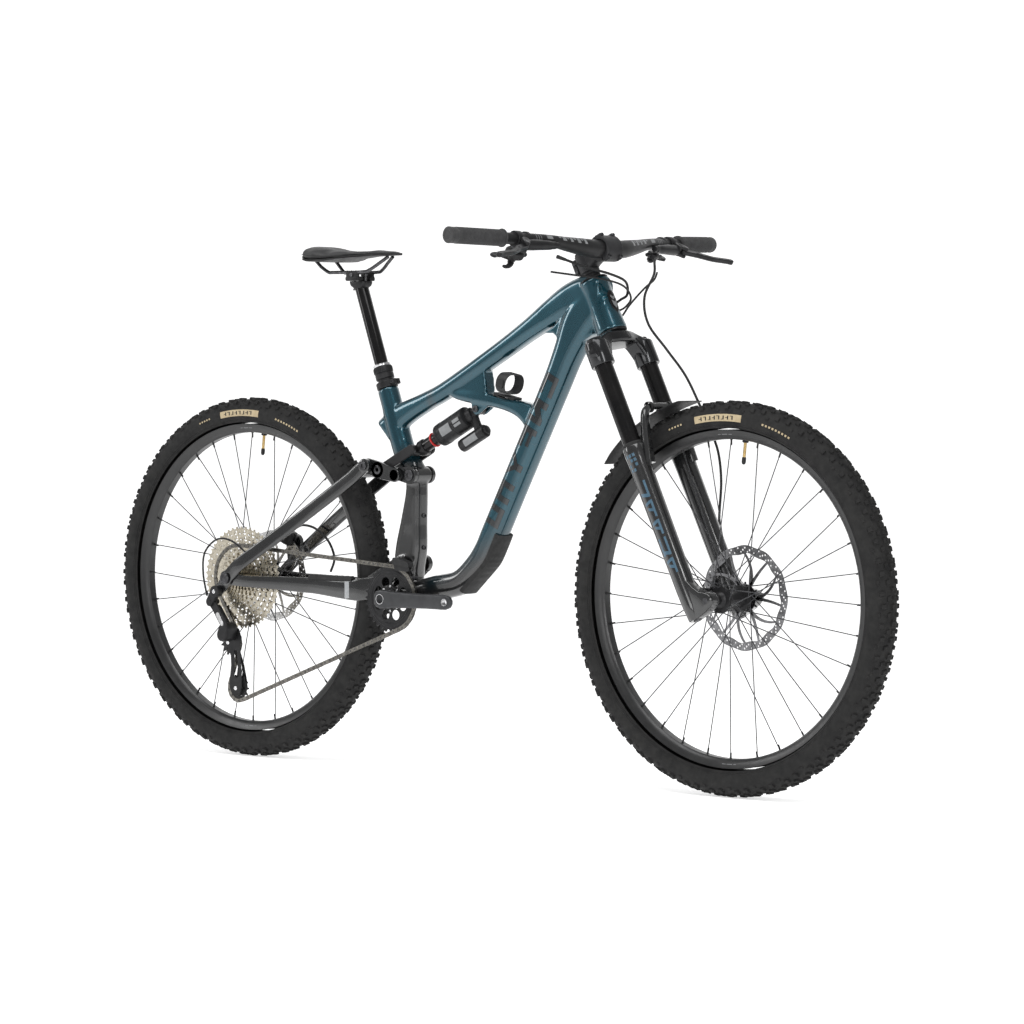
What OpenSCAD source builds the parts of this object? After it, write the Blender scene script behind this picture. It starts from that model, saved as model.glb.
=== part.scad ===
// Full-suspension mountain bike. Millimetres, +X forward, +Y left, +Z up.
// The origin is on the ground, halfway between the axles, in the mid-plane.

/* [Wheels] */
// Outer radius of both tyres
tyre_r = 372; // [370:0.5:373]
// Half of the tyre's width
tyre_half_w = 33; // [31:0.5:33]
// Distance between the wheel axles
wheelbase = 1244; // [1243:0.5:1245]
// Number of spokes in each wheel
spoke_count = 32; // [28:4:32]
// Spoke diameter
spoke_d = 2; // [1.8:0.1:2.2]

/* [Fork] */
// Outer diameter of the stanchions
stanchion_d = 35; // [34:0.5:35]
// Sideways distance from the mid-plane to each fork leg
leg_y = 69; // [68.5:0.5:69.5]
// Lean of the steering axis back from vertical
steer_lean = 25.5; // [25.4:0.05:25.6]
// Distance of the front axle ahead of the steering axis
fork_rake = 44; // [43.5:0.5:44.5]

/* [Drivetrain] */
// Crank arm length
crank_len = 170; // [165:1:172]
// Teeth on the chainring
ring_teeth = 32; // [32:1:32]
// Teeth on the sprocket that carries the chain
cog_teeth = 33; // [33:1:33]
// Radius of a pedal hole's wall
pedal_hole_r = 7.14; // [7.1:0.02:7.2]

/* [Cockpit] */
// Handlebar width, tip to tip
bar_w = 800; // [790:2:800]
// Handlebar diameter at the stem
bar_clamp_d = 31.8; // [31.8:0.1:31.8]
// Length of each grip
grip_len = 136; // [130:1:138]

/* [Seat] */
// Saddle length
saddle_len = 245; // [243:1:248]
// Diameter of the dropper post's sliding tube
post_d = 28; // [27:0.5:28]

/* [Hidden] */
$fn = 48;

// main points in the mid-plane, as [x, z]
RA = [-wheelbase/2, 372];      // rear axle
FA = [wheelbase/2, 372];       // front axle
BB = [-189, 345];              // crank spindle
MP = [-180, 412];              // main pivot of the chainstay
KP = [-162, 591];              // rocker's fixed pivot
JP = [-263, 609];              // rocker to seatstay pivot
YP = [-236, 601];              // rocker to shock yoke pivot
SP = [-1, 724];                // shock's front eyelet
ST_D = [sin(19.3), 0, -cos(19.3)]; // direction down the seat tube
SC = [-245.7, 763];            // top of the seat tube
SA = FA - fork_rake*[cos(steer_lean), sin(steer_lean)]; // foot of the steering axis
GP = [-645, 237];              // guide pulley
TP = [-623, 143];              // tension pulley
R_ring = 12.7/(2*sin(180/ring_teeth));
R_cog = 12.7/(2*sin(180/cog_teeth));
R_pul = 12.7/(2*sin(180/13));
y_ring = -55;
y_cog = -43.75;

// ---- helpers ----
module steer() translate([SA.x, 0, SA.y]) rotate([0, -steer_lean, 0]) children();
module ycyl(p, r, y0, y1) translate([p.x, y1, p.y]) rotate([90, 0, 0]) cylinder(h = y1 - y0, r = r);
module ycone(p, ra, rb, y0, y1) translate([p.x, y0, p.y]) rotate([-90, 0, 0]) cylinder(h = y1 - y0, r1 = ra, r2 = rb);
module plate(y0, y1) translate([0, y1, 0]) rotate([90, 0, 0]) linear_extrude(y1 - y0) children();
module both() { children(); mirror([0, 1, 0]) children(); }
module rrect(w, h, r) {
  square([w - 2*r, h], center = true);
  square([w, h - 2*r], center = true);
  for (i = [-1, 1], j = [-1, 1]) translate([i*(w/2 - r), j*(h/2 - r)]) circle(r, $fn = 24);
}
// box beam with bevelled long edges
module bar2(a, b, w, h, c = 7) {
  d = b - a; L = norm(d);
  translate([a.x, 0, a.y]) rotate([0, -atan2(d.y, d.x), 0])
    rotate([90, 0, 90]) linear_extrude(L) polygon([[-w/2 + c, -h/2], [w/2 - c, -h/2], [w/2, -h/2 + c], [w/2, h/2 - c],
      [w/2 - c, h/2], [-w/2 + c, h/2], [-w/2, h/2 - c], [-w/2, -h/2 + c]]);
}
// local x along a to b
module along(a, b) translate([a.x, 0, a.y]) rotate([0, -atan2(b.y - a.y, b.x - a.x), 0]) children();
// flat link outline around two centres
module link2(a, b, ra, rb) {
  d = b - a; L = norm(d); t = atan2(d.y, d.x); f = acos((ra - rb)/L); pa = 0.985*ra; pb = 0.985*rb;
  translate(a) circle(ra); translate(b) circle(rb);
  polygon([a + pa*[cos(t + f), sin(t + f)], b + pb*[cos(t + f), sin(t + f)],
           b + pb*[cos(t - f), sin(t - f)], a + pa*[cos(t - f), sin(t - f)]]);
}
// round rod between two points
module rod(a, b, r, r2 = -1) {
  d = b - a; L = norm(d);
  translate(a) rotate([0, acos(d.z/L), atan2(d.y, d.x)]) cylinder(h = L, r1 = r, r2 = r2 < 0 ? r : r2);
}
module rods(pts, r) {
  for (i = [0 : len(pts) - 2]) rod(pts[i], pts[i+1], r);
  for (i = [1 : len(pts) - 2]) translate(pts[i]) sphere(r, $fn = 24);
}
function unit(v) = v/norm(v);
function cr(a, b, c, d, t) = 0.5*((2*b) + (c - a)*t + (2*a - 5*b + 4*c - d)*t*t + (3*b - a - 3*c + d)*t*t*t);
function spl(P, k) = [for (i = [0 : len(P) - 2], j = [0 : k - 1])
    cr(P[max(i - 1, 0)], P[i], P[i + 1], P[min(i + 2, len(P) - 1)], j/k), P[len(P) - 1]];
// hose: closed tube of n sides swept along points
module hose(P, r, n = 8) {
  m = len(P);
  T = [for (i = [0 : m - 1]) unit(P[min(i + 1, m - 1)] - P[max(i - 1, 0)])];
  V = [for (i = [0 : m - 1]) let (u = unit(cross(T[i], [0.31, -0.17, 0.93])), v = cross(T[i], u))
       each [for (j = [0 : n - 1]) P[i] + r*(cos(360*j/n)*u + sin(360*j/n)*v)]];
  polyhedron(points = V, faces = concat(
    [[for (j = [0 : n - 1]) j]], [[for (j = [n - 1 : -1 : 0]) (m - 1)*n + j]],
    [for (i = [0 : m - 2], j = [0 : n - 1]) each [[i*n + j, (i + 1)*n + j, i*n + (j + 1)%n],
      [i*n + (j + 1)%n, (i + 1)*n + j, (i + 1)*n + (j + 1)%n]]]));
}
// steering-frame point as a row-frame point
function sp(f, y, s) = [SA.x + f*cos(steer_lean) - s*sin(steer_lean), y, SA.y + f*sin(steer_lean) + s*cos(steer_lean)];

// ---- frame ----
HT0 = [SA.x - 576*sin(steer_lean), SA.y + 576*cos(steer_lean)];
HT1 = [SA.x - 684*sin(steer_lean), SA.y + 684*cos(steer_lean)];
function stp(d) = [SC.x + d*ST_D.x, SC.y + d*ST_D.z];   // point d below the seat tube's top
module front_triangle() color("#0d4552") difference() {
  union() {
    steer() translate([0, 0, 576]) cylinder(h = 108, r = 29);
    bar2([-205, 688], [270, 950], 38, 38);                     // top tube
    plate(-21, 21) polygon([[150, 866], [158, 912], [268, 972], [300, 960], [322, 880], [300, 860], [266, 820], [228, 826], [196, 888]]);
    bar2([258, 890], [19, 444], 48, 52);                       // down tube
    ycyl([19, 444], 25.2, -23.4, 23.4);
    bar2([19, 444], [-50, 378], 46, 51);                       // lower bend
    ycyl([-50, 378], 24.6, -22.4, 22.4);
    bar2([-50, 378], [-170, 362], 45, 47);
    bar2([-60, 758], [150, 713], 34, 28);                      // shock bridge
    translate([SC.x, 0, SC.y]) rotate([0, 180 - 19.3, 0]) cylinder(h = 168, r = 22);   // upper seat tube
    plate(-20, 20) polygon([[-147, 612], [-150, 560], [-150, 400], [-168, 372], [-205, 372], [-214, 400], [-213, 440], [-200, 520], [-187, 575], [-202, 640], [-175, 640]]);
    ycyl(KP, 17, -22.3, 22.3);                                     // rocker boss
    plate(-16, 16) polygon([[-76, 756], [-66, 786], [14, 828], [24, 782], [26, 760], [20, 742], [-40, 746]]);   // bridge root
    ycyl(MP, 17.5, -30, 30);                                   // main pivot boss
    ycyl(BB, 25, -36.5, 36.5);                                 // bottom bracket shell
    for (y = [-14, 8]) plate(y, y + 6) polygon([[-14, 726], [-8, 712], [6, 712], [30, 728], [30, 742], [-10, 746]]); // shock tabs
  }
  steer() translate([0, 0, 500]) cylinder(h = 300, r = 22.1);
  steer() translate([0, 0, 572]) cylinder(h = 16, r = 26);
  steer() translate([0, 0, 673]) cylinder(h = 16, r = 26);
  translate([SC.x, 0, SC.y]) rotate([0, 180 - 19.3, 0]) translate([0, 0, -5]) cylinder(h = 199.2, r = 15.9);
  ycyl(BB, 20.5, -40, 40);
  ycyl(KP, 5, -40, 40);
  ycyl(MP, 8, -40, 40);
  ycyl(SP, 4, -22, 22);
  ycyl(SP, 12.5, -7.9, 7.9);                                   // eyelet pocket
  for (z = [446, 510]) translate([-185, 0, z]) rotate([0, 90, 0]) cylinder(h = 50, r = 2.5);
}
module headset_bearings() color("#1c1c1e") steer() {
  difference() { translate([0, 0, 576]) cylinder(h = 12, r = 26); translate([0, 0, 570]) cylinder(h = 30, r = 20.1); }
  difference() { translate([0, 0, 673]) cylinder(h = 11, r = 26); translate([0, 0, 670]) cylinder(h = 30, r = 14.4); }
  difference() { translate([0, 0, 684]) cylinder(h = 6, r1 = 26, r2 = 22); translate([0, 0, 680]) cylinder(h = 30, r = 14.4); }
}
module seatpost_frame() translate([SC.x, 0, SC.y]) rotate([0, -19.3, 0]) children();
module seat_collar() color("#141414") seatpost_frame() {
  difference() {
    union() { translate([0, 0, 1]) cylinder(h = 13, r = 21.5); translate([16, -8, 2]) cube([13, 16, 11]); }
    translate([0, 0, -5]) cylinder(h = 40, r = 15.9);
    translate([14, -1, -1]) cube([26, 2, 20]);
    translate([24.5, 10, 7.5]) rotate([90, 0, 0]) cylinder(h = 20, r = 2.6);
  }
  translate([24.5, 10, 7.5]) rotate([90, 0, 0]) cylinder(h = 20, r = 2.5);
}
module dropper_lower_tube() color("#101010") seatpost_frame() difference() {
  union() {
    translate([0, 0, -191]) cylinder(h = 211.5, r = 15.8);
    translate([0, 0, 20]) cylinder(h = 26, r = 19);
    translate([0, 0, 46]) cylinder(h = 5, r = 17);
  }
  translate([0, 0, -185]) cylinder(h = 300, r = post_d/2 + 0.08);
}
module downtube_guard() color("#1f2022") plate(-22, 22)
  polygon([[66.3, 476.3], [42.4, 431.6], [37.4, 425.3], [-31.6, 359], [-29, 356], [40.6, 422.2], [46, 429.2], [69.9, 474.4]]);
module bottom_bracket() color("#2a2a2c") both() difference() {
  union() { ycyl(BB, 20.45, 26, 36.5); ycyl(BB, 23, 36.6, 42); }
  ycyl(BB, 14.56, 20, 50);
}
module accessory_strap() color("#161616") {
  along([20, 740], [112, 720]) {
    translate([47, 0, 18.5]) difference() { cube([56, 26, 8], center = true); cube([30, 30, 3], center = true); }
    translate([47, 0, 46]) rotate([90, 0, 90]) linear_extrude(24, center = true) difference() {
      rrect(58, 40, 18); rrect(55, 37, 16.5);
    }
  }
}
module chain_guide() color("#17171a") {
  plate(-49.5, -48) link2([-150, 388], [-156, 412], 9, 8);
  ycyl([-150, 386], 5, -48.2, -22.4);
  plate(-66, -49.5) polygon([[-176, 414.5], [-134, 408], [-133, 419], [-168, 428], [-176, 428]]);
  plate(-62, -60.5) polygon([[-176, 414.5], [-134, 408], [-134, 400], [-172, 402]]);
}
module pivot_axles_and_bolts() color("#3a3b3d") {
  ycyl(KP, 4.9, -30.8, 30.8); both() ycyl(KP, 11, 30.8, 33.4);
  ycyl(MP, 7.9, -43.4, 43.4); both() ycyl(MP, 10, 43.4, 45.4);
  ycyl(SP, 3.9, -14, 14); both() ycyl(SP, 7, 14, 17);
  for (z = [446, 510]) translate([-149.9, 0, z]) rotate([0, 90, 0]) difference() {
    cylinder(h = 3, r = 4.5); translate([0, 0, -1]) cylinder(h = 6, r = 2.5); }
}

// ---- fork uppers and cockpit, in the steering frame ----
module fork_crown_steerer() color("#0b0b0c") steer() difference() {
  union() {
    translate([0, 0, 560]) cylinder(h = 190, r = 14.3);
    translate([0, 0, 571]) cylinder(h = 18, r = 19.9);
    translate([0, 0, 547]) cylinder(h = 26, r = 27);
    intersection() {
      translate([-4, 0, 549]) cube([46, 92, 44], center = true);
      rotate([90, 0, 90]) linear_extrude(200, center = true) polygon([[-60, 500], [-46, 500], [-40, 546], [40, 546], [46, 500], [60, 500],
        [60, 552], [34, 571], [-34, 571], [-60, 552]]);
    }
    both() translate([3, leg_y, 505]) cylinder(h = 46, r = 23);
    both() translate([-20, 42, 520]) cube([44, 20, 31]);
  }
  both() translate([3, leg_y, 500]) cylinder(h = 46.5, r = stanchion_d/2);
  translate([0, 0, 556]) cylinder(h = 210, r = 11.5);
  translate([0, 0, 742]) cylinder(h = 10, r = 30);
}
module fork_stanchions() color("#0f0f10") steer() both() {
  difference() { translate([3, leg_y, 175]) cylinder(h = 371.5, r = stanchion_d/2); translate([3, leg_y, 140]) cylinder(h = 380, r = stanchion_d/2 - 2); }
  translate([3, leg_y, 551.05]) cylinder(h = 8, r1 = 17, r2 = 14);
}
module stem() color("#151516") steer() difference() {
  union() {
    translate([0, 0, 703]) cylinder(h = 39, r = 19.5);
    translate([6, -17, 708]) cube([38, 34, 32]);
    translate([54, 24, 727.5]) rotate([90, 0, 0]) cylinder(h = 48, r = 21.5);
    translate([56, -24, 700]) cube([12, 48, 55]);
    translate([-27, -12, 706]) cube([12, 24, 33]);
  }
  translate([0, 0, 690]) cylinder(h = 60, r = 14.35);
  translate([54, 30, 727.5]) rotate([90, 0, 0]) cylinder(h = 60, r = bar_clamp_d/2);
  translate([-40, -1, 690]) cube([30, 2, 60]);
  translate([56.5, -30, 690]) cube([1.2, 60, 80]);
}
module headset_spacers() color("#19191a") steer() {
  for (z = [690.3, 696.7]) difference() { translate([0, 0, z]) cylinder(h = 6, r = 17.5); translate([0, 0, z - 1]) cylinder(h = 9, r = 14.4); }
  translate([0, 0, 742.1]) cylinder(h = 4, r = 18);
  for (z = [704.5, 750.5], y = [-17, 17]) translate([68.05, y, z]) rotate([0, 90, 0]) cylinder(h = 3, r = 3.6);
  for (z = [713, 731]) translate([-21, 12.1, z]) rotate([-90, 0, 0]) cylinder(h = 3.5, r = 3.6);
}
// handlebar stations: [forward, sideways, along the axis]
HB = [[54, 0, 727.5], [54, 46, 727.5], [49, 105, 737], [42.5, 160, 747.5], [30, 262, 755.6], [14.2, bar_w/2 - 1.5, 766.4]];
HD = unit(HB[5] - HB[4]);
function hb(y) = HB[4] + HD*((y - 262)/HD.y);   // point on the straight outer part
module handlebar() color("#161617") steer() {
  rod([54, -46, 727.5], [54, 46, 727.5], bar_clamp_d/2);
  both() {
    translate(HB[1]) sphere(bar_clamp_d/2 + 0.4);
    rod(HB[1], HB[2], bar_clamp_d/2 - 0.3, 13.6); translate(HB[2]) sphere(14);
    rod(HB[2], HB[3], 13.6, 11.2); translate(HB[3]) sphere(11.7);
    rod(HB[3], HB[4], 11.1); translate(HB[4]) sphere(11.6);
    difference() { rod(HB[4], HB[5], 11.1); rod(hb(280), hb(410), 8.8); }
  }
}
module grips() color("#2b2b2c") steer() both() difference() {
  union() {
    rod(hb(400 - grip_len), hb(398), 16);
    rod(hb(400 - grip_len), hb(403 - grip_len), 17.5);
    rod(hb(397), hb(400), 16, 14.5);
  }
  rod(hb(400 - grip_len - 2), hb(398.2), 11.12);
}
// control frames: x forward and down, y along the bar, z up; right-hand side
module lever_side() translate([hb(232).x, -232, hb(232).z]) rotate([0, 30 + steer_lean, 0]) children();
LV = [34, -10, 2];   // lever pivot in the control frame
module brake_body() {
  difference() {
    union() {
      rotate([90, 0, 0]) cylinder(h = 15, r = 15.5, center = true);
      translate([10, -7.5, -10]) cube([18, 15, 20]);
      translate([24, 2, 0]) rotate([-86, 0, -6]) cylinder(h = 84, r1 = 10.5, r2 = 7.5);
      translate([20, -20, -9]) cube([22, 22, 6]);
      translate([20, -20, 7]) cube([22, 22, 6]);
    }
    rotate([90, 0, 0]) cylinder(h = 40, r = 11.3, center = true);
    translate([LV.x, LV.y, -20]) cylinder(h = 40, r = 3.1);
    translate([15, -24, -3]) cube([30, 22.5, 10]);
  }
  translate([LV.x, LV.y, -9.5]) cylinder(h = 23, r = 3);
}
module brake_blade() difference() {
  union() {
    translate([0, 0, -2.6]) linear_extrude(9.2) link2([LV.x, LV.y], [44, -40], 7, 6.5);
    translate([0, 0, -2.6]) linear_extrude(9.2) link2([44, -40], [60, -74], 6.5, 5);
    translate([0, 0, -2.6]) linear_extrude(9.2) link2([60, -74], [66, -116], 5, 4.5);
    translate([0, 0, -3.6]) linear_extrude(11.2) link2([66, -112], [69, -121], 5.4, 5.4);
  }
  translate([LV.x, LV.y, -20]) cylinder(h = 40, r = 3.1);
}
module brake_lever_bodies() color("#141415") steer() both() lever_side() brake_body();
module brake_lever_right() color("#161617") steer() lever_side() brake_blade();
module brake_lever_left() color("#161617") steer() mirror([0, 1, 0]) lever_side() brake_blade();
// shifter: below the right grip's inner end
module shifter_body() color("#121213") steer() lever_side() {
  difference() {
    union() { translate([0, 26, 0]) rotate([90, 0, 0]) cylinder(h = 9, r = 14.5, center = true);
      translate([-8, 22, -26]) cube([14, 8, 14]); }
    translate([0, 30, 0]) rotate([90, 0, 0]) cylinder(h = 60, r = 11.6, center = true);
  }
  translate([-8, 24, -34]) rotate([8, 0, 0]) cylinder(h = 16, r = 19, center = true);
  translate([-6, 40, -36]) rotate([-90, 0, 0]) cylinder(h = 16, r = 5);
}
module shifter_thumb_lever() color("#1b1b1c") steer() lever_side() difference() {
  union() { translate([0, 0, -50.2]) linear_extrude(5) link2([-8, 24], [-26, 2], 8, 6); translate([0, 0, -50.2]) linear_extrude(5) link2([-26, 2], [-22, -16], 5.6, 6.5); }
  translate([-8, 24, -60]) cylinder(h = 20, r = 3.15);
}
module shifter_release_lever() color("#1b1b1c") steer() lever_side() difference() {
  union() { translate([0, 0, -55.5]) linear_extrude(4) link2([-8, 24], [10, -2], 7, 5); translate([0, 0, -55.5]) linear_extrude(4) link2([10, -2], [12, -14], 4.7, 5); }
  translate([-8, 24, -60]) cylinder(h = 20, r = 3.15);
}
// dropper remote: under the left grip's inner end
module dropper_remote_body() color("#121213") steer() mirror([0, 1, 0]) lever_side() {
  difference() {
    union() { translate([0, 26, 0]) rotate([90, 0, 0]) cylinder(h = 9, r = 14.5, center = true);
      translate([-8, 22, -24]) cube([14, 8, 12]);
      translate([-4, 30, -26]) rotate([0, 0, 0]) cylinder(h = 12, r = 11, center = true); }
    translate([0, 30, 0]) rotate([90, 0, 0]) cylinder(h = 60, r = 11.6, center = true);
  }
  translate([-4, 30, -42]) cylinder(h = 10.1, r = 3);
  translate([-4, 38, -26]) rotate([-90, 0, 0]) cylinder(h = 12, r = 4);
}
module dropper_remote_lever() color("#19191a") steer() mirror([0, 1, 0]) lever_side() difference() {
  union() { translate([0, 0, -40]) linear_extrude(6) link2([-4, 30], [-16, 8], 8, 6); translate([0, 0, -40]) linear_extrude(6) link2([-16, 8], [-12, -14], 5.7, 9); }
  translate([-4, 30, -60]) cylinder(h = 40, r = 3.15);
}

// ---- fork lowers ----
module leg_outer() {
  translate([3, leg_y, -22]) cylinder(h = 356, r = 22);
  translate([0, 83, 0]) rotate([90, 0, 0]) linear_extrude(27.6) polygon([[-10, -22], [30, -22], [52, -14], [59, 0], [54, 12], [40, 20], [22, 50], [-6, 50]]);
}
module fork_lowers() color("#0a0a0b") steer() difference() {
  union() {
    both() leg_outer();
    // arch: two risers and a crossbar in front of the stanchions
    both() rod([31, 62, 296], [40, 50, 386], 10);
    both() translate([40, 50, 388]) sphere(11.5, $fn = 32);
    rod([40, -50, 394.5], [40, 50, 394.5], 9);
    plate(53.3, 60) polygon([[-4, 14], [-58, 22], [-64, 44], [-40, 62], [-4, 84]]);   // brake mount
  }
  both() translate([3, leg_y, 10]) cylinder(h = 340, r = stanchion_d/2 + 0.4);
  both() translate([44, 90, 0]) rotate([90, 0, 0]) cylinder(h = 60, r = 6.05);
  // tyre clearance under the arch
  translate([44, 0, 0]) rotate([90, 0, 0]) cylinder(h = 78, r = 381, center = true, $fn = 96);
}
module fork_dust_seals() color("#1d1d1f") steer() both() difference() {
  translate([3, leg_y, 334.1]) cylinder(h = 7, r1 = 21.5, r2 = 20);
  translate([3, leg_y, 330]) cylinder(h = 20, r = stanchion_d/2 + 0.3);
}
module front_axle() color("#2c2c2e") steer() {
  translate([44, 84, 0]) rotate([90, 0, 0]) cylinder(h = 167, r = 6);
  translate([44, 88, 0]) rotate([90, 0, 0]) cylinder(h = 4.9, r = 9);
}
module rotor(y, r) difference() {
  union() {
    difference() { translate([0, y + 0.9, 0]) rotate([90, 0, 0]) cylinder(h = 1.8, r = r); translate([0, y + 5, 0]) rotate([90, 0, 0]) cylinder(h = 10, r = r - 15); }
    for (a = [0 : 60 : 300]) rotate([0, a, 0]) translate([0, y - 0.9, -5]) cube([r - 8, 1.8, 10]);
    translate([0, y + 0.9, 0]) rotate([90, 0, 0]) cylinder(h = 1.8, r = 26);
  }
  translate([0, y + 5, 0]) rotate([90, 0, 0]) cylinder(h = 10, r = 17.1);
}
// caliper around a rotor of radius r at y, pads reaching in 17 mm
module caliper(y, r) {
  for (s = [0, 1]) translate([r - 17, s == 0 ? y + 2.2 : y - 13.2, -22]) cube([30, 11, 44]);
  translate([r + 2.5, y - 13.2, -22]) cube([11, 26.4, 44]);
}
module front_brake_caliper() color("#0e0e0f") steer() translate([44, 0, 0]) {
  rotate([0, 202, 0]) caliper(40, 100);
}
module front_fender() color("#151516") steer() {
  intersection() {
    difference() {
      translate([44, 0, 0]) rotate([90, 0, 0]) cylinder(h = 74, r = 384.5, center = true, $fn = 96);
      translate([44, 0, 0]) rotate([90, 0, 0]) cylinder(h = 80, r = 382.6, center = true, $fn = 96);
    }
    union() {
      rotate([90, 0, 0]) linear_extrude(76, center = true) polygon([[44, 0], [-28, 450], [30, 450]]);
      rotate([90, 0, 0]) linear_extrude(60, center = true) polygon([[44, 0], [-200, 382], [-27, 450]]);
    }
  }
}

// ---- wheels, about the origin, then moved to the axles ----
module tyre2d() difference() {
  translate([tyre_r - tyre_half_w, 0]) circle(tyre_half_w, $fn = 64);
  translate([tyre_r - tyre_half_w, 0]) circle(tyre_half_w - 3.5, $fn = 64);
  translate([280, -17.9]) square([45, 35.8]);
}
module tyre() rotate([90, 0, 0]) rotate_extrude($fn = 120) tyre2d();
module rim() rotate([90, 0, 0]) rotate_extrude($fn = 120) {
  difference() {
    polygon([[299.7, -8], [299.7, 8], [306, 14], [317.5, 17.8], [317.5, 15.1], [310.8, 15.1], [308.5, 6], [308.5, -6], [310.8, -15.1], [317.5, -15.1], [317.5, -17.8], [306, -14]]);
    polygon([[302, -6], [302, 6], [306.3, 5.5], [306.3, -5.5]]);
  }
}
// hub flange radius, right flange y, left flange y
module spokes(fr, yr, yl) for (i = [0 : spoke_count/2 - 1], s = [0, 1]) {
  a = 360/(spoke_count/2)*i + (s == 0 ? 0 : 180/(spoke_count/2));
  o = (i % 2 == 0 ? 1 : -1)*66;
  y = (s == 0 ? yr : yl) + (i % 2 == 0 ? 2.4 : -2.4);
  rod([fr*cos(a + o), y, fr*sin(a + o)], [301*cos(a), s == 0 ? -2.5 : 2.5, 301*sin(a)], spoke_d/2, $fn = 16);
}
module hub(yr, yl, ye, fr, bore, drive) rotate([90, 0, 0]) translate([0, 0, 0]) difference() {
  // modelled along -y after the rotation, so z here is -y
  union() {
    translate([0, 0, -yl]) cylinder(h = yl - yr, r = 17);
    translate([0, 0, -yl - 2]) cylinder(h = 4, r = fr + 3);
    translate([0, 0, -yr - 2]) cylinder(h = 4, r = fr + 3);
    translate([0, 0, -ye]) cylinder(h = 2*ye, r = 9.8);
    if (drive) translate([0, 0, -yr]) cylinder(h = 70 + yr, r = 16.6);
    translate([0, 0, -yl - (drive ? 23 : 17)]) cylinder(h = drive ? 24 : 18, r = 17);
  }
  translate([0, 0, -ye - 5]) cylinder(h = 2*ye + 10, r = bore);
}
module at_front() steer() translate([fork_rake, 0, 0]) rotate([0, steer_lean, 0]) children();
module at_rear() translate([RA.x, 0, RA.y]) children();
module front_tyre() color("#1b1b1b") at_front() tyre();
module rear_tyre() color("#1b1b1b") at_rear() tyre();
module front_rim() color("#101011") at_front() { rim(); rotate([0, 6, 0]) translate([0, 0, 256]) cylinder(h = 44.5, r = 2.6); }
module rear_rim() color("#101011") at_rear() { rim(); rotate([0, 6, 0]) translate([0, 0, 256]) cylinder(h = 44.5, r = 2.6); }
module front_spokes() color("#2e2f31") at_front() spokes(22, -35, 25);
module rear_spokes() color("#2e2f31") at_rear() spokes(26, -22, 36);
module front_hub() color("#141415") at_front() hub(-35, 25, 54.9, 22, 6.15, false);
module rear_hub() color("#141415") at_rear() hub(-22, 36, 73.9, 26, 6.15, true);
module front_brake_rotor() color("#58595b") at_front() rotor(40, 100);
module rear_brake_rotor() color("#a6a7a8") at_rear() rotor(57, 95);
COGS = [10, 12, 14, 16, 18, 21, 24, 28, 33, 39, 45, 51];
module cassette() color("#b9ab8f") at_rear() rotate([90, 0, 0]) difference() {
  union() for (i = [0 : 11]) {
    R = 12.7/(2*sin(180/COGS[i]));
    y = y_cog - (8 - i)*3.55;
    translate([0, 0, -y - 0.8]) cylinder(h = 1.6, r = i == 8 ? R - 5.2 : i > 8 ? R + 2.5 : R - 1);
    if (i < 11) translate([0, 0, -y - 3.55]) cylinder(h = 3.55, r = max(19.5, R - 9));
  }
  translate([0, 0, 0]) cylinder(h = 100, r = 17.1);
}

// ---- rear triangle ----
CSF = [-300, 357];
module chainstay() color("#0b0b0c") difference() {
  union() {
    both() plate(31, 43) link2(MP, [-250, 366], 17, 24);
    both() plate(32, 46) link2([-250, 366], CSF, 24, 26);
    translate([-230.5, 0, 376]) cube([25, 80, 48], center = true);   // bridge ahead of the tyre
    // right side arm
    intersection() {
      plate(-84, -30) { polygon([[-280, 384], [-280, 330], [-430, 345], [-622, 352], [-640, 360], [-640, 384], [-430, 381]]); }
      linear_extrude(500) polygon([[-270, -39], [-270, -50], [-400, -51.5], [-520, -70], [-585, -79], [-645, -79], [-645, -74.1],
        [-603, -74.1], [-575, -72.8], [-520, -60.5], [-440, -45], [-400, -40], [-330, -38.5]]);
    }
    // left side arm
    intersection() {
      plate(30, 84) polygon([[-280, 384], [-280, 330], [-430, 345], [-622, 352], [-640, 360], [-640, 384], [-430, 381]]);
      linear_extrude(500) polygon([[-270, 39], [-270, 50], [-400, 53], [-520, 73], [-585, 79], [-645, 79], [-645, 74.1],
        [-603, 74.1], [-560, 69], [-500, 62], [-440, 45], [-400, 40], [-330, 38.5]]);
    }
    both() ycyl(RA, 17, 74.1, 79);
    plate(-79, -74.1) link2(RA, [-648, 344], 17, 12);
  }
  ycyl(MP, 8.05, -50, 50);
  ycyl(RA, 6.02, -90, 90);
  ycyl([-648, 344], 5, -90, -70);
  ycyl(RA, 378, -36.5, 36.5);   // tyre room
}
module chainstay_guard() color("#202021") intersection() {
  plate(-53.2, -39) polygon([[-300, 382.6], [-420, 381.9], [-420, 386], [-300, 388]]);
  linear_extrude(500) polygon([[-298, -39], [-298, -51.5], [-400, -52], [-418, -54], [-418, -42], [-400, -40]]);
}
module rear_axle() color("#232325") {
  ycyl(RA, 6, -86, 88);
  ycyl(RA, 9, 84.6, 89);
  ycyl(RA, 12, -89.5, -84.6);
}
CG = [[-618, 262], [-633, 250]];
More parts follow.
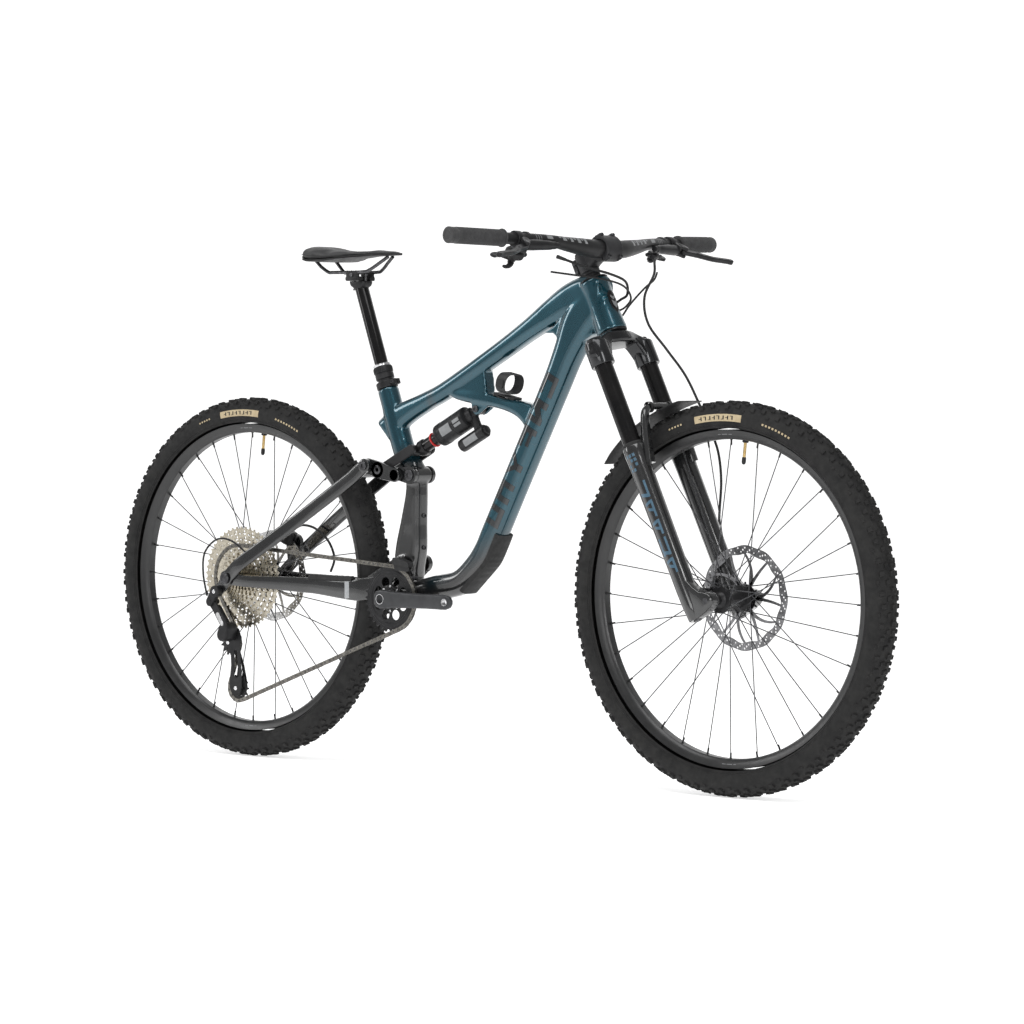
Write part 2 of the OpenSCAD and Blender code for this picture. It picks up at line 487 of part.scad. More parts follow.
module rear_derailleur() color("#151516") {
  // hanger bolt and upper knuckle
  ycyl([-648, 344], 4.9, -92, -72);
  ycyl([-648, 344], 12, -92, -79.1);
  plate(-92, -80) link2([-648, 344], [-662, 322], 9, 9);
  // parallelogram links
  plate(-88, -84) link2([-662, 322], [-625, 276], 7, 7);
  plate(-74, -68) link2([-655, 310], [-625, 272], 6, 6);
  ycyl([-662, 322], 6, -92, -66);
  // lower knuckle and cage
  plate(-88, -54) link2([-627, 268], [-632, 254], 12, 13);
  plate(-53.6, -51.4) difference() { union() { link2([-627, 262], GP, 16, 12); link2([-622, 250], TP, 12, 17); } translate(TP) circle(2); translate(GP) circle(2); }
  plate(-36.1, -34.3) difference() { union() { link2([-640, 230], TP, 9, 17); link2([-640, 230], GP, 9, 11); } translate(TP) circle(2); translate(GP) circle(2); }
  for (p = [GP, TP]) ycyl(p, 2.9, -54.5, -33.2);
}
module pulley(p) difference() {
  ycyl(p, R_pul - 5.2, y_cog - 1.2, y_cog + 1.2);
  ycyl(p, 3, -80, 0);
}
module guide_pulley() color("#161617") pulley(GP);
module tension_pulley() color("#161617") pulley(TP);
// seatstay: runs outside the chainstay ends at the axle, pivots at the rocker
module ss_arm() intersection() {
  plate(40, 90) { link2(RA, [-600, 392], 16, 17); link2([-600, 392], [-300, 582], 17, 16); link2([-300, 582], JP, 16, 14); }
  linear_extrude(800) polygon([[-200, 44], [-200, 55], [-290, 56], [-420, 62], [-560, 79], [-585, 84.2], [-645, 84.2], [-645, 79.4],
    [-575, 79.4], [-545, 71], [-420, 53], [-330, 46], [-290, 44.3]]);
}
module seatstay() color("#0b0b0c") difference() {
  union() {
    both() ss_arm();
    rod([-292, -50, 592], [-292, 50, 592], 9);
    plate(70.3, 80.5) polygon([[-592, 398], [-552, 425], [-556, 452], [-588, 468], [-600, 452]]);   // brake mount
    both() ycyl(JP, 6.2, 44.3, 57.5);
    both() ycyl(JP, 9, 56, 58.5);
  }
  ycyl(RA, 6.15, -90, 90);
  // wheel room below the bridge
  ycyl(RA, 379, -40, 40);
}
module rear_brake_caliper() color("#0e0e0f") translate([RA.x, 0, RA.y]) rotate([0, -64, 0]) {
  difference() { caliper(57, 95); translate([60, 50.5, -30]) cube([12, 20, 60]); }
}
module rocker_link() color("#101011") {
  both() difference() {
    union() {
      plate(22.6, 30.6) link2(KP, [-192, 593], 18, 13);
      plate(22.6, 43.4) translate([-192, 591]) circle(11);
      plate(34, 43.4) link2([-192, 591], YP, 14, 17);
      plate(34, 43.4) link2(YP, JP, 17, 15);
    }
    ycyl(KP, 5.05, 10, 50);
    ycyl(JP, 5.9, 30, 60);
    ycyl(YP, 5.9, 30, 60);
  }
  both() ycyl(JP, 5.85, 34, 43.4);
  both() ycyl(YP, 5.85, 34, 43.4);
  both() ycyl(YP, 9, 43.3, 44.1);
}
// ---- shock, along the line from front eyelet to yoke pivot ----
module shock_frame() along(SP, YP) children();
module shock_body() color("#0f0f10") shock_frame() difference() {
  union() {
    rotate([90, 0, 0]) cylinder(h = 15, r = 11, center = true);
    translate([-2, -7.5, -9]) cube([26, 15, 18]);
    translate([20, 0, 0]) rotate([0, 90, 0]) cylinder(h = 16, r = 15);
    translate([34, 0, 0]) rotate([0, 90, 0]) cylinder(h = 82, r = 23);
    translate([116, 0, 0]) rotate([0, 90, 0]) cylinder(h = 5.5, r1 = 22, r2 = 16);
    translate([12, -7.4, 8]) cube([18, 14.8, 46]);                     // bridge to the reservoir
    translate([6, 0, 44]) rotate([0, 90, 0]) cylinder(h = 70, r = 13.5);
    translate([0, 0, 44]) rotate([0, 90, 0]) cylinder(h = 6.1, r = 9);
  }
  rotate([90, 0, 0]) cylinder(h = 40, r = 4.1, center = true);
  translate([40, 0, 0]) rotate([0, 90, 0]) cylinder(h = 100, r = 13.1);
}
YL = norm(YP - SP);
module shock_shaft_yoke() color("#131314") shock_frame() difference() {
  union() {
    translate([98, 0, 0]) rotate([0, 90, 0]) cylinder(h = 84, r = 13);
    translate([174, -33, -11]) cube([13, 66, 22]);
    both() plate(26, 32.8) { link2([176, 0], [YL, 0], 10, 11); }
    both() ycyl([YL, 0], 6.5, 24.5, 33.4);
  }
}

// ---- cranks ----
module crank_arm() difference() {
  plate(76, 89) link2([0, 0], [crank_len, 0], 19, 15);
  ycyl([crank_len, 0], pedal_hole_r, 60, 100);
  ycyl([0, 0], 9, 88, 100);
}
module crank_arms() color("#28292b") translate([BB.x, 0, BB.y]) {
  difference() { ycyl([0, 0], 14.5, -75.95, 75.95); ycyl([0, 0], 11.5, -70, 70); }
  mirror([0, 1, 0]) crank_arm();
  rotate([0, 180, 0]) crank_arm();
}
module chainring() color("#121213") difference() {
  union() {
    ycyl(BB, R_ring - 5.2, y_ring - 1.2, y_ring + 1.2);
    ycyl(BB, 20, y_ring - 6, y_ring + 0.6);
  }
  for (a = [22.5 : 45 : 337.5]) ycyl(BB + 35*[cos(a), sin(a)], 10.5, -80, -40);
  ycyl(BB, 14.52, -80, -40);
}

// ---- dropper post and saddle ----
module dropper_post() color("#0d0d0e") seatpost_frame() {
  translate([0, 0, -30]) cylinder(h = 250, r = post_d/2);
  translate([0, 0, 220]) rotate([0, 19.3, 0]) {
    translate([0, 0, 3]) cube([42, 32, 13], center = true);
    both() translate([-3, 10, 14]) cube([36, 16, 12], center = true);
    both() translate([-3, 22.2, 22]) cube([32, 7.6, 16], center = true);
    both() translate([-3, 18, 14]) cube([32, 16, 9], center = true);
  }
}
function sd(x, y, z) = [-336.5 + x, y, 1000 + z];
module saddle_rails() color("#2a2a2c") both()
  hose(concat([sd(-82, 30, 26)], spl([sd(-66, 28.5, 10), sd(-50, 24, -1), sd(-36, 22, -2), sd(40, 22, -2), sd(58, 19, 2), sd(80, 12, 16)], 3), [sd(98, 7, 30)]), 3.5, 10);
module saddle() color("#161616") {
  // crowned shell with drooping wings at the back
  nose = -452 + saddle_len;
  intersection() {
    translate([0, 0, 1015]) linear_extrude(45) {
      polygon([[-452, 0], [-450, -30], [-440, -50], [-424, -64], [-398, -68], [-364, -54], [-326, -35], [-280, -23], [nose + 18, -19], [nose + 5, -13], [nose, 0],
        [nose + 5, 13], [nose + 18, 19], [-280, 23], [-326, 35], [-364, 54], [-398, 68], [-424, 64], [-440, 50], [-450, 30]]);
    }
    rotate([90, 0, 0]) linear_extrude(200, center = true) polygon([[-455, 1034], [-446, 1050], [-425, 1055], [-380, 1048], [-300, 1042], [-250, 1045],
      [-218, 1044], [nose + 1, 1036], [nose + 1, 1028], [-230, 1026], [-300, 1020], [-380, 1019], [-430, 1019], [-448, 1022]]);
  }
}

// ---- chain: one band around the four toothed wheels ----
function an(v) = atan2(v.y, v.x);
// external tangent angle (same turning sense), internal tangent angle (opposite sense)
function tan_ext(a, b, ra, rb, s) = an(b - a) + s*acos((ra - rb)/norm(b - a));
function tan_int(a, b, ra, rb, s) = an(b - a) + s*acos((ra + rb)/norm(b - a));
function arc(c, r, a0, a1, n, y) = [for (i = [0 : n]) let (a = a0 + (a1 - a0)*i/n) [c.x + r*cos(a), y, c.y + r*sin(a)]];
t1 = tan_ext(RA, BB, R_cog, R_ring, 1);          // cog top to ring top
t2 = tan_ext(BB, TP, R_ring, R_pul, 1);          // ring bottom to tension pulley
t3 = tan_int(TP, GP, R_pul, R_pul, 1);           // tension pulley to guide pulley
t4 = tan_int(GP, RA, R_pul, R_cog, -1);          // guide pulley to cog
CH = concat(
  arc(BB, R_ring, t1, t2, 12, y_ring),
  arc(TP, R_pul, t2, t3 - 360, 7, y_cog),
  arc(GP, R_pul, t3 - 180, t4 > t3 - 180 ? t4 : t4 + 360, 6, y_cog),
  arc(RA, R_cog, t4 + 180 > t1 ? t4 + 180 : t4 + 540, t1, 15, y_cog));
module chain() color("#6f6d68") {
  m = len(CH);
  V = [for (i = [0 : m - 1]) let (t = CH[(i + 1)%m] - CH[(i + m - 1)%m], u = unit([t.x, 0, t.z]), n = [-u.z, 0, u.x])
    each [CH[i] + 4*n + [0, 2.6, 0], CH[i] + 4*n - [0, 2.6, 0], CH[i] - 4*n - [0, 2.6, 0], CH[i] - 4*n + [0, 2.6, 0]]];
  polyhedron(points = V, faces = [for (i = [0 : m - 1], j = [0 : 3]) let (a = i*4 + j, b = i*4 + (j + 1)%4, c = ((i + 1)%m)*4 + (j + 1)%4, d = ((i + 1)%m)*4 + j)
    each [[a, b, d], [b, c, d]]]);
}

// ---- hoses and cables, routes through round points ----
FBH = [[330, 150, 1020], [350, 110, 1012], [372, 80, 985], [366, 58, 940], [372, 62, 890], [408, 74, 840], [446, 84, 790], [478, 90, 730], [496, 95, 690],
  [514, 98, 645], [520, 100, 590], [516, 100, 530], [514, 99, 470], [516, 90, 428], [517, 66, 405], [518, 48, 391]];
module front_brake_hose() color("#0f0f0f") hose(spl(FBH, 3), 2.5);
RBH = [[330, -150, 1012], [345, -90, 995], [352, -30, 984], [350, 20, 970], [338, 40, 946], [324, 37, 936], [313, 31.2, 927]];
RBX = [[-455, 55, 386], [-440, 50, 415], [-455, 47, 450], [-490, 46, 474], [-526, 48, 480], [-548, 52, 474]];
module rear_brake_hose() color("#0f0f0f") { hose(spl(RBH, 4), 2.5); hose(spl(RBX, 4), 2.5); }
SHC = [[318, -165, 986], [336, -110, 980], [350, -50, 974], [352, 10, 962], [344, 44, 940], [332, 42, 922], [319, 31.2, 913]];
SHX = [[-560, -70, 414], [-600, -84, 448], [-640, -89, 452], [-676, -89, 424], [-682, -88, 380], [-672, -87, 334]];
module shift_cable() color("#0f0f0f") { hose(spl(SHC, 4), 2); hose(spl(SHX, 4), 2); }
DRC = [[318, 158, 990], [332, 130, 975], [340, 90, 958], [330, 60, 928], [322, 46, 906], [318, 32, 893]];
module dropper_cable() color("#0f0f0f") hose(spl(DRC, 4), 2);

front_triangle();
headset_bearings();
seat_collar();
dropper_lower_tube();
downtube_guard();
bottom_bracket();
accessory_strap();
chain_guide();
pivot_axles_and_bolts();
fork_crown_steerer();
fork_stanchions();
stem();
headset_spacers();
handlebar();
grips();
brake_lever_bodies();
shifter_body();
dropper_remote_body();
brake_lever_right();
brake_lever_left();
shifter_thumb_lever();
shifter_release_lever();
dropper_remote_lever();
fork_lowers();
fork_dust_seals();
front_axle();
front_brake_caliper();
front_fender();
front_tyre();
front_rim();
front_spokes();
front_hub();
front_brake_rotor();
chainstay();
chainstay_guard();
rear_axle();
rear_derailleur();
guide_pulley();
tension_pulley();
seatstay();
rear_brake_caliper();
rocker_link();
shock_body();
shock_shaft_yoke();
rear_tyre();
rear_rim();
rear_spokes();
rear_hub();
rear_brake_rotor();
cassette();
crank_arms();
chainring();
dropper_post();
saddle_rails();
saddle();
chain();
front_brake_hose();
rear_brake_hose();
shift_cable();
dropper_cable();
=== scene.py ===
import random
from math import acos, asin, atan2, ceil, cos, degrees, hypot, pi, radians, sin, sqrt, tan

import bmesh
import bpy
from mathutils import Matrix, Quaternion, Vector


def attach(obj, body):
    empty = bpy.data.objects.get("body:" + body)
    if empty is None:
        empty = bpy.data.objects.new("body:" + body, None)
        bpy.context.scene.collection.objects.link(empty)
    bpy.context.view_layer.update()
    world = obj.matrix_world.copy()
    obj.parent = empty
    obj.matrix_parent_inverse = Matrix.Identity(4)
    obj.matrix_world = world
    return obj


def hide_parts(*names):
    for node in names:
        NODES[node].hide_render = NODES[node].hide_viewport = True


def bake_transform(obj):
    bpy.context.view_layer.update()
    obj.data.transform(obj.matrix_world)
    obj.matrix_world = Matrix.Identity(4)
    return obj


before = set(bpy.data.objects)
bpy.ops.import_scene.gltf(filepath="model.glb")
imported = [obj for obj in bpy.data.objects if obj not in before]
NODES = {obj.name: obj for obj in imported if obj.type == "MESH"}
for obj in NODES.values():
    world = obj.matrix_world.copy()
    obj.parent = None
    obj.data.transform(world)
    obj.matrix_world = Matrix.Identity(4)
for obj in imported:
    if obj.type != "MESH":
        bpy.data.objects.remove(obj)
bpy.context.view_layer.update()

# ---------------------------------------------------------------- camera, light, floor
cam_data = bpy.data.cameras.new("camera")
cam = bpy.data.objects.new("camera", cam_data)
bpy.context.scene.collection.objects.link(cam)
cam.location = (5.12, -5.935, 0.804)
YAW, PITCH = radians(40.33), radians(2.07)
fwd = Vector((-sin(YAW) * cos(PITCH), cos(YAW) * cos(PITCH), -sin(PITCH)))
cam.rotation_mode = "QUATERNION"
cam.rotation_quaternion = fwd.to_track_quat("-Z", "Y")
cam_data.sensor_width = 36.0
cam_data.lens = 139.7
cam_data.clip_start, cam_data.clip_end = 0.05, 200
bpy.context.scene.camera = cam

world = bpy.data.worlds.new("studio")
bpy.context.scene.world = world
world.use_nodes = True
bg = world.node_tree.nodes["Background"]
bg.inputs[0].default_value = (1.0, 1.0, 1.0, 1)
bg.inputs[1].default_value = 0.36
bpy.context.scene.view_settings.view_transform = "Standard"


def area(name, loc, target, size, size_y, power, color=(1, 1, 1)):
    d = bpy.data.lights.new(name, "AREA")
    d.shape = "RECTANGLE"
    d.size, d.size_y, d.energy, d.color = size, size_y, power, color
    o = bpy.data.objects.new(name, d)
    bpy.context.scene.collection.objects.link(o)
    o.location = loc
    o.rotation_mode = "QUATERNION"
    o.rotation_quaternion = (Vector(target) - Vector(loc)).to_track_quat("-Z", "Y")
    return o


area("key_top", (0.4, -1.2, 3.4), (0, 0, 0.5), 3.6, 1.6, 70)
area("side_front", (3.6, -1.8, 1.7), (0.3, 0, 0.6), 0.7, 2.2, 42)
area("side_rear", (-3.2, -2.4, 1.9), (-0.3, 0, 0.6), 0.7, 2.2, 34)
area("fill_cam", (1.9, -4.4, 1.2), (0, 0, 0.5), 1.8, 1.2, 26)

# ---------------------------------------------------------------- materials
MATS = {}


class N:
    """A small node-graph helper."""

    def __init__(self, name):
        self.m = bpy.data.materials.new(name)
        self.m.use_nodes = True
        self.t = self.m.node_tree
        self.b = self.t.nodes["Principled BSDF"]
        self.tc = self.t.nodes.new("ShaderNodeTexCoord")

    def new(self, kind, **kw):
        n = self.t.nodes.new(kind)
        for k, v in kw.items():
            setattr(n, k, v)
        return n

    def link(self, a, b):
        self.t.links.new(a, b)

    def noise(self, scale, detail=3.0, rough=0.55, vec=None, dist=0.0):
        n = self.new("ShaderNodeTexNoise")
        n.inputs["Scale"].default_value = scale
        n.inputs["Detail"].default_value = detail
        n.inputs["Roughness"].default_value = rough
        n.inputs["Distortion"].default_value = dist
        self.link(vec or self.tc.outputs["Object"], n.inputs["Vector"])
        return n.outputs["Fac"]

    def mapr(self, v, a, b, c, d, smooth=False):
        n = self.new("ShaderNodeMapRange")
        if smooth:
            n.interpolation_type = "SMOOTHSTEP"
        for i, x in enumerate((a, b, c, d)):
            n.inputs[i + 1].default_value = x
        self.link(v, n.inputs[0])
        return n.outputs[0]

    def mix(self, f, a, b):
        n = self.new("ShaderNodeMix", data_type="RGBA")
        for i, v in ((6, a), (7, b)):
            if isinstance(v, tuple):
                n.inputs[i].default_value = (*v, 1)
            else:
                self.link(v, n.inputs[i])
        self.link(f, n.inputs[0])
        return n.outputs[2]

    def math(self, op, a, b=None):
        n = self.new("ShaderNodeMath", operation=op)
        for i, v in enumerate((a, b)):
            if v is None:
                continue
            if isinstance(v, (int, float)):
                n.inputs[i].default_value = v
            else:
                self.link(v, n.inputs[i])
        return n.outputs[0]

    def bump(self, h, strength=0.3, dist=0.001, normal=None):
        n = self.new("ShaderNodeBump")
        n.inputs["Strength"].default_value = strength
        n.inputs["Distance"].default_value = dist
        self.link(h, n.inputs["Height"])
        if normal:
            self.link(normal, n.inputs["Normal"])
        return n.outputs[0]

    def set(self, **kw):
        for k, v in kw.items():
            s = self.b.inputs[k.replace("_", " ")]
            if hasattr(v, "type") and hasattr(v, "links"):
                self.link(v, s)
            elif isinstance(v, tuple) and len(v) == 3:
                s.default_value = (*v, 1)
            else:
                s.default_value = v


def simple(name, c1, c2, rough=0.4, rvar=0.08, metal=0.0, scale=60.0, bscale=900.0, bump=0.12, bdist=0.0004, coat=0.0, coat_rough=0.05, sheen=0.0, spec=0.5, aniso=0.0):
    g = N(name)
    g.set(Base_Color=g.mix(g.mapr(g.noise(scale, 4.0), 0.3, 0.7, 0, 1), c1, c2))
    g.set(Roughness=g.mapr(g.noise(scale * 2.3, 3.0), 0.3, 0.7, rough - rvar, rough + rvar))
    g.b.inputs["Metallic"].default_value = metal
    g.b.inputs["Specular IOR Level"].default_value = spec
    g.b.inputs["Coat Weight"].default_value = coat
    g.b.inputs["Coat Roughness"].default_value = coat_rough
    g.b.inputs["Sheen Weight"].default_value = sheen
    g.b.inputs["Anisotropic"].default_value = aniso
    if bump:
        g.set(Normal=g.bump(g.noise(bscale, 2.0), bump, bdist))
    MATS[name] = g.m
    return g.m


simple("black_gloss", (0.0065, 0.0068, 0.0072), (0.010, 0.0105, 0.011), 0.16, 0.03, scale=14, bscale=140, bump=0.03, bdist=0.0006, coat=0.9, coat_rough=0.03)
simple("fork_gloss", (0.0068, 0.0070, 0.0074), (0.011, 0.0115, 0.012), 0.20, 0.03, scale=14, bscale=140, bump=0.03, bdist=0.0006, coat=0.85, coat_rough=0.05)
simple("stanchion", (0.012, 0.012, 0.013), (0.020, 0.019, 0.019), 0.16, 0.04, metal=0.7, scale=30, bscale=1500, bump=0.03)
simple("alloy_black", (0.013, 0.013, 0.014), (0.022, 0.022, 0.023), 0.36, 0.06, metal=0.35, scale=40, bscale=2400, bump=0.10, spec=0.28)
simple("alloy_satin", (0.016, 0.016, 0.017), (0.026, 0.026, 0.028), 0.42, 0.06, metal=0.25, scale=40, bscale=2600, bump=0.12, spec=0.28)
simple("bar_black", (0.013, 0.013, 0.0135), (0.020, 0.020, 0.0205), 0.38, 0.05, metal=0.1, scale=40, bscale=2600, bump=0.10, spec=0.28)
simple("crown", (0.016, 0.0165, 0.018), (0.028, 0.029, 0.031), 0.20, 0.04, metal=0.75, scale=20, bscale=1200, bump=0.05, coat=0.4)
simple("crank_grey", (0.030, 0.031, 0.033), (0.046, 0.047, 0.050), 0.38, 0.06, metal=0.45, scale=50, bscale=2600, bump=0.12)
simple("plastic", (0.012, 0.012, 0.0125), (0.019, 0.019, 0.020), 0.52, 0.06, scale=60, bscale=1800, bump=0.22, spec=0.28)
simple("rubber", (0.012, 0.012, 0.012), (0.022, 0.022, 0.022), 0.72, 0.07, scale=70, bscale=1500, bump=0.30, sheen=0.05, spec=0.28)
simple("grip", (0.030, 0.030, 0.031), (0.046, 0.046, 0.047), 0.78, 0.06, scale=90, bscale=1300, bump=0.35, sheen=0.1, spec=0.28)
simple("hose", (0.008, 0.008, 0.0085), (0.014, 0.014, 0.0145), 0.42, 0.05, scale=80, bscale=900, bump=0.10, spec=0.28)
simple("steel_dark", (0.05, 0.05, 0.053), (0.10, 0.10, 0.105), 0.30, 0.07, metal=0.9, scale=120, bscale=3000, bump=0.10)
simple("spoke", (0.045, 0.046, 0.05), (0.085, 0.086, 0.09), 0.28, 0.05, metal=0.9, scale=60, bscale=2200, bump=0.05)
simple("steel", (0.42, 0.42, 0.42), (0.62, 0.62, 0.62), 0.26, 0.06, metal=1.0, scale=100, bscale=3000, bump=0.10)
simple("silver", (0.55, 0.55, 0.56), (0.75, 0.75, 0.76), 0.20, 0.05, metal=1.0, scale=80, bscale=2600, bump=0.06)
simple("rotor_dark", (0.16, 0.16, 0.165), (0.30, 0.30, 0.31), 0.30, 0.07, metal=1.0, scale=140, bscale=2600, bump=0.10)
simple("cassette_tan", (0.40, 0.36, 0.29), (0.60, 0.56, 0.47), 0.28, 0.07, metal=1.0, scale=90, bscale=2600, bump=0.10)
simple("chain_metal", (0.10, 0.095, 0.086), (0.22, 0.21, 0.19), 0.30, 0.08, metal=1.0, scale=200, bscale=2600, bump=0.10)
simple("rim_satin", (0.009, 0.009, 0.0095), (0.015, 0.015, 0.0155), 0.34, 0.05, metal=0.1, scale=30, bscale=1800, bump=0.07, coat=0.15, coat_rough=0.3)
simple("brass", (0.45, 0.30, 0.12), (0.62, 0.45, 0.20), 0.30, 0.06, metal=1.0, scale=90, bscale=2600, bump=0.08)
simple("red", (0.42, 0.012, 0.012), (0.52, 0.02, 0.018), 0.38, 0.05, scale=90, bscale=1500, bump=0.08)
simple("decal_blue", (0.035, 0.085, 0.13), (0.048, 0.105, 0.155), 0.34, 0.05, scale=60, bscale=900, bump=0.04, coat=0.5)
simple("decal_grey", (0.16, 0.165, 0.17), (0.21, 0.215, 0.22), 0.45, 0.05, scale=80, bscale=900, bump=0.05)
simple("decal_white", (0.48, 0.48, 0.48), (0.58, 0.58, 0.58), 0.45, 0.05, scale=80, bscale=900, bump=0.05)
simple("tan_label", (0.36, 0.285, 0.17), (0.44, 0.36, 0.225), 0.62, 0.05, scale=90, bscale=1200, bump=0.10)
simple("tan_mark", (0.28, 0.225, 0.14), (0.34, 0.28, 0.18), 0.62, 0.05, scale=90, bscale=1200, bump=0.10)
simple("tape", (0.26, 0.27, 0.28), (0.34, 0.35, 0.36), 0.30, 0.05, scale=90, bscale=1200, bump=0.05)
simple("carbon_grey", (0.075, 0.078, 0.082), (0.105, 0.108, 0.112), 0.40, 0.05, scale=60, bscale=900, bump=0.06)


def saddle_material():
    g = N("saddle_cover")
    v = g.new("ShaderNodeTexVoronoi")
    v.inputs["Scale"].default_value = 900.0
    g.link(g.tc.outputs["Object"], v.inputs["Vector"])
    g.set(Base_Color=g.mix(g.mapr(g.noise(45, 4.0), 0.3, 0.7, 0, 1), (0.011, 0.011, 0.0115), (0.019, 0.019, 0.020)))
    g.set(Roughness=g.mapr(g.noise(90, 3.0), 0.3, 0.7, 0.50, 0.62))
    g.b.inputs["Sheen Weight"].default_value = 0.08
    g.set(Normal=g.bump(v.outputs["Distance"], 0.25, 0.0004))
    MATS["saddle_cover"] = g.m


saddle_material()


def strap_material():
    g = N("strap_fabric")
    w = g.new("ShaderNodeTexWave")
    w.wave_type = "BANDS"
    w.inputs["Scale"].default_value = 260.0
    g.link(g.tc.outputs["Object"], w.inputs["Vector"])
    g.set(Base_Color=g.mix(w.outputs["Fac"], (0.011, 0.011, 0.0115), (0.026, 0.026, 0.027)))
    g.set(Roughness=g.mapr(g.noise(120, 3.0), 0.3, 0.7, 0.55, 0.72))
    g.set(Normal=g.bump(w.outputs["Fac"], 0.5, 0.0004))
    MATS["strap_fabric"] = g.m


strap_material()


def tyre_material():
    g = N("tyre_rubber")
    sep = g.new("ShaderNodeSeparateXYZ")
    g.link(g.tc.outputs["Object"], sep.inputs[0])
    g.set(Base_Color=g.mix(g.mapr(g.noise(55, 5.0), 0.3, 0.7, 0, 1), (0.0095, 0.0095, 0.0098), (0.019, 0.0187, 0.0183)))
    g.set(Roughness=g.mapr(g.noise(120, 3.0), 0.3, 0.7, 0.66, 0.82))
    g.set(Normal=g.bump(g.noise(1100, 3.0), 0.35, 0.0004))
    g.b.inputs["Specular IOR Level"].default_value = 0.22
    MATS["tyre_rubber"] = g.m


tyre_material()


def paint_material():
    """Teal candy paint over flake, running into gloss black low on the frame."""
    g = N("frame_paint")
    sep = g.new("ShaderNodeSeparateXYZ")
    g.link(g.tc.outputs["Object"], sep.inputs[0])
    x, z = sep.outputs[0], sep.outputs[2]
    flake = g.new("ShaderNodeTexVoronoi")
    flake.inputs["Scale"].default_value = 1400.0
    g.link(g.tc.outputs["Object"], flake.inputs["Vector"])
    fl = g.mapr(flake.outputs["Distance"], 0.0, 0.45, 1, 0)
    teal = g.mix(fl, (0.0035, 0.050, 0.072), (0.007, 0.095, 0.130))
    teal = g.mix(g.mapr(g.noise(5, 2.0), 0.35, 0.65, 0, 0.5), teal, (0.003, 0.040, 0.060))
    # the black starts lower along the down tube than on the seat tube
    line = g.math("ADD", z, g.math("MULTIPLY", x, -0.42))
    f = g.mapr(line, 0.40, 0.49, 0, 1, True)
    seat = g.mapr(z, 0.60, 0.66, 0, 1, True)
    back = g.mapr(x, -0.135, -0.10, 0, 1, True)
    pick = g.math("MAXIMUM", g.math("MULTIPLY", f, back), g.math("MULTIPLY", seat, g.math("SUBTRACT", 1.0, back)))
    g.set(Base_Color=g.mix(pick, (0.0062, 0.0064, 0.0068), teal))
    g.set(Metallic=g.mapr(pick, 0, 1, 0.0, 0.72))
    g.set(Roughness=g.mapr(g.noise(9, 2.0), 0.3, 0.7, 0.22, 0.30))
    g.b.inputs["Coat Weight"].default_value = 1.0
    g.b.inputs["Coat Roughness"].default_value = 0.03
    MATS["frame_paint"] = g.m


paint_material()
simple("teal_dark", (0.0022, 0.0042, 0.0055), (0.0035, 0.0065, 0.0085), 0.22, 0.03, metal=0.3, scale=20, bscale=200, bump=0.02, coat=1.0, coat_rough=0.03)
simple("badge", (0.02, 0.02, 0.021), (0.035, 0.035, 0.036), 0.30, 0.05, metal=0.8, scale=60, bscale=900, bump=0.1)
simple("floor_pale", (0.90, 0.90, 0.90), (0.925, 0.925, 0.925), 0.9, 0.03, scale=2, bscale=60, bump=0.03, spec=0.0)
MATS["floor_pale"].node_tree.nodes["Principled BSDF"].inputs["Emission Color"].default_value = (1, 1, 1, 1)
MATS["floor_pale"].node_tree.nodes["Principled BSDF"].inputs["Emission Strength"].default_value = 0.55

CAD_LOOK = {
    "front_triangle": "frame_paint", "headset_bearings": "alloy_black", "seat_collar": "alloy_black", "dropper_lower_tube": "alloy_satin",
    "downtube_guard": "rubber", "bottom_bracket": "alloy_black", "accessory_strap": "strap_fabric", "chain_guide": "plastic",
    "pivot_axles_and_bolts": "steel_dark", "fork_crown_steerer": "crown", "fork_stanchions": "stanchion", "stem": "alloy_satin",
    "headset_spacers": "alloy_black", "handlebar": "bar_black", "grips": "grip", "brake_lever_bodies": "alloy_black", "shifter_body": "plastic",
    "dropper_remote_body": "plastic", "brake_lever_right": "alloy_black", "brake_lever_left": "alloy_black", "shifter_thumb_lever": "plastic",
    "shifter_release_lever": "plastic", "dropper_remote_lever": "alloy_black", "fork_lowers": "fork_gloss", "fork_dust_seals": "rubber",
    "front_axle": "steel_dark", "front_brake_caliper": "alloy_black", "front_fender": "plastic", "front_tyre": "tyre_rubber",
    "front_rim": "rim_satin", "front_spokes": "spoke", "front_hub": "alloy_black", "front_brake_rotor": "rotor_dark", "chainstay": "black_gloss",
    "chainstay_guard": "rubber", "rear_axle": "steel_dark", "rear_derailleur": "alloy_black", "guide_pulley": "plastic", "tension_pulley": "plastic",
    "seatstay": "black_gloss", "rear_brake_caliper": "alloy_black", "rocker_link": "black_gloss", "shock_body": "alloy_black",
    "shock_shaft_yoke": "alloy_black", "rear_tyre": "tyre_rubber", "rear_rim": "rim_satin", "rear_spokes": "spoke", "rear_hub": "alloy_black",
    "rear_brake_rotor": "steel", "cassette": "cassette_tan", "crank_arms": "crank_grey", "chainring": "alloy_black", "dropper_post": "stanchion",
    "saddle_rails": "steel_dark", "saddle": "saddle_cover", "chain": "chain_metal", "front_brake_hose": "hose", "rear_brake_hose": "hose",
    "shift_cable": "hose", "dropper_cable": "hose",
}
for name, look in CAD_LOOK.items():
    o = NODES[name]
    o.data.materials.clear()
    o.data.materials.append(MATS[look])

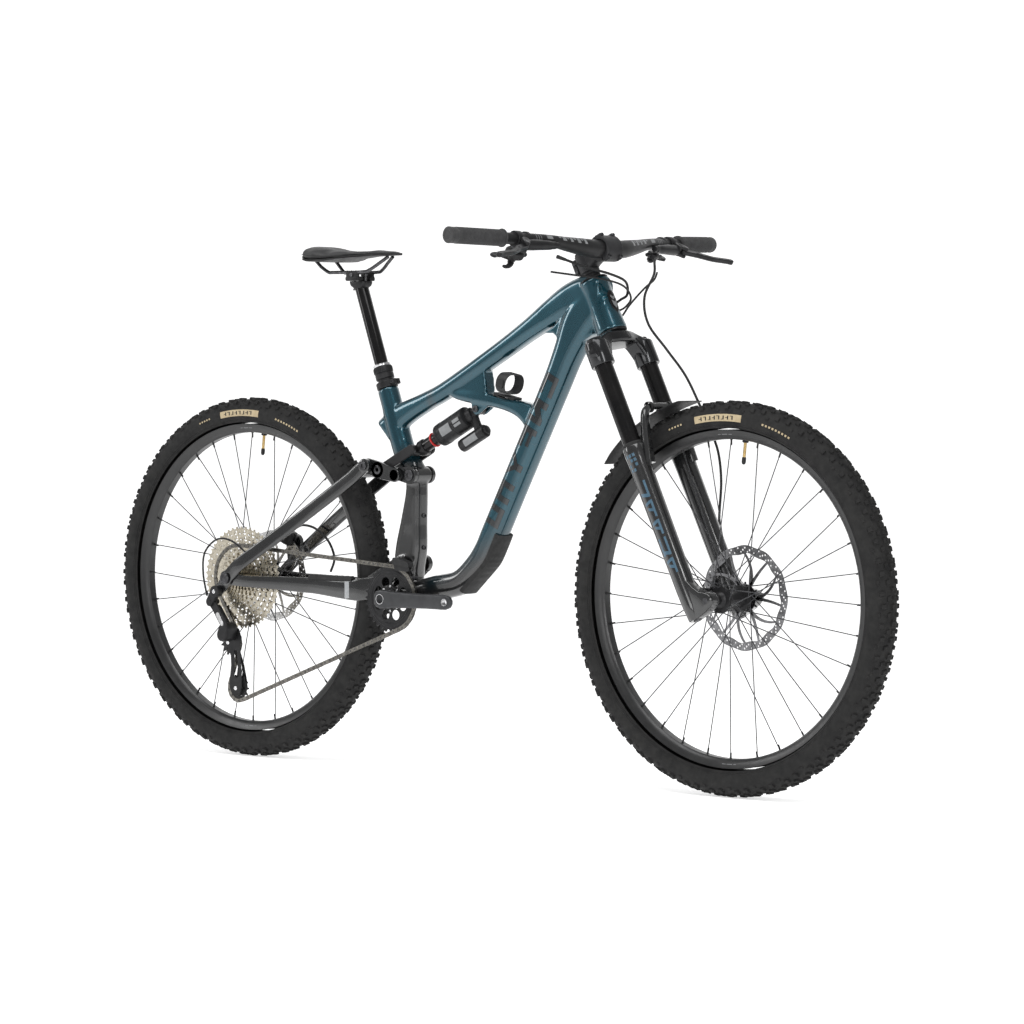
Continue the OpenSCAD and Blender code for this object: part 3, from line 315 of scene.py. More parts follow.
floor_me = bpy.data.meshes.new("floor")
sweep = [(-12.0, -0.0005), (5.0, -0.0005)] + [(5.0 + 3.0 * sin(radians(t)), -0.0005 + 3.0 - 3.0 * cos(radians(t))) for t in range(6, 91, 6)] + [(8.0, 9.0)]
side_dir, back_dir = Vector((cos(YAW), sin(YAW), 0)), Vector((-sin(YAW), cos(YAW), 0))
fv = []
for d, z in sweep:
    for s_ in (-14.0, 14.0):
        fv.append(tuple(side_dir * s_ + back_dir * d + Vector((0, 0, z))))
floor_me.from_pydata(fv, [], [(2 * i, 2 * i + 1, 2 * i + 3, 2 * i + 2) for i in range(len(sweep) - 1)])
floor_me.polygons.foreach_set("use_smooth", [True] * len(floor_me.polygons))
floor = bpy.data.objects.new("floor", floor_me)
bpy.context.scene.collection.objects.link(floor)
floor_me.materials.append(MATS["floor_pale"])

# ---------------------------------------------------------------- geometry helpers; lengths here are in millimetres
MM = 0.001
LEAN = radians(25.5)
RA, FA, BB = (-622.0, 372.0), (622.0, 372.0), (-189.0, 345.0)
MP, KP, JP, YP, SP = (-180.0, 412.0), (-162.0, 591.0), (-263.0, 609.0), (-236.0, 601.0), (-1.0, 724.0)
SA = (622 - 44 * cos(LEAN), 372 - 44 * sin(LEAN))
SC = (-245.7, 763.0)
GP, TP = (-645.0, 237.0), (-623.0, 143.0)
Y_RING, Y_COG = -55.0, -43.75


def V(*a):
    return Vector(a)


def S(f, y, s):
    """A point of the steering frame, in the row frame."""
    return Vector((SA[0] + f * cos(LEAN) - s * sin(LEAN), y, SA[1] + f * sin(LEAN) + s * cos(LEAN)))


STEER = Matrix(((cos(LEAN), 0, -sin(LEAN), SA[0]), (0, 1, 0, 0), (sin(LEAN), 0, cos(LEAN), SA[1]), (0, 0, 0, 1)))
SEAT_A = radians(19.3)
SEAT = Matrix(((cos(SEAT_A), 0, -sin(SEAT_A), SC[0]), (0, 1, 0, 0), (sin(SEAT_A), 0, cos(SEAT_A), SC[1]), (0, 0, 0, 1)))
FLIP = Matrix.Diagonal((1, -1, 1, 1))


def at(p, ang=0.0, y=0.0):
    """A frame at the mid-plane point p: x along the direction ang (degrees, up from +X), y sideways."""
    a = radians(ang)
    return Matrix(((cos(a), 0, -sin(a), p[0]), (0, 1, 0, y), (sin(a), 0, cos(a), p[1]), (0, 0, 0, 1)))


class B:
    """Collects verts and faces, then makes one object."""

    def __init__(self):
        self.v, self.f, self.mi = [], [], []

    def add(self, verts, faces, m=None, mi=0):
        o = len(self.v)
        self.v += [tuple(m @ Vector(p)) if m else tuple(p) for p in verts]
        flip = m is not None and m.determinant() < 0
        self.f += [tuple(i + o for i in (reversed(f) if flip else f)) for f in faces]
        self.mi += [mi] * len(faces)

    def make(self, name, mats, body, replaces=(), smooth=35.0, bevel=0.0, bseg=2, sub=0, blend=None):
        me = bpy.data.meshes.new(name)
        me.from_pydata([(x * MM, y * MM, z * MM) for x, y, z in self.v], [], self.f)
        me.validate()
        ob = bpy.data.objects.new(name, me)
        bpy.context.scene.collection.objects.link(ob)
        mats = [mats] if isinstance(mats, str) else mats
        for k in mats:
            me.materials.append(MATS[k])
        me.polygons.foreach_set("material_index", self.mi)
        bm = bmesh.new()
        bm.from_mesh(me)
        bmesh.ops.recalc_face_normals(bm, faces=bm.faces)
        bm.to_mesh(me)
        bm.free()
        if smooth:
            me.polygons.foreach_set("use_smooth", [True] * len(me.polygons))
            me.set_sharp_from_angle(angle=radians(smooth))
        if bevel:
            b = ob.modifiers.new("bevel", "BEVEL")
            b.width, b.segments, b.limit_method, b.angle_limit = bevel * MM, bseg, "ANGLE", radians(32)
            b.harden_normals = False
        if sub:
            s = ob.modifiers.new("subsurf", "SUBSURF")
            s.levels = s.render_levels = sub
        if blend:
            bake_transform(ob)
        else:
            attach(ob, body)
        if replaces:
            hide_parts(*replaces)
        return ob


def ring_faces(n, m, closed=False, o=0):
    """Quads between m rings of n points each."""
    f = []
    for i in range(m if closed else m - 1):
        for j in range(n):
            a, b = o + i * n + j, o + i * n + (j + 1) % n
            c, d = o + ((i + 1) % m) * n + (j + 1) % n, o + ((i + 1) % m) * n + j
            f.append((a, b, c, d))
    return f


def loft(b, rings, m=None, mi=0, closed=False, caps=True):
    n = len(rings[0])
    v = [p for r in rings for p in r]
    f = ring_faces(n, len(rings), closed)
    if caps and not closed:
        f.append(tuple(range(n - 1, -1, -1)))
        f.append(tuple((len(rings) - 1) * n + j for j in range(n)))
    b.add(v, f, m, mi)


def lathe(b, prof, m=None, seg=48, mi=0, caps=True, axis="y"):
    """Profile of (radius, along) pairs, turned about the local y (or z or x) axis."""
    rings = []
    for r, h in prof:
        ring = []
        for j in range(seg):
            c, s = r * cos(2 * pi * j / seg), r * sin(2 * pi * j / seg)
            ring.append({"y": (c, h, s), "z": (c, s, h), "x": (h, c, s)}[axis])
        rings.append(ring)
    loft(b, rings, m, mi, caps=caps)


def torus_lathe(b, prof, m=None, seg=48, mi=0, axis="y"):
    """A closed profile of (radius, along) pairs turned about the axis."""
    rings = []
    for j in range(seg):
        c, s = cos(2 * pi * j / seg), sin(2 * pi * j / seg)
        rings.append([{"y": (r * c, h, r * s), "z": (r * c, r * s, h), "x": (h, r * c, r * s)}[axis] for r, h in prof])
    loft(b, rings, m, mi, closed=True, caps=False)


def prism(b, poly, y0, y1, m=None, mi=0):
    """A polygon in the local x-z plane, thick from y0 to y1."""
    n = len(poly)
    v = [(p[0], y0, p[1]) for p in poly] + [(p[0], y1, p[1]) for p in poly]
    f = [tuple(range(n)), tuple(range(2 * n - 1, n - 1, -1))] + [(i, i + n, (i + 1) % n + n, (i + 1) % n) for i in range(n)]
    b.add(v, f, m, mi)


def prism_holes(b, outer, holes, y0, y1, m=None, mi=0):
    """As prism, with round or polygonal holes, by triangulating between the loops."""
    bm = bmesh.new()
    edges = []
    for loop in [outer, *holes]:
        vs = [bm.verts.new((p[0], y0, p[1])) for p in loop]
        edges += [bm.edges.new((vs[i], vs[(i + 1) % len(vs)])) for i in range(len(vs))]
    bmesh.ops.triangle_fill(bm, use_beauty=True, use_dissolve=False, edges=edges)
    bm.verts.index_update()
    bot = [tuple(v.co) for v in bm.verts]
    tris = [tuple(v.index for v in f.verts) for f in bm.faces]
    bm.free()
    n = len(bot)
    v = bot + [(p[0], y1, p[2]) for p in bot]
    f = list(tris) + [tuple(i + n for i in reversed(t)) for t in tris]
    o = 0
    for loop in [outer, *holes]:
        k = len(loop)
        f += [(o + i, o + (i + 1) % k, o + (i + 1) % k + n, o + i + n) for i in range(k)]
        o += k
    b.add(v, f, m, mi)


def circle(c, r, n=24, a0=0.0):
    return [(c[0] + r * cos(a0 + 2 * pi * i / n), c[1] + r * sin(a0 + 2 * pi * i / n)) for i in range(n)]


def link_outline(a, b, ra, rb, n=14):
    """The outline of a flat link round two centres."""
    dx, dy = b[0] - a[0], b[1] - a[1]
    t, L = atan2(dy, dx), hypot(dx, dy)
    f = acos((ra - rb) / L)
    out = [(a[0] + ra * cos(t + f + (2 * pi - 2 * f) * i / n), a[1] + ra * sin(t + f + (2 * pi - 2 * f) * i / n)) for i in range(n + 1)]
    out += [(b[0] + rb * cos(t - f + 2 * f * i / n), b[1] + rb * sin(t - f + 2 * f * i / n)) for i in range(n + 1)]
    return out


def rrect(w, h, r, n=4, p=1.0):
    """Rounded rectangle ring, w by h, centred, as (a, b) pairs."""
    out = []
    r = min(r, w / 2 - 0.01, h / 2 - 0.01)
    for cx, cy, a0 in ((w / 2 - r, h / 2 - r, 0), (-w / 2 + r, h / 2 - r, 90), (-w / 2 + r, -h / 2 + r, 180), (w / 2 - r, -h / 2 + r, 270)):
        for i in range(n + 1):
            a = radians(a0 + 90 * i / n)
            out.append((cx + r * cos(a), cy + r * sin(a)))
    return out


def spline(P, k=6):
    """Catmull-Rom through the points."""
    P = [Vector(p) for p in P]
    out = []
    for i in range(len(P) - 1):
        a, b, c, d = P[max(i - 1, 0)], P[i], P[i + 1], P[min(i + 2, len(P) - 1)]
        for j in range(k):
            t = j / k
            out.append(0.5 * (2 * b + (c - a) * t + (2 * a - 5 * b + 4 * c - d) * t * t + (3 * b - a - 3 * c + d) * t ** 3))
    out.append(P[-1])
    return out


def tube(b, pts, r, n=12, mi=0, m=None, caps=True):
    """A round tube along points; r is a number or a function of the share of the way."""
    pts = [Vector(p) for p in pts]
    k = len(pts)
    rings, up = [], None
    for i, p in enumerate(pts):
        t = (pts[min(i + 1, k - 1)] - pts[max(i - 1, 0)]).normalized()
        if up is None:
            up = t.orthogonal().normalized()
        up = (up - t * up.dot(t)).normalized()
        w = t.cross(up)
        rr = r(i / (k - 1)) if callable(r) else r
        rings.append([p + rr * (cos(2 * pi * j / n) * up + sin(2 * pi * j / n) * w) for j in range(n)])
    loft(b, rings, m, mi, caps=caps)


def bar(b, P, q=16, m=None, mi=0, k=6):
    """A rounded box section lofted along mid-plane stations (x, y, z, width in y, depth, corner radius), on a smooth line."""
    st = []
    pts = [Vector(p[:3]) for p in P]
    for i in range(len(P) - 1):
        for j in range(k):
            t = j / k
            a, bb_, c, d = P[max(i - 1, 0)], P[i], P[i + 1], P[min(i + 2, len(P) - 1)]
            st.append([0.5 * (2 * bb_[n_] + (c[n_] - a[n_]) * t + (2 * a[n_] - 5 * bb_[n_] + 4 * c[n_] - d[n_]) * t * t + (3 * bb_[n_] - a[n_] - 3 * c[n_] + d[n_]) * t ** 3) for n_ in range(6)])
    st.append(list(P[-1]))
    rings = []
    for i, s in enumerate(st):
        p = Vector(s[:3])
        t = (Vector(st[min(i + 1, len(st) - 1)][:3]) - Vector(st[max(i - 1, 0)][:3])).normalized()
        side = Vector((0, 1, 0))
        side = (side - t * side.dot(t)).normalized()
        up = t.cross(side)
        rings.append([p + side * u + up * w for u, w in rrect(max(s[3], 1), max(s[4], 1), max(min(s[5], s[3] / 2, s[4] / 2), 0.5), 5)])
    loft(b, rings, m, mi)


def bolt(b, m, r=4.0, h=3.0, mi=0, hexr=None):
    """A socket-head bolt along local y, head top at y = -h (towards -y)."""
    hexr = hexr or r * 0.52
    lathe(b, [(0.01, 0), (r, 0), (r, -h * 0.8), (r * 0.9, -h), (hexr * 1.12, -h), (hexr * 1.12, -h * 0.45), (0.01, -h * 0.4)], m, 24, mi, caps=False)

# ---------------------------------------------------------------- front frame
def front_frame():
    b = B()
    # head tube: waisted shell round the steerer
    m = STEER
    rings = []
    for s, r, g in ((576, 29.5, 0), (580, 30.2, 0), (594, 29.2, 1), (612, 28.0, 2), (634, 27.2, 2.5), (656, 27.4, 2), (672, 28.6, 1), (680, 29.4, 0), (684, 29.0, 0)):
        rings.append([(r * cos(2 * pi * j / 56) - (g if cos(2 * pi * j / 56) < 0 else 0) * 0.5, r * sin(2 * pi * j / 56), s) for j in range(56)])
    loft(b, rings, m)
    # top tube, one line from the seat tube to the head tube, deeper where it meets each
    bar(b, [(-243, 0, 676, 36, 62, 14), (-206, 0, 708, 37, 50, 15), (-140, 0, 738, 38, 38, 15), (-81, 0, 764, 38, 36, 15), (49, 0, 834, 39, 38, 15),
            (130, 0, 880, 41, 42, 15), (190, 0, 914, 43, 54, 16), (238, 0, 938, 47, 64, 18), (282, 0, 952, 50, 64, 20), (318, 0, 955, 48, 50, 20)], k=7)
    # down tube with its lower bend
    bar(b, [(322, 0, 912, 48, 58, 20), (290, 0, 922, 50, 78, 21), (258, 0, 892, 50, 78, 20), (226, 0, 834, 49, 60, 19), (190, 0, 763, 48, 54, 18), (100, 0, 595, 48, 52, 18),
            (40, 0, 483, 48, 52, 18), (19, 0, 445, 47, 52, 18), (-8, 0, 412, 47, 51, 18), (-50, 0, 380, 46, 50, 17), (-110, 0, 367, 46, 50, 17), (-176, 0, 352, 48, 48, 17)], k=7)
    # shock bridge between the tubes
    bar(b, [(-88, 0, 768, 30, 14, 6), (-55, 0, 755, 32, 24, 8), (-10, 0, 748, 34, 28, 9), (60, 0, 736, 34, 24, 9), (110, 0, 724, 36, 34, 10), (146, 0, 706, 38, 56, 12)], k=6)
    # seat tube: round top, then the flat lower strut to the shell
    torus_lathe(b, [(16.0, 0), (20.2, 0), (21.6, -3), (21.6, -34), (22.6, -60), (23, -110), (22, -150), (16.0, -150)], SEAT, 48, axis="z")
    bar(b, [(-232, 0, 722, 42, 44, 20), (-216, 0, 676, 42, 44, 19), (-196, 0, 634, 41, 40, 17), (-172, 0, 596, 40, 40, 14), (-168, 0, 560, 40, 38, 13), (-175, 0, 500, 40, 50, 13), (-182, 0, 446, 41, 64, 14),
            (-188, 0, 404, 46, 60, 16), (-190, 0, 366, 50, 56, 18)], k=7)
    prism(b, [(-76, 756), (-66, 786), (14, 826), (24, 782), (26, 760), (20, 744), (-40, 748)], -15, 15)
    lathe(b, [(20.6, -36.5), (25.5, -36.5), (26.5, -35), (26.5, 35), (25.5, 36.5), (20.6, 36.5)], at(BB), 48, caps=False)
    lathe(b, [(8, -30), (16.5, -30), (18, -28.5), (18, 28.5), (16.5, 30), (8, 30)], at(MP), 40, caps=False)
    lathe(b, [(5, -22.2), (15.5, -22.2), (17, -20.8), (17, 20.8), (15.5, 22.2), (5, 22.2)], at(KP), 40, caps=False)
    # gusset web where top and down tube meet at the head
    for y0, y1 in ((-19, 19),):
        prism(b, [(176, 872), (200, 884), (262, 938), (300, 938), (300, 870), (250, 842), (226, 852), (200, 872)], y0, y1)
    # shock mount tabs
    for y in (-14, 8):
        prism(b, [(-13, 745), (-12.5, 722), (-9, 715), (-1, 711.5), (7, 714), (30, 730), (30, 742)], y, y + 6)
    ob = b.make("frame_front_shell", "frame_paint", "frame", ["front_triangle"], smooth=40)
    r = ob.modifiers.new("remesh", "REMESH")
    r.mode, r.voxel_size, r.use_smooth_shade = "VOXEL", 0.0021, True
    s = ob.modifiers.new("smooth", "SMOOTH")
    s.factor, s.iterations = 0.55, 9
    # bosses and ports: seal rings in the head tube's left cheek for three lines
    p = B()
    for i, q in enumerate(((313, 30.2, 927), (319, 30.2, 913), (318, 30.8, 893))):
        d = (Vector((0.25, 1, 0.1))).normalized()
        tube(p, [Vector(q) - d * 5, Vector(q) + d * 1.0, Vector(q) + d * 3.5], lambda t: 5.2 - 1.4 * t, 16)
    p.make("cable_port_seals", "rubber", "frame", smooth=40)
    # bottle bolts on the strut's front face
    q = B()
    for z, x in ((446, -149.6), (510, -149.6)):
        bolt(q, Matrix.Translation((x, 0, z)) @ Matrix.Rotation(radians(90), 4, "Z"), 4.4, 3.4)
    q.make("bottle_bolts", "steel_dark", "frame", smooth=40)
    # head badge: a generic shield with bars, on the head tube's front
    h = B()
    def face(u, s, lift):
        r = 28.9 + lift - (0.9 if 600 < s < 668 else 0.0)
        return (r * cos(u / 28.0), r * sin(u / 28.0), s)
    def patch(poly, lift, mi):
        ctr = (sum(x for x, _ in poly) / len(poly), sum(y for _, y in poly) / len(poly))
        v = [face(u, s, lift) for u, s in poly] + [face(u * 0.97, ctr[1] + (s - ctr[1]) * 0.97, lift + 0.8) for u, s in poly]
        n = len(poly)
        v.append(face(ctr[0], ctr[1], lift + 0.9))
        v.append(face(ctr[0], ctr[1], lift - 0.6))
        f = [(i, (i + 1) % n, (i + 1) % n + n, i + n) for i in range(n)] + [(i + n, (i + 1) % n + n, 2 * n) for i in range(n)] + [((i + 1) % n, i, 2 * n + 1) for i in range(n)]
        h.add(v, f, STEER, mi)
    patch([(0, 604), (-9, 616), (-11, 632), (-9, 646), (-4, 652), (4, 652), (9, 646), (11, 632), (9, 616)], 0.4, 0)
    patch([(0, 614), (-5, 622), (-5.5, 632), (0, 627), (5.5, 632), (5, 622)], 1.4, 1)
    patch([(-5.5, 637), (0, 632), (5.5, 637), (5.5, 642), (0, 637.5), (-5.5, 642)], 1.4, 1)
    h.make("head_badge", ["badge", "decal_grey"], "frame", smooth=50)


front_frame()


def downtube_marks():
    """Generic dark panels along both sides of the down tube, in the paint."""
    b = B()
    d = (Vector((19, 0, 444)) - Vector((258, 0, 890)))
    L = d.length
    d.normalize()
    n = Vector((-d.z, 0, d.x))  # towards the front and down side
    if n.x < 0:
        n = -n
    start = Vector((205, 0, 791))
    shapes = [
        [(0, -17), (44, -17), (44, -8), (13, -8), (13, 8), (44, 8), (44, 17), (0, 17)],
        [(56, -17), (70, -17), (92, 0), (92, -17), (104, -17), (104, 17), (92, 17), (70, 2), (70, 17), (56, 17)],
        [(116, -17), (160, -17), (160, -6), (128, -6), (128, 2), (154, 2), (154, 10), (128, 10), (128, 17), (116, 17)],
        [(172, -17), (184, -17), (200, -4), (214, -17), (226, -17), (208, 2), (208, 17), (194, 17), (194, 2)],
        [(238, -17), (280, -17), (280, 17), (268, 17), (268, -6), (250, -6), (250, 17), (238, 17)],
        [(292, -17), (304, -17), (304, 6), (322, 6), (322, -17), (334, -17), (334, 17), (292, 17)],
    ]
    for side in (-1, 1):
        for poly in shapes:
            # fill the outline in strips, so that it follows the tube's rounded side
            bm = bmesh.new()
            bm.faces.new([bm.verts.new((s, w, 0)) for s, w in poly])
            for wv in (-14.5, -12, -9.5, -6, -2, 2, 6, 9.5, 12, 14.5):
                bmesh.ops.bisect_plane(bm, geom=bm.verts[:] + bm.edges[:] + bm.faces[:], plane_co=(0, wv, 0), plane_no=(0, 1, 0))
            bmesh.ops.triangulate(bm, faces=bm.faces[:])
            bm.verts.index_update()
            flat = [tuple(x.co) for x in bm.verts]
            tris = [tuple(x.index for x in f.verts) for f in bm.faces]
            rim = [(ed.verts[0].index, ed.verts[1].index) for ed in bm.edges if len(ed.link_faces) == 1]
            bm.free()
            v, k = [], len(flat)
            for lift in (-0.9, 0.45):
                for s, w, _ in flat:
                    y = 24.1 + lift - max(abs(w) - 8.0, 0) ** 2 * 0.029
                    p = start + d * s + n * w
                    v.append((p.x, side * y, p.z))
            f = list(tris) + [tuple(i + k for i in reversed(t)) for t in tris] + [(i, j, j + k, i + k) for i, j in rim]
            b.add(v, f)
    b.make("downtube_panels", "teal_dark", "frame", smooth=30)
    # guard: a ribbed rubber skin under the bend
    g = B()
    rings = []
    line = [(66, 0, 476), (54, 0, 452), (42, 0, 430), (33, 0, 417), (18, 0, 402), (-4, 0, 382), (-28, 0, 360)]
    pts = spline(line, 6)
    for i, p in enumerate(pts):
        t = (pts[min(i + 1, len(pts) - 1)] - pts[max(i - 1, 0)]).normalized()
        out = Vector((-t.z, 0, t.x))
        if out.x < 0:
            out = -out
        rib = 0.9 if (i // 2) % 2 else 0.0
        prof = [(-22.5, -9.0), (-24.6, -9.0), (-25.0, -5), (-23.0, -0.6), (-16, 2.2 + rib), (0, 2.8 + rib), (16, 2.2 + rib), (23.0, -0.6), (25.0, -5), (24.6, -9.0), (22.5, -9.0), (17, -2.0), (-17, -2.0)]
        rings.append([(p.x + out.x * h, y, p.z + out.z * h) for y, h in prof])
    loft(g, rings)
    g.make("downtube_guard_skin", "rubber", "frame", ["downtube_guard"], smooth=32)


downtube_marks()


def seat_parts():
    # collar with its slot and clamp bolt
    b = B()
    lathe(b, [(16.1, 0.5), (20.5, 0.5), (21.6, 1.6), (21.6, 12.8), (20.6, 14), (16.1, 14)], SEAT, 48, axis="z", caps=False)
    prism(b, [(29, 2), (18, 1.5), (18, 13.5), (29, 13)], 1.2, 9, SEAT)
    prism(b, [(29, 2), (18, 1.5), (18, 13.5), (29, 13)], -9, -1.2, SEAT)
    b.make("seat_collar_clamp", "alloy_black", "frame", ["seat_collar"], smooth=35, bevel=0.5)
    q = B()
    bolt(q, SEAT @ Matrix.Translation((24.5, -9, 7.5)), 3.8, 4)
    lathe(q, [(2.4, -9), (2.4, 11)], SEAT @ Matrix.Translation((24.5, 0, 7.5)), 16)
    q.make("seat_collar_bolt", "steel_dark", "frame", smooth=35)
    # dropper outer tube: knurled cap and silver ring
    b = B()
    prof = [(14.4, 50.5), (16.2, 50.5), (17.2, 49.2), (17.2, 46.4), (18.6, 45.6), (19.0, 44.4), (19.0, 33.0), (17.4, 32.4), (17.4, 31.0), (18.8, 30.4), (18.8, 21.4), (18.2, 20.4), (15.85, 19.4), (15.85, -60), (14.3, -60)]
    torus_lathe(b, prof, SEAT, 72, axis="z")
    for i in range(30):
        a = 2 * pi * i / 30
        b.add(*block(1.5, 1.4, 9.0), SEAT @ Matrix.Rotation(a, 4, "Z") @ Matrix.Translation((19.1, 0, 39)))
    b.make("dropper_outer", "alloy_satin", "frame", ["dropper_lower_tube"], smooth=35)
    b = B()
    torus_lathe(b, [(16.2, 46.2), (17.5, 46.3), (17.9, 47.0), (17.9, 50.6), (17.2, 51.2), (16.2, 51.2)], SEAT, 72, axis="z")
    b.make("dropper_rings", "silver", "frame", smooth=35)


def block(x, y, z):
    v = [(sx * x / 2, sy * y / 2, sz * z / 2) for sx in (-1, 1) for sy in (-1, 1) for sz in (-1, 1)]
    return v, [(0, 1, 3, 2), (4, 6, 7, 5), (0, 4, 5, 1), (2, 3, 7, 6), (0, 2, 6, 4), (1, 5, 7, 3)]


seat_parts()

# ---------------------------------------------------------------- wheels, about their axles
def at_axle(p):
    return Matrix.Translation((p[0], 0, p[1]))


def tyre(name, centre, body, node, seed):
    m = at_axle(centre)
    b = B()
    R, w = 372.0, 33.0
    cr = R - w
    # casing: closed section from bead to bead
    prof = []
    for i in range(33):
        a = radians(-128 + 256 * i / 32)
        rr = w - 2.9
        prof.append((cr + rr * cos(a) * 0.985, rr * sin(a)))
    for i in range(32, -1, -1):
        a = radians(-128 + 256 * i / 32)
        rr = w - 5.6
        prof.append((cr + rr * cos(a), rr * sin(a) * 0.985))
    torus_lathe(b, prof, m, 160)
    # two raised circumferential ribs near the bead
    for sy in (-1, 1):
        for ang, hh in ((118, 0.8), (111, 0.5)):
            a = radians(ang)
            r0, y0 = cr + (w - 2.9) * cos(a), (w - 2.9) * sin(a) * sy
            torus_lathe(b, [(r0 - 0.9, y0), (r0 + hh * cos(a), y0 + hh * sin(a) * sy), (r0 + 0.9, y0 + 0.2 * sy)], m, 120)
    # knobs: tapered blocks standing on the casing
    def knob(theta, phi, lt, lp, h, skew=0.0, step=0.0):
        """theta round the wheel, phi across the casing, lt length along, lp width across."""
        base = w - 3.3
        v = []
        for top in (0, 1):
            k = 0.84 if top else 1.06
            rr = base + (h if top else 0)
            for st, sp_ in ((-1, -1), (1, -1), (1, 1), (-1, 1)):
                ph = phi + sp_ * k * lp / 2 / base
                th = theta + (st * k * lt / 2 + skew * sp_ * lp / 2) / R
                rad = cr + (rr - (step if top and st > 0 else 0)) * cos(ph)
                yy = (rr - (step if top and st > 0 else 0)) * sin(ph)
                v.append((rad * cos(th), yy, -rad * sin(th)))
        b.add(v, [(0, 1, 2, 3), (7, 6, 5, 4), (0, 4, 5, 1), (1, 5, 6, 2), (2, 6, 7, 3), (3, 7, 4, 0)], m)
    n = 76
    for i in range(n):
        th = 2 * pi * i / n
        hf = pi / n
        o = 1 if i % 2 else -1
        # centre pairs
        knob(th, 0.12, 9.4, 7.2, 3.9, 0.25, 0.7)
        knob(th, -0.12, 9.4, 7.2, 3.9, -0.25, 0.7)
        if i % 2:
            knob(th + hf, 0.0, 6.4, 9.0, 3.4, 0, 0.5)
        # transition
        knob(th + hf, 0.43, 8.2, 7.6, 3.8, 0.35, 0.6)
        knob(th + hf, -0.43, 8.2, 7.6, 3.8, -0.35, 0.6)
        # shoulder rows
        knob(th + (hf if i % 2 else 0) * 0.4, 0.80 + 0.05 * o, 9.6, 8.6, 4.4, 0.15, 0.4)
        knob(th + (hf if i % 2 else 0) * 0.4, -0.80 - 0.05 * o, 9.6, 8.6, 4.4, -0.15, 0.4)
        if i % 2 == 0:
            knob(th + hf, 1.06, 7.6, 5.6, 2.0)
            knob(th + hf, -1.06, 7.6, 5.6, 2.0)
    b.make(name + "_casing", "tyre_rubber", body, [node], smooth=38)
    # labels on the sidewall
    lab, mk = B(), B()
    def side_patch(bb, t0, t1, p0, p1, lift, sy, steps=14):
        rr = w - 2.9 + lift
        v, f = [], []
        nk = max(1, int(ceil((p1 - p0) / 4.0)))
        for L in (0, 1):
            for i in range(steps + 1):
                th = radians(t0 + (t1 - t0) * i / steps)
                for k in range(nk + 1):
                    a = radians(p0 + (p1 - p0) * k / nk)
                    r_ = rr - (0.7 if L else 0)
                    rad, yy = cr + r_ * cos(a) * 0.985, r_ * sin(a) * sy
                    v.append((rad * cos(th), yy, rad * sin(th)))
        c_ = nk + 1
        q = (steps + 1) * c_
        for i in range(steps):
            for k in range(nk):
                a = c_ * i + k
                f.append((a, a + 1, a + 1 + c_, a + c_))
                f.append((q + a, q + a + c_, q + a + 1 + c_, q + a + 1))
            a = c_ * i
            f.append((a, a + c_, q + a + c_, q + a))
            a = c_ * i + nk
            f.append((a, q + a, q + a + c_, a + c_))
        for k in range(nk):
            f.append((k, q + k, q + k + 1, k + 1))
            a = steps * c_ + k
            f.append((a, a + 1, q + a + 1, q + a))
        bb.add(v, f, m)
    for sy in (-1, 1):
        s = 1 if sy < 0 else -1
        for c in ((92,) if True else ()):
            side_patch(lab, c - 9.2 * s, c + 9.2 * s, 74, 100, 0.45, sy, 20)
            # dark strokes on the label: a generic word shape
            for k in range(8):
                t = c - 6.0 + 1.75 * k
                side_patch(mk, t, t + 0.42, 80, 94, 0.75, sy, 2)
                side_patch(mk, t, t + 1.15, (80, 86, 92)[k % 3], (82, 88, 94)[k % 3], 0.75, sy, 2)
        # small plain marks at either side of the label
        for k in range(9):
            t = c - 17.5 * s - k * 1.35 * s
            side_patch(mk if False else lab, t, t - 0.7 * s, 84, 91, 0.35, sy, 2)
        for k in range(5):
            t = c + 14.5 * s + k * 1.2 * s
            side_patch(lab, t, t + 0.6 * s, 84, 90, 0.35, sy, 2)
    lab.make(name + "_label", "tan_label", body, smooth=40)
    mk.make(name + "_label_ink", "rubber", body, smooth=40)


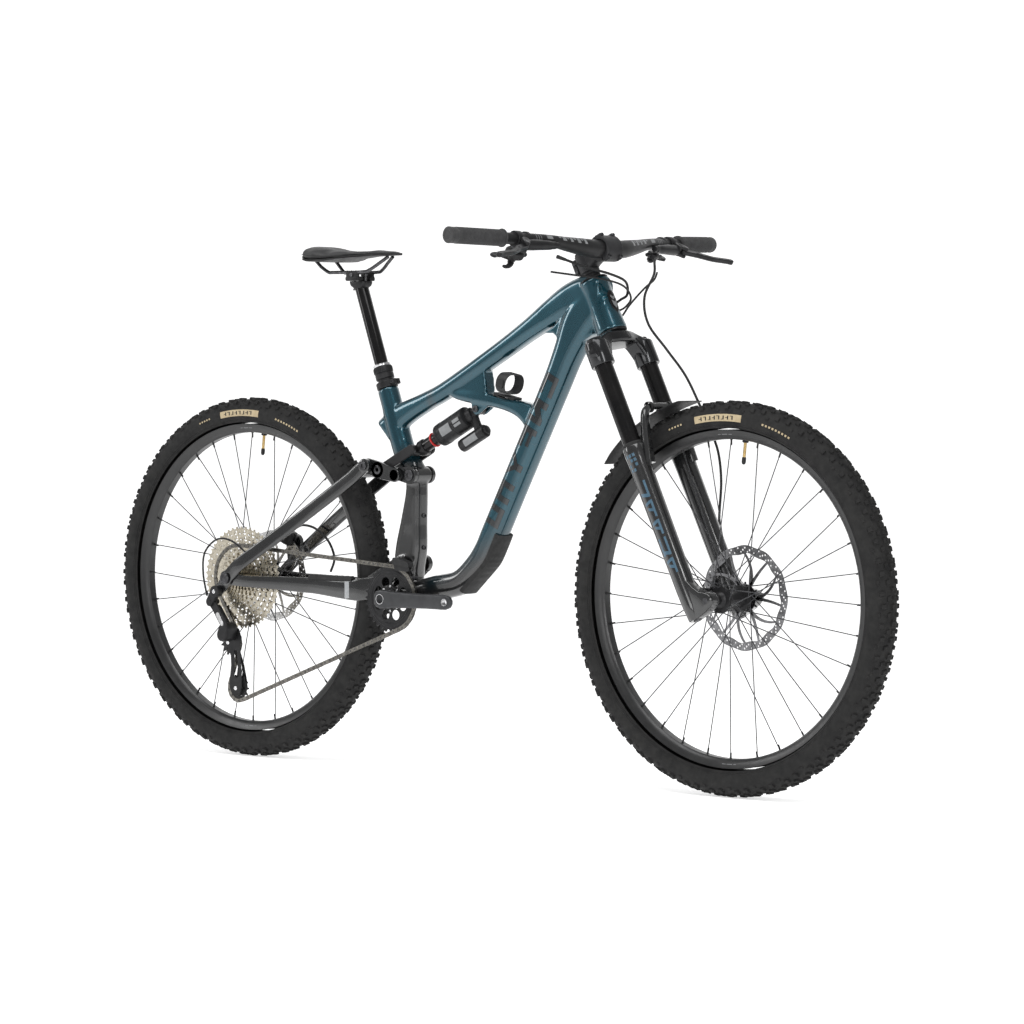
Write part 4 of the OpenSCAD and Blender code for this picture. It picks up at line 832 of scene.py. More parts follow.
def wheel(name, centre, body, rim_node, valve_deg, seed):
    m = at_axle(centre)
    b = B()
    prof = [(299.7, -8), (299.4, 0), (299.7, 8), (302.0, 11.2), (306, 14), (312, 16.6), (317.2, 17.8), (318.0, 16.6), (317.2, 15.2), (311.4, 15.1), (309.0, 9), (307.4, 0), (309.0, -9), (311.4, -15.1), (317.2, -15.2), (318.0, -16.6), (317.2, -17.8), (312, -16.6), (306, -14), (302.0, -11.2)]
    torus_lathe(b, prof, m, 180)
    b.make(name + "_rim", "rim_satin", body, [rim_node], smooth=32)
    # nipples
    q = B()
    n = 16
    for i in range(n):
        for s in (0, 1):
            a = 360 / n * i + (0 if s == 0 else 180 / n)
            y = -2.5 if s == 0 else 2.5
            mm = m @ Matrix.Rotation(-radians(a), 4, "Y")
            lathe(q, [(1.3, 288.5), (1.9, 289.2), (1.9, 298), (2.6, 299.6), (2.6, 300.4)], mm @ Matrix.Translation((0, y, 0)) @ Matrix.Rotation(0, 4, "Y"), 10, axis="x")
    q.make(name + "_nipples", "alloy_black", body, smooth=40)
    # valve: threaded stem, ring nut and cap
    mm = m @ Matrix.Rotation(-radians(valve_deg), 4, "Y")
    q = B()
    lathe(q, [(2.9, 300), (2.9, 268)], mm, 18, axis="x")
    for i in range(10):
        x = 270 + i * 2.6
        torus_lathe(q, [(2.8, x), (3.2, x + 0.6), (2.8, x + 1.2)], mm, 18, axis="x")
    q.make(name + "_valve_stem", "brass", body, smooth=40)
    q = B()
    lathe(q, [(5.6, 299), (6.0, 298.2), (6.0, 296), (5.2, 295.2)], mm, 24, axis="x")
    lathe(q, [(3.4, 268), (3.6, 267), (3.6, 257), (2.6, 254.5), (1.6, 254)], mm, 24, axis="x")
    for i in range(10):
        a = 2 * pi * i / 10
        q.add(*block(8.5, 0.7, 0.7), mm @ Matrix.Rotation(a, 4, "X") @ Matrix.Translation((262, 3.7, 0)))
    q.make(name + "_valve_cap", "plastic", body, smooth=35)
    # rim sidewall marks, generic
    q = B()
    for sy in (-1, 1):
        for base in (268, 88):
            for k, (t0, t1, lo, hi) in enumerate(((0, 1.6, 0.2, 0.8), (2.0, 4.4, 0.2, 0.42), (2.0, 4.4, 0.58, 0.8), (4.9, 6.0, 0.2, 0.8))):
                v = []
                for lift in (0.0, 0.35):
                    for t in (t0, t1):
                        for u in (lo, hi):
                            a = radians(base + t * sy * -1)
                            r = 302.4 + 9 * u
                            y = (11.4 + 5.0 * u * 0.98 + lift) * sy
                            v.append((r * cos(a), y, r * sin(a)))
                q.add(v, [(0, 1, 3, 2), (4, 6, 7, 5), (0, 4, 5, 1), (2, 3, 7, 6), (0, 2, 6, 4), (1, 5, 7, 3)], m)
    q.make(name + "_rim_marks", "decal_grey", body, smooth=30)


tyre("front_tyre_real", FA, "front_wheel", "front_tyre", 1)
tyre("rear_tyre_real", RA, "rear_wheel", "rear_tyre", 2)
wheel("front_wheel_real", FA, "front_wheel", "front_rim", 84, 1)
wheel("rear_wheel_real", RA, "rear_wheel", "rear_rim", 84, 2)


def hub(name, centre, body, node, yr, yl, ye, fr, rotor_y, drive):
    m = at_axle(centre)
    b = B()
    prof = [(6.2, -ye), (8.6, -ye), (9.6, -ye + 1.5), (9.6, yr - 9), (13, yr - 7), (15.5, yr - 3.5), (fr + 3.2, yr - 2.0), (fr + 3.6, yr - 1), (fr + 3.6, yr + 1), (fr + 3.2, yr + 2.0), (17.5, yr + 4), (14.6, yr + 12), (13.4, (yr + yl) / 2), (14.6, yl - 12), (17.5, yl - 4),
            (fr + 3.2, yl - 2.0), (fr + 3.6, yl - 1), (fr + 3.6, yl + 1), (fr + 3.2, yl + 2.0), (17, yl + 4), (16.8, rotor_y + 1.9), (12, rotor_y + 2.0), (9.6, rotor_y + 6), (9.6, ye - 1.5), (8.6, ye), (6.2, ye)]
    if drive:
        prof[3:6] = [(9.6, -70), (16.4, -70), (16.6, -69.5), (16.6, yr - 4)]
    lathe(b, prof, m, 56, caps=False)
    torus_lathe(b, [(6.2, -ye), (6.2, ye), (6.9, ye), (6.9, -ye)], m, 32)
    b.make(name, "alloy_black", body, [node], smooth=35)
    q = B()
    torus_lathe(q, [(9.7, rotor_y + 1.95), (16.4, rotor_y + 1.95), (17.6, rotor_y + 2.6), (17.6, rotor_y + 4.4), (16.6, rotor_y + 5.4), (9.7, rotor_y + 5.4)], m, 40)
    for i in range(16):
        a = 2 * pi * i / 16
        q.add(*block(1.8, 3.2, 2.2), m @ Matrix.Rotation(a, 4, "Y") @ Matrix.Translation((17.6, rotor_y + 3.6, 0)))
    q.make(name + "_lockring", "steel_dark", body, smooth=35)


hub("front_hub_shell", FA, "front_wheel", "front_hub", -35, 25, 54.9, 22, 40, False)
hub("rear_hub_shell", RA, "rear_wheel", "rear_hub", -22, 36, 73.9, 26, 57, True)


def rotor(name, centre, body, node, y, R, mat, spider):
    m = at_axle(centre)
    n = 6 if R > 98 else 6
    # braking ring: wavy outside and inside, with rows of holes
    outer, inner = [], []
    K = 240
    for i in range(K):
        a = 2 * pi * i / K
        outer.append(((R - 1.0 + 1.0 * cos(a * 12)) * cos(a), (R - 1.0 + 1.0 * cos(a * 12)) * sin(a)))
        inner.append(((R - 16.5 + 1.7 * cos(a * 12 + 1.2)) * cos(a), (R - 16.5 + 1.7 * cos(a * 12 + 1.2)) * sin(a)))
    holes = [inner]
    for i in range(36):
        a = 2 * pi * i / 36
        for k, (rr, hr) in enumerate(((R - 5.0, 2.0), (R - 8.8, 2.1), (R - 12.4, 1.8))):
            aa = a + (k * 0.052)
            if (i + k) % 3 == 2 and k == 1:
                continue
            holes.append(circle((rr * cos(aa), rr * sin(aa)), hr, 9))
    b = B()
    prism_holes(b, outer, holes, y - 0.9, y + 0.9, m)
    # swept arms from the centre ring
    for i in range(n):
        a0 = 2 * pi * i / n
        for w, sweep in ((5.0, 0.50), (4.4, -0.12)):
            pts_o, pts_i = [], []
            for k in range(15):
                t = k / 14
                r = 24 + (R - 16.0 - 24 + 2.4) * t
                a = a0 + sweep * (t ** 1.15) * 1.1
                da = (w / 2 + 1.2 * (1 - t)) / r
                pts_o.append((r * cos(a + da), r * sin(a + da)))
                pts_i.append((r * cos(a - da), r * sin(a - da)))
            prism(b, pts_o + pts_i[::-1], y - 0.82, y + 0.82, m)
    prism_holes(b, circle((0, 0), 27, 64), [circle((0, 0), 17.15, 48)] + [circle((22.3 * cos(2 * pi * (i + 0.5) / 12), 22.3 * sin(2 * pi * (i + 0.5) / 12)), 2.2, 10) for i in range(12)], y - 0.9, y + 0.9, m)
    b.make(name, mat, body, [node], smooth=30)
    if spider:
        q = B()
        prism_holes(q, circle((0, 0), 25.2, 48), [circle((0, 0), 17.3, 48)], y + 0.9, y + 2.6, m)
        for i in range(n):
            a = 2 * pi * (i + 0.5) / n
            prism(q, [(22 * cos(a - 0.12), 22 * sin(a - 0.12)), (31 * cos(a - 0.05), 31 * sin(a - 0.05)), (31 * cos(a + 0.05), 31 * sin(a + 0.05)), (22 * cos(a + 0.12), 22 * sin(a + 0.12))], y + 0.9, y + 2.4, m)
        q.make(name + "_carrier", "alloy_black", body, smooth=30)


rotor("front_rotor_disc", FA, "front_wheel", "front_brake_rotor", 40, 100, "rotor_dark", True)
rotor("rear_rotor_disc", RA, "rear_wheel", "rear_brake_rotor", 57, 95, "steel", False)

# ---------------------------------------------------------------- fork
def fork():
    # crown and steerer: forged bridge with soft shoulders
    b = B()
    lathe(b, [(11.5, 559), (14.3, 559), (14.3, 741.5), (11.5, 741.5)], STEER, 40, axis="z", caps=False)
    lathe(b, [(14.3, 571), (21.5, 571.4), (21.5, 575), (19.8, 576.6), (19.8, 588), (14.3, 592)], STEER, 48, axis="z", caps=False)
    b.make("fork_steerer", "crown", "steering", smooth=35)
    c = B()
    rings = []
    for i in range(41):
        t = -1 + 2 * i / 40
        y = 93 * t
        a = abs(y)
        # outline of the crown across the bike: low in the middle, shoulders round the legs
        top = 571.5 - 14 * min(1, max(0, (a - 34) / 34)) ** 1.2 - (26 if a > 90.5 else 0) * (a - 90.5) / 2.5
        bot = 547 - 38 * min(1, max(0, (a - 36) / 18)) ** 1.4 + (16 if a > 90.5 else 0) * (a - 90.5) / 2.5
        half = 22 + 5 * cos(pi * min(a / 50, 1)) - 6 * max(0, (a - 78) / 15) ** 1.6 * 1.6
        half = max(half, 6)
        cx = 3 * min(1, a / 60) + 1.0
        rings.append([Vector((cx + u, y, (top + bot) / 2 + w)) for u, w in rrect(2 * half, top - bot, 9, 5)])
    loft(c, rings, STEER)
    for sy in (-1, 1):
        lathe(c, [(17.6, 503.5), (22.2, 503.5), (23.2, 505), (23.2, 548), (22.0, 551), (17.6, 551.5)], STEER @ Matrix.Translation((3, 69 * sy, 0)), 48, axis="z", caps=False)
    ob = c.make("fork_crown", "crown", "steering", ["fork_crown_steerer"], smooth=45)
    # stanchions with their top caps
    q = B()
    for sy in (-1, 1):
        mm = STEER @ Matrix.Translation((3, 69 * sy, 0))
        lathe(q, [(15.5, 175), (17.5, 175), (17.5, 546.4), (15.5, 546.4)], mm, 64, axis="z", caps=False)
    q.make("fork_stanchion_tubes", "stanchion", "steering", ["fork_stanchions"], smooth=35)
    q = B()
    for sy in (-1, 1):
        mm = STEER @ Matrix.Translation((3, 69 * sy, 0))
        lathe(q, [(17.4, 551.6), (17.4, 553.4), (15.6, 555.4), (15.2, 558.8), (13.6, 559.6), (7, 559.6), (6.4, 557.6), (0.01, 557.6)], mm, 48, axis="z", caps=False)
        for i in range(8):
            a = 2 * pi * i / 8
            q.add(*block(3.0, 5.2, 1.4), mm @ Matrix.Rotation(a, 4, "Z") @ Matrix.Translation((10.5, 0, 559.4)))
    q.make("fork_top_caps", "alloy_black", "steering", smooth=35)
    # lowers: cast legs that swell at the seal and narrow at the foot, with an arch in front
    b = B()
    for sy in (-1, 1):
        mm = STEER @ Matrix.Translation((3, 69 * sy, 0))
        prof = [(17.9, 333.9), (21.2, 333.9), (22.0, 332), (22.2, 318), (21.6, 306), (21.0, 286), (20.6, 240), (20.2, 160), (19.8, 80), (19.6, 40), (18.6, 8), (16.5, -16), (13.5, -21.6), (0.01, -22)]
        lathe(b, prof, mm, 56, axis="z", caps=False)
        torus_lathe(b, [(17.95, 333.8), (17.95, 330), (21.5, 330), (21.5, 333.8)], mm, 56, axis="z")
    legs = b.make("fork_legs", "fork_gloss", "fork_slider", ["fork_lowers"], smooth=40)
    # dropout castings
    b = B()
    for sy in (-1, 1):
        out = [(-10, -21), (14, -22), (34, -19), (50, -14), (57, -7), (59, 0), (56, 9), (49, 16), (38, 22), (26, 38), (18, 56), (6, 70), (-8, 72), (-14, 30)]
        y0, y1 = (55.4, 83.0)
        rings = []
        for k, (yy, sc) in enumerate(((y0, 0.90), (y0 + 2.5, 1.0), (y1 - 5, 1.0), (y1 - 1.2, 0.93), (y1, 0.84))):
            cx, cz = 22, 12
            rings.append([(cx + (x - cx) * sc, yy * sy, cz + (z - cz) * sc) for x, z in out])
        loft(b, rings, STEER)
    b.make("fork_feet", "fork_gloss", "fork_slider", smooth=50, bevel=1.6, bseg=3)
    # arch: two risers and a brace
    b = B()
    for sy in (-1, 1):
        st = [(22, 66 * sy, 292, 19, 30), (27, 63 * sy, 316, 18, 26), (33, 58 * sy, 348, 17, 22), (39, 52 * sy, 378, 16, 20), (41, 44 * sy, 392, 15, 19), (41, 30 * sy, 399, 14, 18), (41, 14 * sy, 400.5, 13, 17), (41, 0, 401, 13, 17)]
        P_ = [S(f, y, s) for f, y, s, _, _ in st]
        pts = spline(P_, 5)
        rings = []
        for i, p in enumerate(pts):
            k = min(i / 5, len(st) - 1.001)
            j = int(k)
            fr = k - j
            wd = st[j][3] * (1 - fr) + st[min(j + 1, len(st) - 1)][3] * fr
            dp = st[j][4] * (1 - fr) + st[min(j + 1, len(st) - 1)][4] * fr
            t = (pts[min(i + 1, len(pts) - 1)] - pts[max(i - 1, 0)]).normalized()
            fwd_ = Vector((cos(LEAN), 0, sin(LEAN)))
            fwd_ = (fwd_ - t * fwd_.dot(t)).normalized()
            side = t.cross(fwd_)
            rings.append([p + side * u + fwd_ * w for u, w in rrect(wd, dp * 0.72, 5, 3)])
        loft(b, rings)
    b.make("fork_arch", "fork_gloss", "fork_slider", smooth=45)
    # calliper mount ears
    b = B()
    prism(b, [(-4, 14), (-40, 20), (-58, 24), (-63, 34), (-62, 44), (-54, 52), (-40, 60), (-4, 84)], 53.5, 60, STEER)
    b.make("fork_brake_mount", "fork_gloss", "fork_slider", smooth=30, bevel=1.2, bseg=3)
    # seals
    q = B()
    for sy in (-1, 1):
        mm = STEER @ Matrix.Translation((3, 69 * sy, 0))
        torus_lathe(q, [(17.85, 334.2), (21.4, 334.2), (21.2, 335.4), (19.6, 336.0), (19.9, 338.6), (18.6, 340.9), (17.85, 340.9)], mm, 56, axis="z")
    q.make("fork_wiper_seals", "rubber", "fork_slider", ["fork_dust_seals"], smooth=35)
    # axle with a capped end, and foot bolts
    q = B()
    mm = STEER @ Matrix.Translation((44, 0, 0))
    lathe(q, [(6, -83.1), (6, 83.9)], mm, 32)
    lathe(q, [(6, 83.2), (9.4, 83.2), (9.8, 84), (9.8, 87.2), (8.8, 88), (4.4, 88), (3.8, 86), (0.01, 86)], mm, 32, caps=False)
    q.make("front_axle_bolt", "steel_dark", "fork_slider", ["front_axle"], smooth=35)
    q = B()
    for sy in (-1, 1):
        lathe(q, [(8, -21.5), (8, -23.0), (6.8, -23.9), (3.4, -23.9), (3.0, -22.4), (0.01, -22.4)], STEER @ Matrix.Translation((3, 69 * sy, 0)), 28, axis="z", caps=False)
    q.make("fork_foot_bolts", "steel_dark", "fork_slider", smooth=35)
    # generic stripes and blocks down the outside of each leg
    d = B()
    def leg_patch(ang0, ang1, s0, s1, sy, mi=0, slant=0.0):
        v = []
        K = 8
        for L in (0, 1):
            for i in range(K + 1):
                a = radians(ang0 + (ang1 - ang0) * i / K)
                for s in (s0, s1):
                    ss = s + slant * (i / K)
                    base = 20.2 + (ss - 160) / 80 * 0.4 if ss < 240 else 20.6 + (ss - 240) / 46 * 0.4
                    if ss > 286: base = 21.0 + (ss - 286) / 20 * 0.6
                    if ss > 306: base = 21.6 + (ss - 306) / 12 * 0.6
                    r = base + (0.35 if L else 0.0)
                    v.append((r * cos(a), r * sin(a) * sy, ss))
        q_ = (K + 1) * 2
        f = []
        for i in range(K):
            a = 2 * i
            f += [(a, a + 2, a + 3, a + 1), (q_ + a, q_ + a + 1, q_ + a + 3, q_ + a + 2), (a, q_ + a, q_ + a + 2, a + 2), (a + 1, a + 3, q_ + a + 3, q_ + a + 1)]
        f += [(0, 1, q_ + 1, q_), (q_ - 2, 2 * q_ - 2, 2 * q_ - 1, q_ - 1)]
        d.add(v, f, STEER @ Matrix.Translation((3, 69 * sy, 0)), mi)
    for sy in (-1, 1):
        # angles: 90 is outboard, 0 is forward
        for r_ in range(4):
            for c_ in range(3):
                if (r_ + c_) % 4 != 3:
                    leg_patch(62 + c_ * 20, 76 + c_ * 20, 318 - r_ * 9.5, 312 - r_ * 9.5, sy)
        s = 262
        for k, (h, kind) in enumerate(((34, 0), (34, 1), (30, 2), (36, 3), (30, 1))):
            leg_patch(60, 72, s, s - h, sy)
            if kind in (0, 3):
                leg_patch(72, 112, s - h + 7, s - h, sy, 0, 5)
            if kind in (1, 2):
                leg_patch(72, 108, s, s - 6, sy, 0, -4)
                leg_patch(72, 100, s - h * 0.5, s - h * 0.5 - 6, sy, 0, 4)
            if kind == 3:
                leg_patch(98, 112, s, s - h, sy)
            s -= h + 6
    d.make("fork_stripes", "decal_blue", "fork_slider", smooth=45)


fork()


def fender():
    """A short moulded guard over the tyre: a deep plate in front of the arch and a tail behind the legs."""
    b = B()
    st = [  # (angle about the axle from the steering axis, negative behind; half width; lift of the middle)
        (-24, 20, 0.3), (-20, 25, 0.5), (-14, 28.5, 0.7), (-8, 31, 0.8), (-2, 32, 0.8), (2, 33.5, 0.8), (6, 35.5, 0.8), (9, 36.5, 0.6), (10.4, 36.5, 0.4)]
    rings = []
    m_ = STEER @ Matrix.Translation((44, 0, 0))
    for i in range(len(st) - 1):
        for j in range(4):
            t = j / 4
            a, w, l = (st[i][k] * (1 - t) + st[i + 1][k] * t for k in range(3))
            rings.append((a, w, l))
    rings.append(st[-1])
    R0 = []
    for a, w, l in rings:
        ring = []
        for sgn, hh in ((1, 1.9), (-1, 0.0)):
            for k in range(13):
                u = (-1 + k / 6) * sgn
                y = w * u
                r = 382.6 + hh * 0.9 + 0.4 * l * (1 - u * u)
                ring.append((-r * sin(radians(-a)), y, r * cos(radians(-a))))
        R0.append(ring)
    loft(b, R0, m_)
    # raised ridge and the folded front lip beside the arch
    for sy in (-1, 1):
        pts = []
        for a in range(-22, 10, 2):
            w = 17 if a < -16 else 24
            pts.append(m_ @ Vector((-384.0 * sin(radians(-a)), w * sy, 384.0 * cos(radians(-a)))))
        tube(b, pts, 0.9, 8)
    b.make("fender_shell", "plastic", "fork_slider", ["front_fender"], smooth=40)
    # straps that hold it to the arch
    q = B()
    for sy in (-1, 1):
        c = S(41, 30 * sy, 399)
        pts = []
        for k in range(25):
            a = 2 * pi * k / 24
            pts.append(c + Vector((cos(LEAN), 0, sin(LEAN))) * (9.0 * cos(a)) + Vector((-sin(LEAN), 0, cos(LEAN))) * (10.0 * sin(a)))
        rr = []
        for k in range(24):
            p, ctr = pts[k], c
            o = (p - ctr).normalized()
            rr.append([p - o * 0.7 + Vector((0, -4, 0)), p + o * 0.7 + Vector((0, -4, 0)), p + o * 0.7 + Vector((0, 4, 0)), p - o * 0.7 + Vector((0, 4, 0))])
        loft(q, rr, closed=True, caps=False)
    q.make("fender_straps", "plastic", "fork_slider", smooth=40)


fender()


def calliper(name, base_m, y, R, body, node, hose_end=None):
    """A two-piece brake calliper straddling the disc; base_m maps its x axis outwards along the disc's radius."""
    b = B()
    for s in (-1, 1):
        outl = [(R - 15, -20), (R - 4, -22), (R + 9, -21), (R + 12.5, -14), (R + 12.5, 14), (R + 9, 21), (R - 4, 22), (R - 15, 20), (R - 17, 8), (R - 17, -8)]
        rings = []
        for yy, sc in ((2.3, 1.0), (7.5, 1.0), (10.8, 0.94), (12.9, 0.80)):
            cx = R - 2
            rings.append([(cx + (px - cx) * sc, y + s * yy, pz * sc) for px, pz in outl])
        loft(b, rings, base_m)
        lathe(b, [(0.01, 12.4), (8.6, 12.4), (9.2, 11.6), (9.2, 9)], base_m @ Matrix.Translation((R - 5, y, 0)) @ (Matrix.Diagonal((1, s, 1, 1))), 32, caps=False)
    prism(b, [(R + 3, -20), (R + 12.6, -15), (R + 12.6, 15), (R + 3, 20)], y - 11, y + 11, base_m)
    b.make(name + "_body", "alloy_black", body, [node], smooth=38, bevel=0.8)
    q = B()
    for z in (-16, 16):
        bolt(q, base_m @ Matrix.Translation((R + 5, y + 11.8, z)) @ Matrix.Diagonal((1, -1, 1, 1)), 3.6, 2.8)
    q.make(name + "_bolts", "steel_dark", body, smooth=35)
    # pads between the halves, finned plate outside
    q = B()
    for s in (-1, 1):
        q.add(*block(14, 1.1, 30), base_m @ Matrix.Translation((R - 8, y + s * 1.65, 0)))
    for i in range(5):
        q.add(*block(6.0, 3.6, 1.4), base_m @ Matrix.Translation((R + 10.0, y, -8 + i * 4)))
    q.make(name + "_pads", "steel", body, smooth=30, bevel=0.25)


calliper("front_calliper", STEER @ Matrix.Translation((44, 0, 0)) @ Matrix.Rotation(radians(202), 4, "Y"), 40, 100, "fork_slider", "front_brake_caliper")
calliper("rear_calliper", at_axle(RA) @ Matrix.Rotation(radians(-64), 4, "Y"), 57, 95, "seatstay", "rear_brake_caliper")

# ---------------------------------------------------------------- cockpit
HB = [(54, 0, 727.5), (54, 46, 727.5), (49, 105, 737), (42.5, 160, 747.5), (30, 262, 755.6), (14.2, 388.5, 766.4)]
BAR_W = 390.0


def bar_dir():
    return (Vector(HB[5]) - Vector(HB[4])).normalized()


def hb(y):
    d = bar_dir()
    return Vector(HB[4]) + d * ((y - 262) / d.y)


def bar_frame(y, side=1):
    """Local y runs outwards along the bar at the given distance from the middle; x and z square to it."""
    d = bar_dir()
    p = hb(y)
    d = Vector((d.x, d.y * side, d.z))
    p = Vector((p.x, p.y * side, p.z))
    x = Vector((1, 0, 0))
    x = (x - d * x.dot(d)).normalized()
    z = x.cross(d)
    return STEER @ Matrix(((x.x, d.x, z.x, p.x), (x.y, d.y, z.y, p.y), (x.z, d.z, z.z, p.z), (0, 0, 0, 1)))


def cockpit():
    # bar, one swept tube
    ys = [-1, 1]
    P = []
    for f, y, s in reversed(HB[1:]):
        P.append((f, -y, s))
    P += HB
    pts = spline(P, 8)
    b = B()

    def rad(p):
        a = abs(p.y)
        if a < 44:
            return 17.4
        if a < 160:
            t = (a - 44) / 116
            return 17.4 - 6.3 * t * t * (3 - 2 * t)
        return 11.1
    rings, up = [], None
    k = len(pts)
    for i, p in enumerate(pts):
        t = (pts[min(i + 1, k - 1)] - pts[max(i - 1, 0)]).normalized()
        up = Vector((1, 0, 0)) if up is None else up
        up = (up - t * up.dot(t)).normalized()
        w = t.cross(up)
        rings.append([p + rad(p) * (cos(2 * pi * j / 36) * up + sin(2 * pi * j / 36) * w) for j in range(36)])
    loft(b, rings, STEER)
    b.make("handlebar_tube", "bar_black", "steering", ["handlebar"], smooth=45)
    # generic blocks on the bar's front faces
    q = B()

    def band_patch(y0, y1, a0, a1, side, steps=6):
        v, f = [], []
        for L in (0, 1):
            for i in range(steps + 1):
                y = y0 + (y1 - y0) * i / steps
                best = min(range(k), key=lambda j: abs(pts[j].y * side - y))
                j0 = best if pts[best].y * side <= y else best - side
                j1 = j0 + side
                A, C = pts[j0], pts[j1]
                t = (y - A.y * side) / ((C.y - A.y) * side)
                p = A.lerp(C, t)
                for m_ in range(5):
                    a = radians(a0 + (a1 - a0) * m_ / 4)
                    r = rad(p) + (0.3 if L else 0.0)
                    v.append(p + Vector((cos(a), 0, sin(a))) * r)
        n5 = 5
        Q = (steps + 1) * n5
        for i in range(steps):
            for m_ in range(4):
                a = i * n5 + m_
                f += [(a, a + 1, a + 1 + n5, a + n5), (Q + a, Q + a + n5, Q + a + 1 + n5, Q + a + 1)]
        q.add(v, f, STEER)
    for side in (-1, 1):
        y = 70
        for k_, w in enumerate((6, 3, 7, 4, 6, 3, 8, 5)):
            band_patch(y, y + w, 12 if k_ % 2 else -8, 40, side, 2)
            y += w + 3.2
        band_patch(150, 164, -12, 30, side, 3)
        for y in (178, 184, 190):
            band_patch(y, y + 1.3, -30, 60, side, 1)
    q.make("handlebar_marks", "decal_grey", "steering", smooth=50)
    # grips: flange, ribs, and a closed end
    g = B()
    for side in (-1, 1):
        for y0, y1, kind in ((266, 269, "flange"), (269, 394, "ribs"), (394, 399.6, "end")):
            mm = bar_frame(y0, side)
            L = (y1 - y0) * 1.006
            if kind == "flange":
                torus_lathe(g, [(11.3, 0), (17.0, 0), (17.6, 0.8), (17.6, L - 0.8), (16.2, L), (11.3, L)], mm, 48)
            elif kind == "ribs":
                prof = [(11.3, 0), (15.0, 0)]
                h = 1.2
                while h < L - 14:
                    prof += [(15.0, h), (15.9, h + 0.5), (15.9, h + 2.0), (15.0, h + 2.5)]
                    h += 3.4
                prof += [(15.4, L - 12), (15.4, L), (11.3, L)]
                torus_lathe(g, prof, mm, 64)
                # flats of raised diamonds under the palm
                for i in range(16):
                    for j in range(5):
                        a = radians(150 + j * 16 + (8 if i % 2 else 0))
                        g.add(*block(0.9, 4.2, 2.8), mm @ Matrix.Rotation(-a, 4, "Y") @ Matrix.Translation((15.9, 12 + i * 6.2, 0)))
            else:
                lathe(g, [(11.3, 0), (15.4, 0), (15.8, 1), (15.6, 3.6), (14.2, 5.0), (10, 5.4), (9, 4.6), (0.01, 4.4)], mm, 48, caps=False)
    g.make("grip_sleeves", "grip", "steering", ["grips"], smooth=28)
    # stem: body, clamp faceplate with bolts
    b = B()
    torus_lathe(b, [(14.4, 703.2), (18.2, 703.2), (19.3, 704.2), (19.3, 740.8), (18.2, 742), (14.4, 742)], STEER, 64, axis="z")
    rings = []
    for i in range(13):
        t = i / 12
        f = 12 + 32 * t
        wd = 37 - 5 * sin(pi * t) + (6 * t)
        ht = 33 - 5 * sin(pi * t * 0.9)
        zc = 722.5 + 4.5 * t
        rings.append([(f, u, zc + w) for u, w in rrect(wd, ht, 11, 6)])
    loft(b, rings, STEER)
    # clamp half
    rings = []
    for y, o in ((-23.6, -1.2), (-22.4, 0), (22.4, 0), (23.6, -1.2)):
        ring = []
        for i in range(29):
            a = radians(90 + 180 * i / 28)
            ring.append((54 + (21.2 + o) * cos(a), y, 727.5 + (25.5 + o) * sin(a)))
        for i in range(29):
            a = radians(270 - 180 * i / 28)
            ring.append((54 + 17.7 * cos(a), y, 727.5 + 17.7 * sin(a)))
        rings.append(ring)
    loft(b, rings, STEER)
    b.make("stem_body", "alloy_satin", "steering", ["stem"], smooth=38, bevel=0.5)
    b = B()
    rings = []
    for y, o in ((-23.6, -1.2), (-22.4, 0), (22.4, 0), (23.6, -1.2)):
        ring = []
        for i in range(29):
            a = radians(-88 + 176 * i / 28)
            ring.append((55.2 + (22 + o) * cos(a) * (0.98 if abs(i - 14) > 10 else 1.0), y, 727.5 + (26.5 + o) * sin(a)))
        for i in range(29):
            a = radians(88 - 176 * i / 28)
            ring.append((55.2 + 17.8 * cos(a), y, 727.5 + 17.8 * sin(a)))
        rings.append(ring)
    loft(b, rings, STEER)
    for sy in (-1, 1):
        for z in (704.6, 750.4):
            lathe(b, [(0.01, 56.6), (4.9, 56.6), (4.9, 67.0), (4.0, 68.0), (0.01, 68.0)], STEER @ Matrix.Translation((0, 17 * sy, z)), 24, axis="x", caps=False)
    b.make("stem_faceplate", "alloy_satin", "steering", smooth=38, bevel=0.5)
    q = B()
    for sy in (-1, 1):
        for z in (704.6, 750.4):
            mm = STEER @ Matrix.Translation((68.0, 17 * sy, z)) @ Matrix.Rotation(radians(90), 4, "Z")
            bolt(q, mm, 3.7, 3.0)
    for z in (713, 731):
        bolt(q, STEER @ Matrix.Translation((-21, 12.4, z)) @ Matrix.Diagonal((1, -1, 1, 1)), 3.6, 3.2)
        lathe(q, [(0.01, -12.4), (3.4, -12.4), (3.4, -14), (0.01, -14)], STEER @ Matrix.Translation((-21, 0, z)), 20, caps=False)
    q.make("stem_bolts", "steel_dark", "steering", smooth=35)
    b = B()
    for sy in (-1, 1):
        rings = []
        for y in (2.0 * sy, 11.8 * sy):
            rings.append([(f, y, s) for f, s in ((-17, 706.5), (-24.6, 707.2), (-26.6, 709.5), (-26.6, 736), (-24.6, 738.4), (-17, 739))])
        loft(b, rings, STEER)
    b.make("stem_clamp_ears", "alloy_satin", "steering", smooth=30, bevel=0.8)
